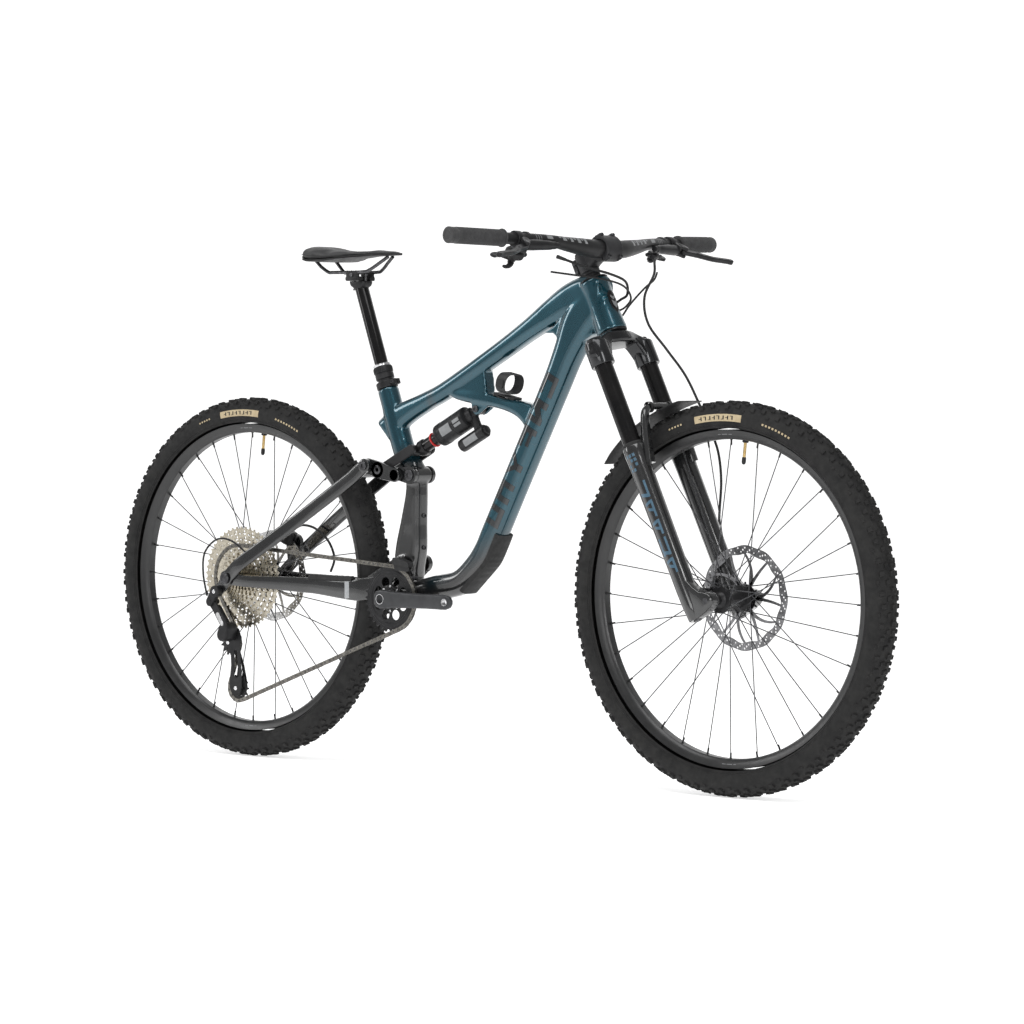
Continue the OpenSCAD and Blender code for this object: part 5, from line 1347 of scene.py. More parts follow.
    # spacers, top cap with its bolt
    b = B()
    for z in (690.4, 696.8):
        torus_lathe(b, [(14.4, z), (16.9, z), (17.5, z + 0.6), (17.5, z + 5.3), (16.9, z + 5.9), (14.4, z + 5.9)], STEER, 56, axis="z")
    lathe(b, [(17.2, 742.2), (18.0, 742.8), (17.8, 744.8), (16.2, 746.0), (6.4, 746.4), (5.6, 745.0), (0.01, 744.8)], STEER, 48, axis="z", caps=False)
    b.make("spacers_top_cap", "alloy_black", "steering", ["headset_spacers"], smooth=35)
    q = B()
    bolt(q, STEER @ Matrix.Translation((0, 0, 744.9)) @ Matrix.Rotation(radians(-90), 4, "X"), 4.4, 1.4)
    q.make("top_cap_bolt", "steel_dark", "steering", smooth=35)
    # headset cups and crown race cover
    b = B()
    torus_lathe(b, [(14.5, 684.2), (27.4, 684.2), (28.6, 684.9), (28.6, 686.2), (26.4, 688.0), (19.6, 690.2), (14.5, 690.2)], STEER, 64, axis="z")
    torus_lathe(b, [(20.2, 571.6), (25.6, 571.6), (28.6, 573.4), (29.0, 575.4), (28.2, 575.9), (20.2, 575.9)], STEER, 64, axis="z")
    ob = b.make("headset_covers", "alloy_black", "frame", smooth=35)


cockpit()


def lever_frame(side):
    """The control frame on the right (side -1) or left (side 1) of the bar: x forward and down, y towards the middle on the right."""
    p = hb(232)
    a = radians(30) + LEAN
    base = Matrix.Translation((p.x, -232, p.z)) @ Matrix.Rotation(a, 4, "Y")
    m = STEER @ base
    if side > 0:
        m = STEER @ Matrix.Diagonal((1, -1, 1, 1)) @ base
    return m


LV = (34.0, -10.0)


def flat_link(b, chain_pts, z0, z1, m, mi=0, crown=0.8):
    """A flat lever in the x-y plane through (x, y, r) points, edges eased."""
    C = []
    for i in range(len(chain_pts) - 1):
        for j in range(6):
            t = j / 6
            a, c, d, e = chain_pts[max(i - 1, 0)], chain_pts[i], chain_pts[i + 1], chain_pts[min(i + 2, len(chain_pts) - 1)]
            C.append([0.5 * (2 * c[q] + (d[q] - a[q]) * t + (2 * a[q] - 5 * c[q] + 4 * d[q] - e[q]) * t * t + (3 * c[q] - a[q] - 3 * d[q] + e[q]) * t ** 3) for q in range(3)])
    C.append(list(chain_pts[-1]))
    left, right = [], []
    n = len(C)
    for i, (x, y, r) in enumerate(C):
        x0, y0, _ = C[max(i - 1, 0)]
        x1, y1, _ = C[min(i + 1, n - 1)]
        L = hypot(x1 - x0, y1 - y0)
        tx, ty = (x1 - x0) / L, (y1 - y0) / L
        left.append((x - ty * r, y + tx * r))
        right.append((x + ty * r, y - tx * r))
    x, y, r = C[-1]
    tx, ty = C[-1][0] - C[-2][0], C[-1][1] - C[-2][1]
    a0 = atan2(ty, tx)
    tip = [(x + r * cos(a0 + radians(t)), y + r * sin(a0 + radians(t))) for t in (60, 30, 0, -30, -60)]
    x, y, r = C[0]
    tx, ty = C[0][0] - C[1][0], C[0][1] - C[1][1]
    a1 = atan2(ty, tx)
    tail = [(x + r * cos(a1 + radians(t)), y + r * sin(a1 + radians(t))) for t in (60, 30, 0, -30, -60)]
    out = left + tip + right[::-1] + tail
    cx, cy = sum(p[0] for p in out) / len(out), sum(p[1] for p in out) / len(out)
    rings = []
    for z, o in ((z0, crown), (z0 + crown, 0), (z1 - crown, 0), (z1, crown)):
        ring = []
        for i, (px, py) in enumerate(out):
            qx, qy = out[(i + 1) % len(out)][0] - out[i - 1][0], out[(i + 1) % len(out)][1] - out[i - 1][1]
            L = hypot(qx, qy) or 1
            ring.append((px - qy / L * o, py + qx / L * o, z))
        rings.append(ring)
    # keep the easing inward
    a = sum(out[i][0] * out[(i + 1) % len(out)][1] - out[(i + 1) % len(out)][0] * out[i][1] for i in range(len(out)))
    if a < 0:
        rings = [[(2 * out[i][0] - x, 2 * out[i][1] - y, z) for i, (x, y, z) in enumerate(r)] for r in rings]
    loft(b, rings, m, mi)


def controls():
    for side, nm in ((-1, "right"), (1, "left")):
        m = lever_frame(side)
        b = B()
        # clamp band
        torus_lathe(b, [(11.35, -7.4), (14.6, -7.4), (15.4, -6.4), (15.4, 6.4), (14.6, 7.4), (11.35, 7.4)], m, 48)
        # neck from the clamp to the body
        rings = []
        for x, wy, hz in ((11, 12, 17), (16, 11, 16), (22, 13, 17), (28, 15, 19)):
            rings.append([(x, u, w) for u, w in rrect(wy, hz, 4, 4)])
        loft(b, rings, m)
        # master cylinder with its reservoir hump
        pts = []
        d0 = Vector((24, 2, 0))
        dr = Vector((0.105, 0.992, 0.07)).normalized()
        prof = [(0.01, -2), (7.5, -2), (9.6, 0), (10.4, 4), (10.3, 20), (9.6, 34), (9.2, 52), (8.6, 64), (7.6, 68), (7.4, 76), (6.2, 77), (5.8, 83.5), (0.01, 84)]
        q4 = Vector((0, 1, 0)).rotation_difference(dr).to_matrix().to_4x4()
        lathe(b, prof, m @ Matrix.Translation(d0) @ q4, 40, caps=False)
        rings = []
        for t, wx, hz in ((8, 9, 13), (12, 14, 17), (24, 15, 18.5), (40, 14, 17), (50, 11, 14), (54, 7, 10)):
            c = d0 + dr * t
            rings.append([(c.x - 3 + u, c.y, c.z + w) for u, w in rrect(wx, hz, 5, 4)])
        loft(b, rings, m)
        # lever yoke ears with their bridge
        for z0, z1 in ((-8.8, -3.2), (7.2, 12.8)):
            flat_link(b, [(24, -4, 8.0), (30, -8, 7.4), (34, -10, 6.6)], z0, z1, m)
        flat_link(b, [(20, 0, 6), (27, 0, 6)], -8.8, 12.8, m)
        b.make(f"brake_body_{nm}", "alloy_black", "steering", ["brake_lever_bodies"] if side < 0 else (), smooth=40, bevel=0.3)
        # bolts: clamp, lid, and pivot pin
        q = B()
        for yy in (0,):
            bolt(q, m @ Matrix.Translation((0, yy, -15.2)) @ Matrix.Rotation(radians(90), 4, "X"), 3.4, 2.4)
        lathe(q, [(0.01, -9.4), (3.6, -9.4), (3.8, -8.9), (2.9, -8.8), (2.9, 13.0), (3.8, 13.1), (3.6, 13.6), (0.01, 13.6)], m @ Matrix.Translation((LV[0], LV[1], 0)), 24, axis="z", caps=False)
        for t in (14, 38):
            c = d0 + dr * t
            lathe(q, [(0.01, 9.3), (2.0, 9.3), (2.2, 8.8), (2.2, 7.0)], m @ Matrix.Translation((c.x - 3, c.y, c.z)), 16, axis="z", caps=False)
        q.make(f"brake_body_bolts_{nm}", "steel_dark", "steering", smooth=35)
        # lever blade, one finger, hooked at its end
        b = B()
        flat_link(b, [(34, -10, 6.6), (38, -22, 6.4), (44, -40, 6.0), (53, -58, 5.2), (60, -74, 4.7), (64, -95, 4.5), (66.5, -110, 4.7), (69.5, -121, 5.2)], -2.5, 6.5, m, crown=1.4)
        b.make(f"brake_blade_{nm}", "alloy_black", f"{nm}_brake_lever", [f"brake_lever_{nm}"], smooth=40)
        q = B()
        for z0, z1 in ((-2.7, -2.4), (6.4, 6.7)):
            lathe(q, [(3.2, z0), (5.0, z0), (5.0, z1), (3.2, z1)], m @ Matrix.Translation((LV[0], LV[1], 0)), 28, axis="z")
        lathe(q, [(0.01, 6.5), (2.2, 6.5), (2.2, 7.3), (1.2, 7.3), (0.01, 6.9)], m @ Matrix.Translation((44, -40, 0)), 16, axis="z", caps=False)
        q.make(f"brake_blade_bushes_{nm}", "steel_dark", f"{nm}_brake_lever", smooth=35)
    # shifter
    m = lever_frame(-1)
    b = B()
    torus_lathe(b, [(11.65, 21.6), (13.8, 21.6), (14.4, 22.4), (14.4, 29.6), (13.8, 30.4), (11.65, 30.4)], m, 40)
    rings = [[(-1 + u, 26 + w, z) for u, w in rrect(wx, wy, 3, 3)] for z, wx, wy in ((-11.8, 12, 8), (-18, 12, 8), (-26.5, 16, 12))]
    loft(b, rings, m)
    mm = m @ Matrix.Translation((-8, 24, -34)) @ Matrix.Rotation(radians(8), 4, "X")
    lathe(b, [(0.01, 8.0), (9, 8.0), (15.5, 7.0), (18.3, 4.4), (19.0, 1.0), (19.0, -4.5), (17.8, -7.2), (12, -8.0), (0.01, -8.0)], mm, 56, axis="z", caps=False)
    for i in range(5):
        torus_lathe(b, [(13.5 - i * 2.2, 7.7), (13.5 - i * 2.2, 8.5), (12.7 - i * 2.2, 8.5), (12.7 - i * 2.2, 7.7)], mm, 40, axis="z")
    lathe(b, [(4.6, 40), (5.0, 42), (5.0, 52), (4.2, 53.4), (4.4, 54), (3.4, 56), (0.01, 56)], m @ Matrix.Translation((-6, 0, -36)), 24, caps=False)
    b.make("shifter_housing", "plastic", "steering", ["shifter_body"], smooth=38, bevel=0.25)
    q = B()
    bolt(q, m @ Matrix.Translation((-12, 26, -14)) @ Matrix.Rotation(radians(-90), 4, "Z"), 2.8, 2.6)
    lathe(q, [(0.01, -56.4), (2.9, -56.4), (3.0, -56), (3.0, -40)], m @ Matrix.Translation((-8, 24, 0)), 20, axis="z", caps=False)
    q.make("shifter_bolts", "steel_dark", "steering", smooth=35)
    b = B()
    flat_link(b, [(-8, 24, 7.6), (-18, 14, 6.6), (-26, 2, 5.8), (-25, -8, 6.2), (-22, -16, 6.6)], -50.1, -45.3, m, crown=0.9)
    for i in range(4):
        b.add(*block(9, 0.9, 0.7), m @ Matrix.Translation((-23.5, -5 - 3.2 * i, -50.2)))
    b.make("shifter_thumb_paddle", "plastic", "shift_paddle", ["shifter_thumb_lever"], smooth=38)
    b = B()
    flat_link(b, [(-8, 24, 6.6), (2, 12, 5.4), (10, -2, 4.7), (11.5, -9, 4.7), (12, -14, 4.9)], -55.4, -51.6, m, crown=0.8)
    b.make("shifter_release_paddle", "plastic", "release_paddle", ["shifter_release_lever"], smooth=38)
    # dropper remote
    m = lever_frame(1)
    b = B()
    torus_lathe(b, [(11.65, 21.6), (13.8, 21.6), (14.4, 22.4), (14.4, 29.6), (13.8, 30.4), (11.65, 30.4)], m, 40)
    rings = [[(-1 + u, 26 + w, z) for u, w in rrect(wx, wy, 3, 3)] for z, wx, wy in ((-11.8, 12, 8), (-17, 11, 8), (-22, 15, 11))]
    loft(b, rings, m)
    mm = m @ Matrix.Translation((-4, 30, -26))
    lathe(b, [(0.01, 6), (8.5, 6), (10.4, 4.6), (11, 3), (11, -3.6), (10.2, -5.6), (8, -6), (0.01, -6)], mm, 44, axis="z", caps=False)
    lathe(b, [(3.8, 38), (4.1, 41), (4.1, 47), (3.2, 48.6), (3.4, 49.4), (2.6, 50), (0.01, 50)], m @ Matrix.Translation((-4, 0, -26)), 24, caps=False)
    b.make("dropper_remote_housing", "alloy_black", "steering", ["dropper_remote_body"], smooth=38, bevel=0.25)
    q = B()
    lathe(q, [(0.01, -42.4), (4.4, -42.4), (4.8, -41.8), (4.8, -40.4), (2.9, -40.4), (2.9, -32)], m @ Matrix.Translation((-4, 30, 0)), 24, axis="z", caps=False)
    q.make("dropper_remote_pin", "steel_dark", "steering", smooth=35)
    b = B()
    flat_link(b, [(-4, 30, 7.6), (-11, 19, 6.4), (-16, 8, 5.9), (-14.5, -4, 7.8), (-12, -14, 8.8)], -39.9, -34.1, m, crown=1.1)
    for i in range(4):
        b.add(*block(11, 1.0, 0.8), m @ Matrix.Translation((-13, -6 - 3.4 * i, -40.1)))
    b.make("dropper_remote_paddle", "alloy_black", "dropper_paddle", ["dropper_remote_lever"], smooth=38)


controls()


# ---------------------------------------------------------------- hoses and housings
def spl(P, k):
    return spline([Vector(p) for p in P], k)


FBH = [(330, 150, 1020), (350, 110, 1012), (372, 80, 985), (366, 58, 940), (372, 62, 890), (408, 74, 840), (446, 84, 790), (478, 90, 730), (496, 95, 690),
       (514, 98, 645), (520, 100, 590), (516, 100, 530), (514, 99, 470), (516, 90, 428), (517, 66, 405), (518, 48, 391)]
RBH = [(330, -150, 1012), (345, -90, 995), (352, -30, 984), (350, 20, 970), (338, 40, 946), (324, 37, 936), (313, 31.2, 927)]
RBX = [(-455, 55, 386), (-440, 50, 415), (-455, 47, 450), (-490, 46, 474), (-526, 48, 480), (-548, 52, 474)]
SHC = [(318, -165, 986), (336, -110, 980), (350, -50, 974), (352, 10, 962), (344, 44, 940), (332, 42, 922), (319, 31.2, 913)]
SHX = [(-560, -70, 414), (-600, -84, 448), (-640, -89, 452), (-676, -89, 424), (-682, -88, 380), (-672, -87, 334)]
DRC = [(318, 158, 990), (332, 130, 975), (340, 90, 958), (330, 60, 928), (322, 46, 906), (318, 32, 893)]


def mmv(p):
    return tuple(c * MM for c in p)


def hoses():
    b = B()
    tube(b, spl(FBH, 8), 2.5, 14)
    b.make("front_brake_line", "hose", None, ["front_brake_hose"], smooth=60, blend=("steering", "fork_slider", mmv((446, 84, 790)), mmv((520, 100, 590))))
    b = B()
    tube(b, spl(RBH, 8), 2.5, 14)
    b.make("rear_brake_line_front", "hose", None, ["rear_brake_hose"], smooth=60, blend=("steering", "frame", mmv((340, -90, 995)), mmv((324, 37, 936))))
    b = B()
    tube(b, spl(SHC, 8), 2.0, 14)
    b.make("shift_housing_front", "hose", None, ["shift_cable"], smooth=60, blend=("steering", "frame", mmv((336, -110, 980)), mmv((332, 42, 922))))
    b = B()
    tube(b, spl(DRC, 8), 2.0, 14)
    b.make("dropper_housing", "hose", None, ["dropper_cable"], smooth=60, blend=("steering", "frame", mmv((332, 130, 975)), mmv((322, 46, 906))))
    b = B()
    tube(b, spl(RBX, 8), 2.5, 14)
    b.make("rear_brake_line_rear", "hose", "seatstay", smooth=60)
    b = B()
    tube(b, spl(SHX, 8), 2.0, 14)
    b.make("shift_housing_rear", "hose", "chainstay", smooth=60)
    # a ferrule at the rear shift housing's end, and sleeves at the hose ends by the levers
    q = B()
    tube(q, [Vector((-672, -87, 336)), Vector((-673.5, -87.1, 343))], 2.8, 14)
    q.make("shift_housing_ferrule", "alloy_black", "chainstay", smooth=40)
    q = B()
    for p, d in (((330, 150, 1020), (20, -40, -8)), ):
        d = Vector(d).normalized()
        tube(q, [Vector(p) - d * 9, Vector(p) + d * 1, Vector(p) + d * 11], lambda t: 3.9 - 0.9 * t, 16)
    for p, d in (((330, -150, 1012), (15, 60, -17)),):
        d = Vector(d).normalized()
        tube(q, [Vector(p) - d * 9, Vector(p) + d * 1, Vector(p) + d * 11], lambda t: 3.9 - 0.9 * t, 16)
    q.make("hose_sleeves", "rubber", "steering", smooth=40)


hoses()

# ---------------------------------------------------------------- rear triangle
def rear_stays():
    # chainstay: one swept box each side, yoke ahead of the tyre, dropouts
    b = B()
    for sy in (-1, 1):
        # front plate from the main pivot down and back to the yoke
        rings = []
        out = link_outline(MP, (-250, 366), 17, 24, 16)
        for y, o in ((31.2, 0.8), (32.4, 0), (41.6, 0), (42.8, 0.8)):
            cx = sum(p[0] for p in out) / len(out)
            cz = sum(p[1] for p in out) / len(out)
            rings.append([(cx + (x - cx) * (1 - o / 30), y * sy, cz + (z - cz) * (1 - o / 30)) for x, z in out])
        loft(b, rings)
        # arm
        if sy < 0:
            st = [(-235, -38, 366, 10, 46, 4), (-262, -40.5, 362, 12, 46, 5), (-290, -44.6, 358, 12, 44, 5), (-330, -45.2, 358, 12, 38, 5), (-400, -46.2, 362.5, 11, 33, 5), (-440, -50.0, 363.5, 11, 31, 5), (-520, -65.0, 366, 10, 26, 4.5), (-575, -75.2, 367, 6.6, 24, 3), (-603, -76.6, 370, 4.9, 26, 2), (-622, -76.6, 372, 4.7, 27, 2)]
        else:
            st = [(-235, 38, 366, 10, 46, 4), (-262, 40.5, 362, 12, 46, 5), (-290, 44.6, 358, 12, 44, 5), (-330, 45.6, 358, 12, 38, 5), (-400, 47.0, 362.5, 12, 33, 5), (-440, 51.5, 363.5, 12, 31, 5), (-500, 64.5, 366, 11, 27, 4.5), (-560, 74.0, 367, 8, 24, 3), (-603, 76.6, 370, 4.9, 26, 2), (-622, 76.6, 372, 4.7, 27, 2)]
        bar(b, st, k=6)
        lathe(b, [(6.2, 74.3 * sy), (16, 74.3 * sy), (16.9, 75.2 * sy), (16.9, 78.1 * sy), (16, 79 * sy), (6.2, 79 * sy)], at_axle(RA), 48, caps=False)
        # pivot caps at the main pivot
        lathe(b, [(8.2, 31 * sy), (16.2, 31 * sy), (17.2, 32 * sy), (17.2, 42 * sy), (16.2, 43 * sy), (8.2, 43 * sy)], at(MP), 44, caps=False)
    # yoke bridge
    rings = []
    for y in (-36, -30, -12, 0, 12, 30, 36):
        rings.append([(-230.5 + u, y, 376 + w) for u, w in rrect(24.5 - 3 * cos(pi * y / 72), 46 - 6 * cos(pi * y / 72), 8, 5)])
    loft(b, rings)
    # hanger tab
    prism(b, link_outline(RA, (-648, 344), 15.5, 11, 12), -79, -74.3)
    b.make("chainstay_shell", "black_gloss", "chainstay", ["chainstay"], smooth=42, bevel=0.6)
    # ribbed rubber guard on top of the right arm
    g = B()
    rings = []
    n = 30
    for i in range(n + 1):
        x = -300 - 117 * i / n
        t = i / n
        yc = -45.0 - 1.6 * t
        zt = 378.3 + 0.2 * t
        h = 6.2 + (1.1 if i % 4 < 2 else 0.0)
        if i == 0 or i == n:
            h = 3
        rings.append([(x, yc + u, zt + w) for u, w in ((-6.4, -3), (-7.2, -3), (-7.2, h * 0.6), (-5.4, h), (5.0, h), (6.4, h * 0.6), (6.4, -3), (5.7, -3), (5.2, 0.8), (-5.8, 0.8))])
    loft(g, rings)
    g.make("chainstay_guard_ribs", "rubber", "chainstay", ["chainstay_guard"], smooth=28)
    # reflective band round the right arm, near the yoke
    t = B()
    rings = []
    for x in (-318, -306):
        rings.append([(x, -45.0 + u, 358 + w) for u, w in rrect(13.0, 40.6, 5.5, 5)])
        rings.append([(x, -45.0 + u, 358 + w) for u, w in rrect(12.3, 39.9, 5.2, 5)]) if False else None
    loft(t, rings)
    t.make("reflective_band", "tape", "chainstay", smooth=40)

    # seatstays with their bridge
    b = B()
    for sy in (-1, 1):
        st = [(-622, 81.8 * sy, 372, 4.6, 27, 2), (-606, 81.8 * sy, 385, 4.8, 28, 2), (-585, 81.2 * sy, 402, 6, 28, 2.6), (-556, 76.2 * sy, 421, 9, 28, 4), (-500, 66.8 * sy, 457, 11, 28, 4.8), (-420, 57.5 * sy, 508, 10, 28, 4.8), (-340, 52.6 * sy, 558, 10.4, 29, 4.8),
              (-300, 50.6 * sy, 583, 11, 29, 4.6), (-280, 50.0 * sy, 598, 10.8, 29, 4.4), (-263, 49.8 * sy, 609, 10.6, 27, 4)]
        bar(b, st, k=7)
        lathe(b, [(6.3, 79.5 * sy), (15.4, 79.5 * sy), (16.2, 80.2 * sy), (16.2, 83.4 * sy), (15.4, 84.1 * sy), (6.3, 84.1 * sy)], at_axle(RA), 48, caps=False)
        lathe(b, [(6.3, 44.5 * sy), (13.4, 44.5 * sy), (14.3, 45.4 * sy), (14.3, 54.6 * sy), (13.4, 55.4 * sy), (6.3, 55.4 * sy)], at(JP), 44, caps=False)
    bar(b, [(-292, -47, 592, 8, 22, 3.8), (-292, -46.9, 592, 8, 22, 3.8)] if False else [(-292, 0, 592, 3, 3, 1), (-292.5, 0, 592, 3, 3, 1)], k=2) if False else None
    rings = []
    for y in (-50, -42, -30, -15, 0, 15, 30, 42, 50):
        r = 8.6 + 1.8 * (abs(y) / 50) ** 2
        rings.append([(-292 + r * 1.05 * cos(2 * pi * j / 24), y, 592 + r * 0.95 * sin(2 * pi * j / 24)) for j in range(24)])
    loft(b, rings)
    prism(b, [(-592, 400), (-553, 426), (-556, 450), (-562, 457), (-586, 466), (-598, 451)], 70.8, 80.2)
    b.make("seatstay_shell", "black_gloss", "seatstay", ["seatstay"], smooth=42, bevel=0.6)
    q = B()
    for sy in (-1, 1):
        # upper pivot: broad bolt cap with hex
        mm = at(JP) @ Matrix.Diagonal((1, -sy, 1, 1))
        lathe(q, [(5.9, -55.2), (8.2, -55.4), (9, -56.2), (9, -57.8), (8.2, -58.5), (4.1, -58.5), (3.8, -56.4), (0.01, -56.4)], mm, 32, caps=False)
    q.make("upper_pivot_bolts", "steel_dark", "seatstay", smooth=35)
    # rear axle with its ends
    q = B()
    lathe(q, [(6, -88.5), (6, 87.5)], at_axle(RA), 32)
    lathe(q, [(6, 84.4), (10.6, 84.6), (11.4, 85.4), (11.4, 88.2), (10.4, 89), (4.6, 89), (4.0, 86.8), (0.01, 86.8)], at_axle(RA), 40, caps=False)
    lathe(q, [(6, -84.7), (11.2, -84.7), (11.9, -85.4), (11.9, -88.4), (10.6, -89.4), (6.4, -89.4), (5.6, -87.6), (0.01, -87.6)], at_axle(RA), 40, caps=False)
    q.make("rear_axle_bolt", "steel_dark", "chainstay", ["rear_axle"], smooth=35)


rear_stays()


def pivots():
    # main, rocker and shock bolts on the front frame
    q = B()
    for sy in (-1, 1):
        mm = at(MP) @ Matrix.Diagonal((1, -sy, 1, 1))
        lathe(q, [(8, -30), (8, -43.2), (9.2, -43.5), (10, -44.1), (10, -45), (9.4, -45.4), (4.4, -45.4), (4, -43.6), (0.01, -43.6)], mm, 36, caps=False)
        mm = at(KP) @ Matrix.Diagonal((1, -sy, 1, 1))
        lathe(q, [(4.9, -22), (4.9, -30.9), (10, -30.9), (11, -31.6), (11, -32.8), (10.4, -33.4), (4.6, -33.4), (4.1, -31.6), (0.01, -31.6)], mm, 40, caps=False)
        mm = at(SP) @ Matrix.Diagonal((1, -sy, 1, 1))
        lathe(q, [(4, -7), (4, -14.1), (6.4, -14.1), (7, -14.7), (7, -16.4), (6.4, -17), (3.2, -17), (2.8, -15.4), (0.01, -15.4)], mm, 32, caps=False)
    q.make("pivot_bolts", "steel_dark", "frame", ["pivot_axles_and_bolts"], smooth=35)
    b = B()
    for sy in (-1, 1):
        torus_lathe(b, [(15.2, 36.5 * sy), (21.4, 36.7 * sy), (22.2, 37.6 * sy), (22.2, 40.6 * sy), (21.4, 41.5 * sy), (15.2, 41.7 * sy)], at(BB), 48)
        for i in range(16):
            a = 2 * pi * i / 16
            b.add(*block(2.0, 3.6, 3.4), at(BB) @ Matrix.Rotation(a, 4, "Y") @ Matrix.Translation((22.0, 39.2 * sy, 0)))
    b.make("bottom_bracket_cups", "alloy_black", "frame", ["bottom_bracket"], smooth=35)


pivots()


def rocker_and_shock():
    b = B()
    for sy in (-1, 1):
        def slab(out, y0, y1, e=1.0):
            cx = sum(p[0] for p in out) / len(out)
            cz = sum(p[1] for p in out) / len(out)
            rings = []
            for y, o in ((y0, e), (y0 + e, 0), (y1 - e, 0), (y1, e)):
                rings.append([(cx + (x - cx) * (1 - o / 34), y * sy, cz + (z - cz) * (1 - o / 34)) for x, z in out])
            loft(b, rings)
        slab(link_outline(KP, (-192, 593), 17.8, 12.8, 20), 22.7, 30.5)
        lathe(b, [(0.01, 22.7 * sy), (11, 22.7 * sy), (11, 43.3 * sy), (0.01, 43.3 * sy)], at((-192, 591)), 32, caps=False)
        slab(link_outline((-192, 591), YP, 13.8, 16.8, 20), 34.1, 43.3)
        slab(link_outline(YP, JP, 16.8, 14.8, 20), 34.1, 43.3)
    b.make("rocker_plates", "black_gloss", "rocker", ["rocker_link"], smooth=40)
    q = B()
    for sy in (-1, 1):
        mm = at(YP) @ Matrix.Diagonal((1, -sy, 1, 1))
        lathe(q, [(5.8, -34), (5.8, -43.2), (8.4, -43.2), (9, -43.6), (9, -44.0), (8.4, -44.3), (4.2, -44.3), (3.8, -42.4), (0.01, -42.4)], mm, 32, caps=False)
        lathe(q, [(5.8, -34.2), (5.8, -43.2)], at(JP) @ Matrix.Diagonal((1, -sy, 1, 1)), 28)
    q.make("rocker_bolts", "steel_dark", "rocker", smooth=35)
    # shock: local x from the front eyelet to the yoke
    ang = degrees(atan2(YP[1] - SP[1], YP[0] - SP[0]))
    m = at(SP, ang)
    L = hypot(YP[0] - SP[0], YP[1] - SP[1])
    b = B()
    torus_lathe(b, [(4.2, -7.4), (9.8, -7.4), (11, -6.4), (11, 6.4), (9.8, 7.4), (4.2, 7.4)], m, 40)
    rings = [[(x, u, w) for u, w in rrect(wy, wz, r, 4)] for x, wy, wz, r in ((4, 14.4, 16, 4), (12, 14.6, 17, 4), (18, 15, 19, 6), (24, 20, 22, 9))]
    loft(b, rings, m)
    lathe(b, [(0.01, 20), (12, 20), (14.6, 22), (15, 26), (15, 33), (20, 34), (22.4, 35), (23, 37), (23, 64), (22.4, 64.6), (22.4, 66.4), (23, 67), (23, 108), (22.2, 109), (22.2, 111.5), (23, 112), (23, 115), (22, 116), (18.6, 120), (16, 121.4), (13.1, 121.5)], m, 72, axis="x", caps=False)
    # knurled air-can end
    for i in range(36):
        a = 2 * pi * i / 36
        b.add(*block(6.5, 1.6, 0.9), m @ Matrix.Rotation(a, 4, "X") @ Matrix.Translation((103, 0, 23.1)))
    # bridge and reservoir
    rings = [[(cx + u, w, z) for u, w in rrect(wx, wy, 5, 4)] for z, cx, wx, wy in ((8, 21, 17, 14), (20, 21, 16, 13), (32, 21.5, 17, 13.6), (40, 23, 22, 14.4), (50, 24, 18, 13))]
    loft(b, rings, m)
    mr = m @ Matrix.Translation((0, 0, 44))
    lathe(b, [(0.01, 0.2), (7, 0.2), (8.8, 1.4), (9, 6), (12.4, 6.4), (13.4, 7.6), (13.5, 12), (12.9, 12.8), (12.9, 14.4), (13.5, 15), (13.5, 70), (12.6, 72), (13.1, 73), (12.7, 75.2), (10.4, 76), (4, 76), (3.6, 74.6), (0.01, 74.6)], mr, 56, axis="x", caps=False)
    b.make("shock_can", "alloy_black", "shock_body", ["shock_body"], smooth=35)
    # wiper seals, red ring and grey patches
    q = B()
    lathe(q, [(13.05, 119.0), (15.6, 119.2), (16.4, 119.9), (16.3, 121.0), (13.05, 121.9)], m, 56, axis="x", caps=False)
    torus_lathe(q, [(23.05, 109.4), (23.25, 110.1), (23.05, 110.9), (22.2, 110.9), (22.2, 109.4)], m, 72, axis="x")
    q.make("shock_wiper", "rubber", "shock_body", smooth=40)
    q = B()
    torus_lathe(q, [(12.95, 132.5), (15.2, 132.9), (15.6, 134.2), (15.2, 135.5), (12.95, 135.9)], m, 48, axis="x")
    q.make("travel_ring", "red", "shock_body", smooth=40)
    q = B()

    def wrap(m_, r, x0, x1, a0, a1, n=10):
        v, f = [], []
        for L_ in (0, 1):
            for i in range(n + 1):
                a = radians(a0 + (a1 - a0) * i / n)
                rr = r + (0.3 if L_ else -0.1)
                for x in (x0, x1):
                    v.append((x, rr * cos(a), rr * sin(a)))
        Q = 2 * (n + 1)
        for i in range(n):
            a = 2 * i
            f += [(a, a + 1, a + 3, a + 2), (Q + a, Q + a + 2, Q + a + 3, Q + a + 1), (a, a + 2, Q + a + 2, Q + a), (a + 1, Q + a + 1, Q + a + 3, a + 3)]
        q.add(v, f, m_)
    for a in (150, 330):
        wrap(m, 23, 70, 98, a, a + 46)
        wrap(m, 23, 42, 60, a + 4, a + 18)
        wrap(m, 23, 42, 60, a + 24, a + 42)
    for a in (140, 320):
        wrap(mr, 13.5, 24, 60, a, a + 60)
    q.make("shock_patches", "decal_grey", "shock_body", smooth=50)
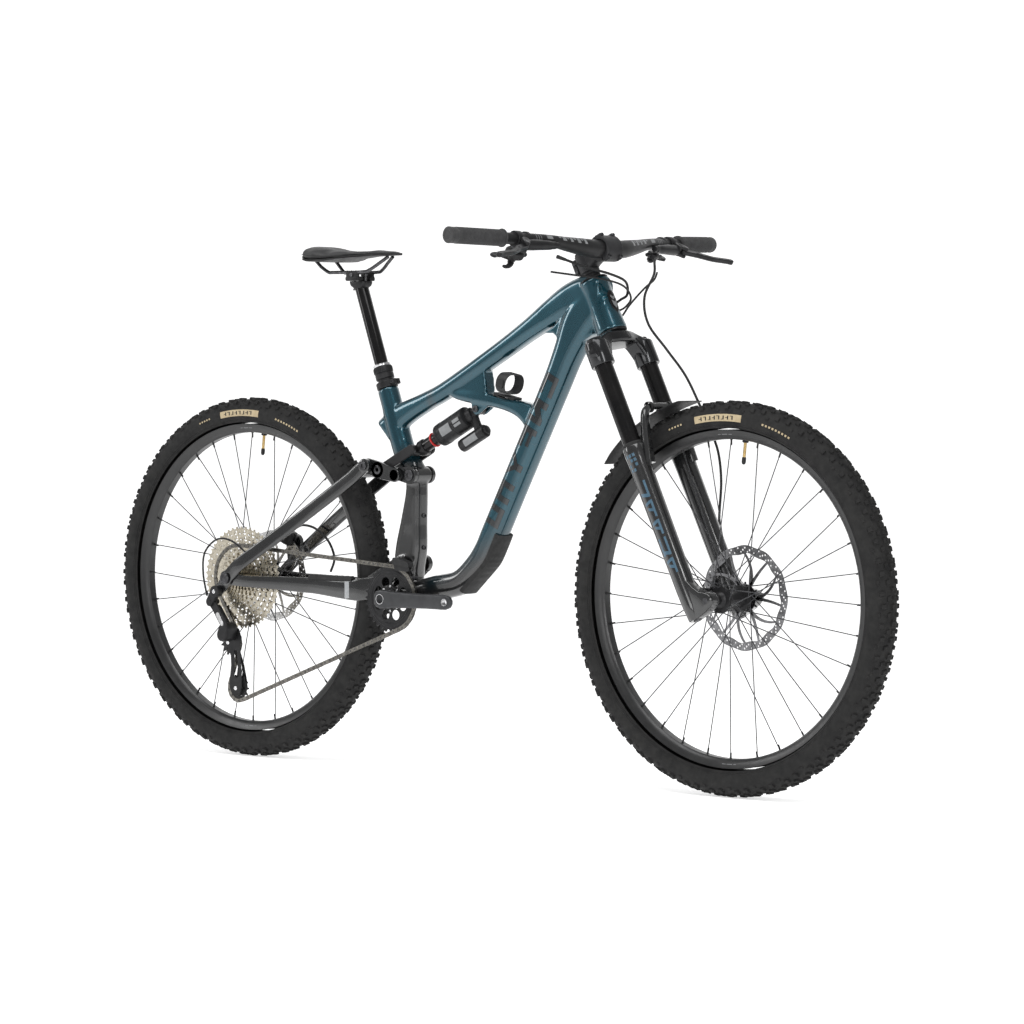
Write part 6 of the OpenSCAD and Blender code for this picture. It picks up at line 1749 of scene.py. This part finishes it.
    # shaft and yoke
    b = B()
    lathe(b, [(0.01, 98), (13, 98), (13, 178), (0.01, 178)], m, 56, axis="x", caps=False)
    b.make("shock_shaft_tube", "stanchion", "shock_shaft", ["shock_shaft_yoke"], smooth=35)
    b = B()
    rings = []
    for y, wx, wz in ((-32.6, 12, 15), (-29, 13.4, 19), (-15, 13.6, 23), (0, 14, 25.5), (15, 13.6, 23), (29, 13.4, 19), (32.6, 12, 15)):
        rings.append([(180.5 + u, y, w) for u, w in rrect(wx - 0.6, min(wz, 22), 5, 5)])
    loft(b, rings, m)
    for sy in (-1, 1):
        out = link_outline((176, 0), (L, 0), 9.8, 10.8, 18)
        rings = []
        for y, o in ((26.1, 0.8), (27, 0), (31.8, 0), (32.7, 0.8)):
            rings.append([(220 + (x - 220) * (1 - o / 50), y * sy, z * (1 - o / 11)) for x, z in out])
        loft(b, rings, m)
        lathe(b, [(0.01, 24.7 * sy), (6.3, 24.7 * sy), (6.5, 33.3 * sy), (0.01, 33.3 * sy)], m @ Matrix.Translation((L, 0, 0)), 28, caps=False)
    lathe(b, [(13.02, 160), (15.4, 160.6), (16, 162), (16, 172), (14.5, 175)], m, 48, axis="x", caps=False)
    b.make("shock_yoke", "alloy_black", "shock_shaft", smooth=38, bevel=0.5)


rocker_and_shock()

# ---------------------------------------------------------------- drivetrain
R_RING, R_COG, R_PUL = 64.785, 66.803, 26.534
COGS = [10, 12, 14, 16, 18, 21, 24, 28, 33, 39, 45, 51]


def sprocket(n, r_in_cut=None, tooth=3.2, root=2.6):
    """Outline of an n-tooth sprocket about the origin."""
    rp = 12.7 / (2 * sin(pi / n))
    out = []
    for i in range(n):
        a = 2 * pi * i / n
        p = 2 * pi / n
        for da, dr in ((-0.30, -root), (-0.17, -root * 0.6), (-0.09, tooth * 0.8), (0.0, tooth), (0.09, tooth * 0.8), (0.17, -root * 0.6), (0.30, -root)):
            out.append(((rp + dr) * cos(a + da * p * 1.25), (rp + dr) * sin(a + da * p * 1.25)))
    return out


def cranks():
    m = at(BB)
    b = B()
    # arms: right one forward, left one back
    for sy, flip in ((-1, 0), (1, 180)):
        mm = m @ Matrix.Rotation(radians(flip), 4, "Y")
        stn = [(-17, 6, 22), (-12, 11.6, 32), (0, 12.6, 38), (14, 12.8, 37), (35, 12.6, 33), (70, 12.0, 30.5), (120, 11.6, 29), (150, 12, 29.5), (158, 12.4, 30), (170, 12.4, 29.5), (180, 11.6, 22), (184.5, 8, 12)]
        rings = []
        for x, wy, hz in stn:
            rings.append([(x, (82.5 + u) * sy, w) for u, w in rrect(wy, hz, 4.2, 4)])
        loft(b, rings, mm)
    ob = b.make("crank_arm_shells", "crank_grey", "crankset", ["crank_arms"], smooth=45)
    ob_holes(ob, [(m, 0.0, 0.0, 10.2, -95, -80.5), (m, 0.0, 0.0, 10.2, 80.5, 95), (m, CRANK, 0.0, 7.2, -95, -70), (m, -CRANK, 0.0, 7.2, 70, 95)])
    # spindle, open at both ends, with bright rims and threads for the pedals
    q = B()
    torus_lathe(q, [(11.6, -75.9), (14.4, -75.9), (14.4, 75.9), (11.6, 75.9)], m, 56)
    q.make("crank_spindle", "steel_dark", "crankset", smooth=35)
    q = B()
    for sy in (-1, 1):
        torus_lathe(q, [(8.4, 80.8 * sy), (10.1, 80.8 * sy), (10.1, 88.9 * sy), (9.0, 88.9 * sy)], m, 40)
        torus_lathe(q, [(6.2, 77 * sy), (7.1, 77 * sy), (7.1, 88.7 * sy), (6.6, 88.7 * sy)], m @ Matrix.Translation((-CRANK * sy, 0, 0)), 32)
        for k in range(6):
            torus_lathe(q, [(5.9, (78.4 + k * 1.5) * sy), (6.3, (78.8 + k * 1.5) * sy), (6.3, (79.2 + k * 1.5) * sy), (5.9, (79.4 + k * 1.5) * sy)], m @ Matrix.Translation((-CRANK * sy, 0, 0)), 28)
    q.make("crank_bright_rims", "silver", "crankset", smooth=40)
    # chainring: teeth, scalloped web, eight lightening holes, bolts
    b = B()
    prism_holes(b, sprocket(32), [circle((35 * cos(radians(22.5 + 45 * i)), 35 * sin(radians(22.5 + 45 * i))), 10.4, 24) for i in range(8)] + [circle((0, 0), 14.6, 40)], Y_RING - 1.2, Y_RING + 1.2, m)
    torus_lathe(b, [(14.6, -61), (19.2, -61), (20, -60.2), (20, -54.6), (14.6, -54.6)], m, 48)
    torus_lathe(b, [(50, Y_RING - 2.2), (56.5, Y_RING - 2.2), (57.5, Y_RING - 1.2), (49, Y_RING - 1.2)], m, 72)
    b.make("chainring_teeth", "alloy_black", "crankset", ["chainring"], smooth=30)
    q = B()
    for i in range(8):
        a = radians(45 * i)
        mm = m @ Matrix.Translation((24.6 * cos(a), Y_RING - 1.2, 24.6 * sin(a)))
        bolt(q, mm, 2.6, 1.6)
    q.make("chainring_bolts", "silver", "crankset", smooth=35)


CRANK = 170.0


def ob_holes(ob, cuts):
    """Cut round holes along y: (frame, x, z, radius, y0, y1)."""
    for i, (m, x, z, r, y0, y1) in enumerate(cuts):
        c = B()
        lathe(c, [(r, y0), (r, y1)], m @ Matrix.Translation((x, 0, z)), 40)
        me = bpy.data.meshes.new("cut")
        me.from_pydata([(a * MM, b_ * MM, d * MM) for a, b_, d in c.v], [], c.f)
        bm = bmesh.new()
        bm.from_mesh(me)
        bmesh.ops.recalc_face_normals(bm, faces=bm.faces)
        bm.to_mesh(me)
        bm.free()
        co = bpy.data.objects.new("cut", me)
        bpy.context.scene.collection.objects.link(co)
        md = ob.modifiers.new("hole", "BOOLEAN")
        md.operation, md.object, md.solver = "DIFFERENCE", co, "EXACT"
        dg = bpy.context.evaluated_depsgraph_get()
        new = bpy.data.meshes.new_from_object(ob.evaluated_get(dg))
        ob.modifiers.remove(md)
        old = ob.data
        ob.data = new
        bpy.data.objects.remove(co)
        bpy.data.meshes.remove(me)
        bpy.data.meshes.remove(old)


cranks()


def cassette_cogs():
    m = at_axle(RA)
    b, d = B(), B()
    for i, n in enumerate(COGS):
        y = Y_COG - (8 - i) * 3.55 + 0.0
        y = -43.75 - (8 - i) * 3.55
        rp = 12.7 / (2 * sin(pi / n))
        inner = max(19.0, rp - 11.5)
        holes = [circle((0, 0), inner if n > 16 else 17.2, 60)]
        o = sprocket(n, tooth=2.4, root=2.2)
        if n > 20:
            # rows of round windows through the disc
            k = n // 2
            holes += [circle(((rp - 7.6) * cos(2 * pi * j / k), (rp - 7.6) * sin(2 * pi * j / k)), min(2.6, rp * 0.045), 8) for j in range(k)]
        prism_holes(b, o, holes, y - 0.85, y + 0.85, m)
        if i < len(COGS) - 1 and n > 16:
            for j in range(8):
                a = 2 * pi * j / 8 + i * 0.2
                r = inner + 1.6
                b.add(*block(3.2, 2.2, 5.0), m @ Matrix.Rotation(a, 4, "Y") @ Matrix.Translation((r, y + 1.78, 0)))
    # inner carrier arms behind the large cogs
    for j in range(8):
        a = 2 * pi * j / 8
        pts_o, pts_i = [], []
        for k in range(9):
            t = k / 8
            r = 18 + 72 * t
            aa = a + 0.5 * t
            pts_o.append((r * cos(aa + 2.6 / r), r * sin(aa + 2.6 / r)))
            pts_i.append((r * cos(aa - 2.6 / r), r * sin(aa - 2.6 / r)))
        prism(b, pts_o + pts_i[::-1], -34.8, -33.4, m)
    b.make("cassette_sprockets", "cassette_tan", "cassette", ["cassette"], smooth=30)
    torus_lathe(d, [(10.5, -73.6), (15.6, -73.6), (17.6, -72.6), (17.8, -71.4), (16.8, -70.6), (10.5, -70.6)], m, 44)
    d.make("cassette_lockring", "steel_dark", "cassette", smooth=35)


cassette_cogs()


def derailleur():
    b = B()
    H, P1 = (-648, 344), (-662, 322)

    def slab(out, y0, y1, e=0.9, mi=0):
        cx = sum(p[0] for p in out) / len(out)
        cz = sum(p[1] for p in out) / len(out)
        rings = []
        for y, o in ((y0, e), (y0 + e, 0), (y1 - e, 0), (y1, e)):
            rings.append([(cx + (x - cx) * (1 - o / 22), y, cz + (z - cz) * (1 - o / 22)) for x, z in out])
        loft(b, rings, None, mi)
    lathe(b, [(0.01, -79.2), (11.2, -79.2), (12, -80), (12, -90.6), (11, -92), (5, -92), (4.4, -90.2), (0.01, -90.2)], at(H), 40, caps=False)
    slab(link_outline(H, P1, 9.6, 9.2, 14), -91.8, -80.2)
    # body: a swelling outer link and the inner link
    slab([(-668, 330), (-656, 331), (-644, 318), (-622, 290), (-617, 279), (-619, 270), (-627, 268), (-636, 277), (-655, 304), (-668, 318)], -88.2, -83.8, 1.4)
    slab(link_outline((-655, 310), (-625, 272), 6, 6, 10), -74, -68)
    lathe(b, [(0.01, -66), (5.6, -66), (6, -66.6), (6, -92.2), (5.4, -93), (0.01, -93)], at(P1), 28, caps=False)
    # lower knuckle drum
    rings = []
    out = link_outline((-627, 268), (-632, 254), 12.5, 13.5, 18)
    for y, o in ((-88, 2.6), (-86, 0.8), (-82, 0), (-60, 0), (-55, 0.8), (-54, 2)):
        rings.append([(-629.5 + (x + 629.5) * (1 - o / 15), y, 261 + (z - 261) * (1 - o / 15)) for x, z in out])
    loft(b, rings)
    b.make("derailleur_body", "alloy_black", "chainstay", ["rear_derailleur"], smooth=38, bevel=0.3)
    # cage plates with windows
    c = B()
    outer = [(-640, 270), (-628, 274), (-614, 266), (-608, 250), (-612, 228), (-609, 200), (-607, 165), (-606.5, 146), (-610, 132), (-622, 126.2), (-634, 131), (-640, 143), (-640, 160), (-636, 190), (-637, 210), (-646, 226), (-656, 236), (-655, 248), (-648, 262)]
    win = [(-628, 222), (-620, 222), (-617, 196), (-615, 168), (-622, 164), (-628, 168), (-627, 196)]
    prism_holes(c, outer, [win, circle(GP, 3.0, 16), circle(TP, 3.0, 16)], -53.5, -51.5)
    inner = [(-656, 238), (-652, 247), (-642, 248), (-634, 236), (-626, 215), (-616, 190), (-608, 158), (-606.5, 144), (-611, 131), (-622, 126.3), (-634, 131), (-640, 142), (-638, 160), (-634, 185), (-642, 210), (-652, 226)]
    win = [(-633, 214), (-626, 200), (-620, 176), (-623, 166), (-629, 172), (-629, 190)]
    prism_holes(c, inner, [win, circle(GP, 3.0, 16), circle(TP, 3.0, 16)], -36.0, -34.4)
    c.make("derailleur_cage", "alloy_black", "chainstay", smooth=30, bevel=0.3)
    q = B()
    for p in (GP, TP):
        lathe(q, [(0.01, -33.3), (2.8, -33.3), (2.8, -53.4), (4.2, -53.4), (4.4, -54.2), (3.8, -54.9), (1.9, -54.9), (1.7, -54.0), (0.01, -54.0)], at(p), 24, caps=False)
    bolt(q, at(H) @ Matrix.Translation((0, -91.4, 0)), 4.2, 1.4)
    lathe(q, [(0.01, -88.4), (3.6, -88.4), (3.4, -89.4), (0.01, -89.4)], at((-627, 281)), 20, caps=False)
    q.make("derailleur_bolts", "silver", "chainstay", smooth=35)
    # bright link plate low on the drum
    q = B()
    prism(q, link_outline((-640, 296), (-628, 278), 5.2, 4.4, 10), -89.0, -88.2)
    q.make("derailleur_bright_link", "steel", "chainstay", smooth=30, bevel=0.2)
    for p, body, nd, nm in ((GP, "guide_pulley", "guide_pulley", "guide_pulley_wheel"), (TP, "tension_pulley", "tension_pulley", "tension_pulley_wheel")):
        w = B()
        m = at(p)
        holes = [circle((0, 0), 8.0, 24)] + [circle((14.6 * cos(2 * pi * i / 6), 14.6 * sin(2 * pi * i / 6)), 3.4, 12) for i in range(6)]
        prism_holes(w, sprocket(13, tooth=2.0, root=4.2), holes, Y_COG - 1.1, Y_COG + 1.1, m)
        torus_lathe(w, [(3.05, Y_COG - 3.2), (7.6, Y_COG - 3.2), (8.2, Y_COG - 2.6), (8.2, Y_COG + 2.6), (7.6, Y_COG + 3.2), (3.05, Y_COG + 3.2)], m, 32)
        w.make(nm, "plastic", body, [nd], smooth=30)


derailleur()


def chain_links():
    def arc(c, r, a0, a1, n):
        return [(c[0] + r * cos(radians(a0 + (a1 - a0) * i / n)), c[1] + r * sin(radians(a0 + (a1 - a0) * i / n))) for i in range(n + 1)]
    t1, t2, t3, t4 = 86.165, -69.624, 159.826, 33.297
    g4 = t4 if t4 > t3 - 180 else t4 + 360
    e4 = t4 + 180 if t4 + 180 > t1 else t4 + 540
    P = [(x, Y_RING, z) for x, z in arc(BB, R_RING, t1, t2, 40)]
    P += [(x, Y_COG, z) for x, z in arc(TP, R_PUL, t2, t3 - 360, 24)]
    P += [(x, Y_COG, z) for x, z in arc(GP, R_PUL, t3 - 180, g4, 24)]
    P += [(x, Y_COG, z) for x, z in arc(RA, R_COG, e4, t1, 40)]
    P = [Vector(p) for p in P]
    P.append(P[0])
    acc = [0.0]
    for i in range(len(P) - 1):
        acc.append(acc[-1] + (P[i + 1] - P[i]).length)
    total = acc[-1]
    n = int(round(total / 12.7 / 2)) * 2
    pitch = total / n

    def atlen(s):
        s %= total
        lo, hi = 0, len(acc) - 1
        while hi - lo > 1:
            md = (lo + hi) // 2
            if acc[md] <= s:
                lo = md
            else:
                hi = md
        t = (s - acc[lo]) / max(acc[hi] - acc[lo], 1e-9)
        return P[lo].lerp(P[hi], t)
    pins = [atlen(i * pitch) for i in range(n)]
    b, r = B(), B()
    plate = [(u, w) for u, w in link_outline((0, 0), (12.7, 0), 3.9, 3.9, 5)]
    for i in range(n):
        a, c = pins[i], pins[(i + 1) % n]
        d = c - a
        ang = degrees(atan2(d.z, d.x))
        L = hypot(d.x, d.z)
        mm = at((a.x, a.z), ang, a.y) @ Matrix.Diagonal((L / 12.7, 1, 1, 1))
        sh = (c.y - a.y)
        o = 1.55 if i % 2 else 2.15
        for s in (-1, 1):
            y0, y1 = s * o - 0.38, s * o + 0.38
            k = len(plate)
            wa = [1.0 - 0.22 * max(0.0, 1 - abs(u - 6.35) / 4.2) for u, w in plate]
            v = [(u, y0 + sh * u / 12.7, w * wa[j]) for j, (u, w) in enumerate(plate)] + [(u, y1 + sh * u / 12.7, w * wa[j]) for j, (u, w) in enumerate(plate)]
            f = [tuple(range(k)), tuple(range(2 * k - 1, k - 1, -1))] + [(j, j + k, (j + 1) % k + k, (j + 1) % k) for j in range(k)]
            b.add(v, f, mm)
        lathe(r, [(1.7, -2.75), (1.7, 2.75)], at((a.x, a.z), 0, a.y), 9)
        lathe(r, [(3.7, -1.1), (3.7, 1.1)], at((a.x, a.z), 0, a.y), 10)
    b.make("chain_plates", "chain_metal", "frame", ["chain"], smooth=30)
    r.make("chain_rollers", "steel_dark", "frame", smooth=35)


chain_links()


def guide():
    b = B()
    prism_holes(b, link_outline((-150, 388), (-156, 412), 9, 8, 12), [circle((-150, 386), 2.6, 12)], -49.5, -48.0)
    prism(b, [(-176, 414.8), (-168, 413.4), (-140, 408.6), (-134, 409.0), (-133, 413), (-134.5, 418.4), (-142, 421.6), (-168, 427.6), (-174, 427.6), (-176.2, 424)], -65.8, -49.6)
    prism(b, [(-176, 414.5), (-134, 408), (-135, 401.5), (-141, 400.2), (-168, 402.2), (-173.4, 404)], -62, -60.6)
    b.make("chain_guide_shell", "plastic", "frame", ["chain_guide"], smooth=35, bevel=0.7)
    q = B()
    bolt(q, at((-150, 386)) @ Matrix.Translation((0, -49.5, 0)), 4.2, 2.4)
    lathe(q, [(4.6, -48), (4.6, -22.6)], at((-150, 386)), 20)
    q.make("chain_guide_bolt", "steel_dark", "frame", smooth=35)


guide()


def accessory_loop():
    """An elastic strap round a bracket under the top tube, with a ribbed face."""
    m = at((20, 740), degrees(atan2(-20, 92)))
    b = B()
    rings = []
    base = rrect(58, 40, 18, 10)
    for x, o in ((35.2, -0.3), (35.8, 0.0), (58.2, 0.0), (58.8, -0.3)):
        rings.append((x, o))
    n = len(base)

    def ring(x, o, k):
        out = []
        for i, (u, w) in enumerate(base):
            L = hypot(u, w)
            out.append((x, u * (1 + (o - k) / L), 46 + w * (1 + (o - k) / L)))
        return out
    rr = [ring(x, o, 0) for x, o in rings] + [ring(x, o, 1.45) for x, o in reversed(rings)]
    v = [p for r in rr for p in r]
    f = ring_faces(n, len(rr), closed=True)
    b.add(v, f, m)
    for i in range(0, n, 1):
        u, w = base[i]
        u2, w2 = base[(i + 1) % n]
        if hypot(u2 - u, w2 - w) > 8:
            K = int(hypot(u2 - u, w2 - w) / 3.2)
            for k in range(1, K):
                t = k / K
                a = atan2(w, u)
                cu, cw = u + (u2 - u) * t, w + (w2 - w) * t
                L = hypot(cu, cw)
                ang = atan2(w2 - w, u2 - u)
                b.add(*block(20, 1.1, 0.7), m @ Matrix.Translation((47, cu * (1 + 0.2 / L), 46 + cw * (1 + 0.2 / L))) @ Matrix.Rotation(ang, 4, "X"))
    b.make("strap_band", "strap_fabric", "frame", ["accessory_strap"], smooth=40)
    q = B()
    rings = []
    for x, s in ((19.3, 0.9), (21, 1.0), (73, 1.0), (74.7, 0.9)):
        rings.append([(x, u * s, 20.6 + w * s) for u, w in rrect(25.6, 3.6, 1.4, 3)])
    loft(q, rings, m)
    for sx in (-1, 1):
        rings = []
        for z, s in ((14.6, 1.0), (19, 1.0)):
            rings.append([(47 + sx * 21 + u * s, w * s, z) for u, w in rrect(12.6, 25.4, 2.4, 3)])
        loft(q, rings, m)
    rings = []
    for z, s in ((14.6, 1.0), (16.8, 1.0)):
        rings.append([(47 + u * s, w * s, z) for u, w in rrect(54, 25.4, 2.4, 3)])
    loft(q, rings, m)
    # buckle
    rings = []
    for x, s in ((38, 0.9), (39.5, 1.0), (54.5, 1.0), (56, 0.9)):
        rings.append([(x, -30.2 + u * s, 46 + w * s) for u, w in rrect(3.6, 17, 1.6, 3)])
    loft(q, rings, m)
    q.make("strap_bracket", "plastic", "frame", smooth=38, bevel=0.4)


accessory_loop()


# ---------------------------------------------------------------- post and saddle
def post_and_saddle():
    b = B()
    lathe(b, [(0.01, -29.8), (12.6, -29.8), (13.9, -28.6), (13.9, 214), (13.4, 216), (11, 219), (0.01, 219)], SEAT, 64, axis="z", caps=False)
    b.make("dropper_post_tube", "stanchion", "dropper", ["dropper_post"], smooth=35)
    m = SEAT @ Matrix.Translation((0, 0, 220)) @ Matrix.Rotation(radians(19.3), 4, "Y")
    b = B()
    rings = []
    for z, wx, wy, r in ((-8, 26, 26, 12), (-4, 30, 28, 12), (0, 38, 31, 9), (6, 41, 31.6, 7), (9.4, 40, 31, 7)):
        rings.append([(u - 0.5, w, z) for u, w in rrect(wx, wy, r, 6)])
    loft(b, rings, m)
    for sy in (-1, 1):
        rings = []
        for x, s in ((-20.6, 0.9), (-19, 1.0), (13, 1.0), (14.6, 0.9)):
            rings.append([(x, (18 + u * s) * sy, 14.2 + w * s) for u, w in rrect(15.6, 9, 3, 4)])
        loft(b, rings, m)
        # outer cheeks holding the rails
        rings = []
        for y, s in ((18.6, 0.94), (19.4, 1.0), (25.0, 1.0), (25.9, 0.93)):
            rings.append([(-3 + u * s, y * sy, 22 + w * s) for u, w in rrect(31.6, 15.6, 5, 5)])
        loft(b, rings, m)
    b.make("saddle_clamp", "alloy_black", "dropper", smooth=40, bevel=0.4)
    q = B()
    for sx in (-17.6, 12.4):
        lathe(q, [(0.01, -9), (3.4, -9), (3.6, -8.6), (3.6, -6.0), (2.4, -6), (2.4, 20.4), (3.8, 20.6), (3.8, 23.8), (0.01, 24)], m @ Matrix.Translation((sx, 0, 0)), 24, axis="z", caps=False)
    for sy in (-1, 1):
        lathe(q, [(0.01, 25.8 * sy), (4.0, 25.8 * sy), (4.0, 27.6 * sy), (3.4, 28.2 * sy), (0.01, 28.2 * sy)], m @ Matrix.Translation((-3, 0, 22)), 24, caps=False)
    q.make("saddle_clamp_bolts", "steel_dark", "dropper", smooth=35)

    def sd(x, y, z):
        return Vector((-336.5 + x, y, 1000 + z))
    b = B()
    for sy in (-1, 1):
        pts = [sd(-82, 30 * sy, 25)] + spl([sd(-66, 28.5 * sy, 10), sd(-50, 24 * sy, -1), sd(-36, 22 * sy, -2), sd(40, 22 * sy, -2), sd(58, 19 * sy, 2), sd(80, 12 * sy, 16)], 8) + [sd(98, 7 * sy, 28)]
        tube(b, pts, 3.5, 20)
        for k in range(5):
            c = sd(-24 + 12 * k, 22 * sy, -2)
            tube(b, [c - Vector((0.3, 0, 0)), c + Vector((0.3, 0, 0))], 3.62, 20)
    b.make("saddle_rail_pair", "steel_dark", "dropper", ["saddle_rails"], smooth=50)
    # shell underneath
    X0, X1 = -450.0, -208.5

    def half_w(x):
        T = [(-450, 30), (-444, 44), (-424, 61), (-398, 66), (-364, 53), (-326, 35), (-280, 23), (-225, 18.5), (-214, 12), (-208.5, 3)]
        for i in range(len(T) - 1):
            if x <= T[i + 1][0]:
                t = (x - T[i][0]) / (T[i + 1][0] - T[i][0])
                t = t * t * (3 - 2 * t) if i not in (0, len(T) - 2) else t
                return T[i][1] * (1 - t) + T[i + 1][1] * t
        return 3

    def top_z(x):
        T = [(-450, 1040), (-444, 1049), (-428, 1053.8), (-404, 1051.5), (-370, 1045), (-330, 1041.2), (-290, 1041.2), (-250, 1043.6), (-226, 1042.6), (-214, 1039), (-208.5, 1034)]
        for i in range(len(T) - 1):
            if x <= T[i + 1][0]:
                t = (x - T[i][0]) / (T[i + 1][0] - T[i][0])
                return T[i][1] * (1 - t) + T[i + 1][1] * t
        return 1034

    def bot_z(x):
        T = [(-450, 1034), (-438, 1026), (-414, 1020.2), (-378, 1020.6), (-330, 1026.5), (-285, 1029.5), (-230, 1030.5), (-208.5, 1031)]
        for i in range(len(T) - 1):
            if x <= T[i + 1][0]:
                t = (x - T[i][0]) / (T[i + 1][0] - T[i][0])
                return T[i][1] * (1 - t) + T[i + 1][1] * t
        return 1030
    b = B()
    rings = []
    for i in range(41):
        x = X0 + 1.5 + (X1 - X0 - 3) * i / 40
        h, zt, zb = half_w(x) - 1.6, bot_z(x) + 3.0, bot_z(x) - 0.6
        up = []
        for k in range(13):
            u = -1 + k / 6
            up.append((x, h * u, zb + 1.8 * abs(u) ** 2 * 0.4))
        dn = []
        for k in range(12, -1, -1):
            u = -1 + k / 6
            dn.append((x, h * 0.96 * u, zt + 1.0))
        rings.append(up + dn)
    loft(b, rings)
    b.make("saddle_shell", "plastic", "dropper", smooth=40)
    # padded cover: a crowned body, blown up gently by a cloth step
    n, mseg = 60, 40
    verts, faces = [], []
    for i in range(n + 1):
        t = i / n
        x = X0 + 2.5 + (X1 - X0 - 5) * (0.5 - 0.5 * cos(pi * t)) if True else 0
        h = max(half_w(x) - 2.4, 2.0)
        zt, zb = top_z(x) - 2.2, bot_z(x) + 2.4
        groove = 3.4 * max(0.0, 1 - abs((x + 350) / 78)) ** 0.6
        for j in range(mseg):
            a = 2 * pi * j / mseg
            cy, cz = cos(a), sin(a)
            e = 0.62
            u = abs(cy) ** e * (1 if cy > 0 else -1)
            w = abs(cz) ** e * (1 if cz > 0 else -1)
            zc, hz = (zt + zb) / 2, max((zt - zb) / 2, 2.5)
            droop = 5.0 * (abs(u) ** 2.2) * min(1, h / 60)
            z = zc + hz * w - (droop if w > 0 else droop * 0.25)
            if w > 0:
                z -= groove * max(0.0, 1 - abs(u * h) / 7.5) * w
            verts.append((x, h * u, z))
    faces = ring_faces(mseg, n + 1)
    faces.append(tuple(range(mseg - 1, -1, -1)))
    faces.append(tuple(n * mseg + j for j in range(mseg)))
    s = B()
    s.add(verts, faces)
    ob = s.make("saddle_cover", "saddle_cover", "dropper", ["saddle"], smooth=0)
    ob.data.polygons.foreach_set("use_smooth", [True] * len(ob.data.polygons))
    rm = ob.modifiers.new("remesh", "REMESH")
    rm.mode, rm.voxel_size, rm.use_smooth_shade = "VOXEL", 0.0042, True
    dg = bpy.context.evaluated_depsgraph_get()
    me = bpy.data.meshes.new_from_object(ob.evaluated_get(dg))
    ob.modifiers.remove(rm)
    ob.data = me
    base = [v.co.copy() for v in me.vertices]
    low = [v for v in range(len(base)) if base[v].z < 1.0265]
    vg = ob.vertex_groups.new(name="held")
    vg.add(low, 1.0, "REPLACE")
    cl = ob.modifiers.new("cloth", "CLOTH")
    st = cl.settings
    st.quality = 6
    st.mass = 0.2
    st.tension_stiffness = st.compression_stiffness = 28
    st.shear_stiffness = 16
    st.bending_stiffness = 3
    st.use_pressure = True
    st.uniform_pressure_force = 4
    st.effector_weights.gravity = 0
    st.vertex_group_mass = "held"
    cl.collision_settings.use_collision = False
    cl.collision_settings.use_self_collision = False
    cl.point_cache.frame_start, cl.point_cache.frame_end = 1, 20
    sc = bpy.context.scene
    for fr in range(1, 21):
        sc.frame_set(fr)
    dg = bpy.context.evaluated_depsgraph_get()
    ev = ob.evaluated_get(dg)
    got = [v.co.copy() for v in ev.data.vertices]
    ob.modifiers.remove(cl)
    sc.frame_set(1)
    cap = 0.0016
    for v, c0, c1 in zip(me.vertices, base, got):
        d = c1 - c0
        if d.length > cap:
            d = d.normalized() * cap
        v.co = c0 + d
    me.update()
    me.materials.clear()
    me.materials.append(MATS["saddle_cover"])
    sb = ob.modifiers.new("subsurf", "SUBSURF")
    sb.levels = sb.render_levels = 1
    # sewn edge line
    q = B()
    for sy in (-1, 1):
        pts = []
        for i in range(46):
            x = X0 + 10 + (X1 - X0 - 24) * i / 45
            pts.append(Vector((x, (half_w(x) - 0.9) * sy, (top_z(x) + bot_z(x)) / 2 - 3.6)))
        tube(q, pts, 0.75, 8)
    q.make("saddle_welt", "rubber", "dropper", smooth=50)


post_and_saddle()
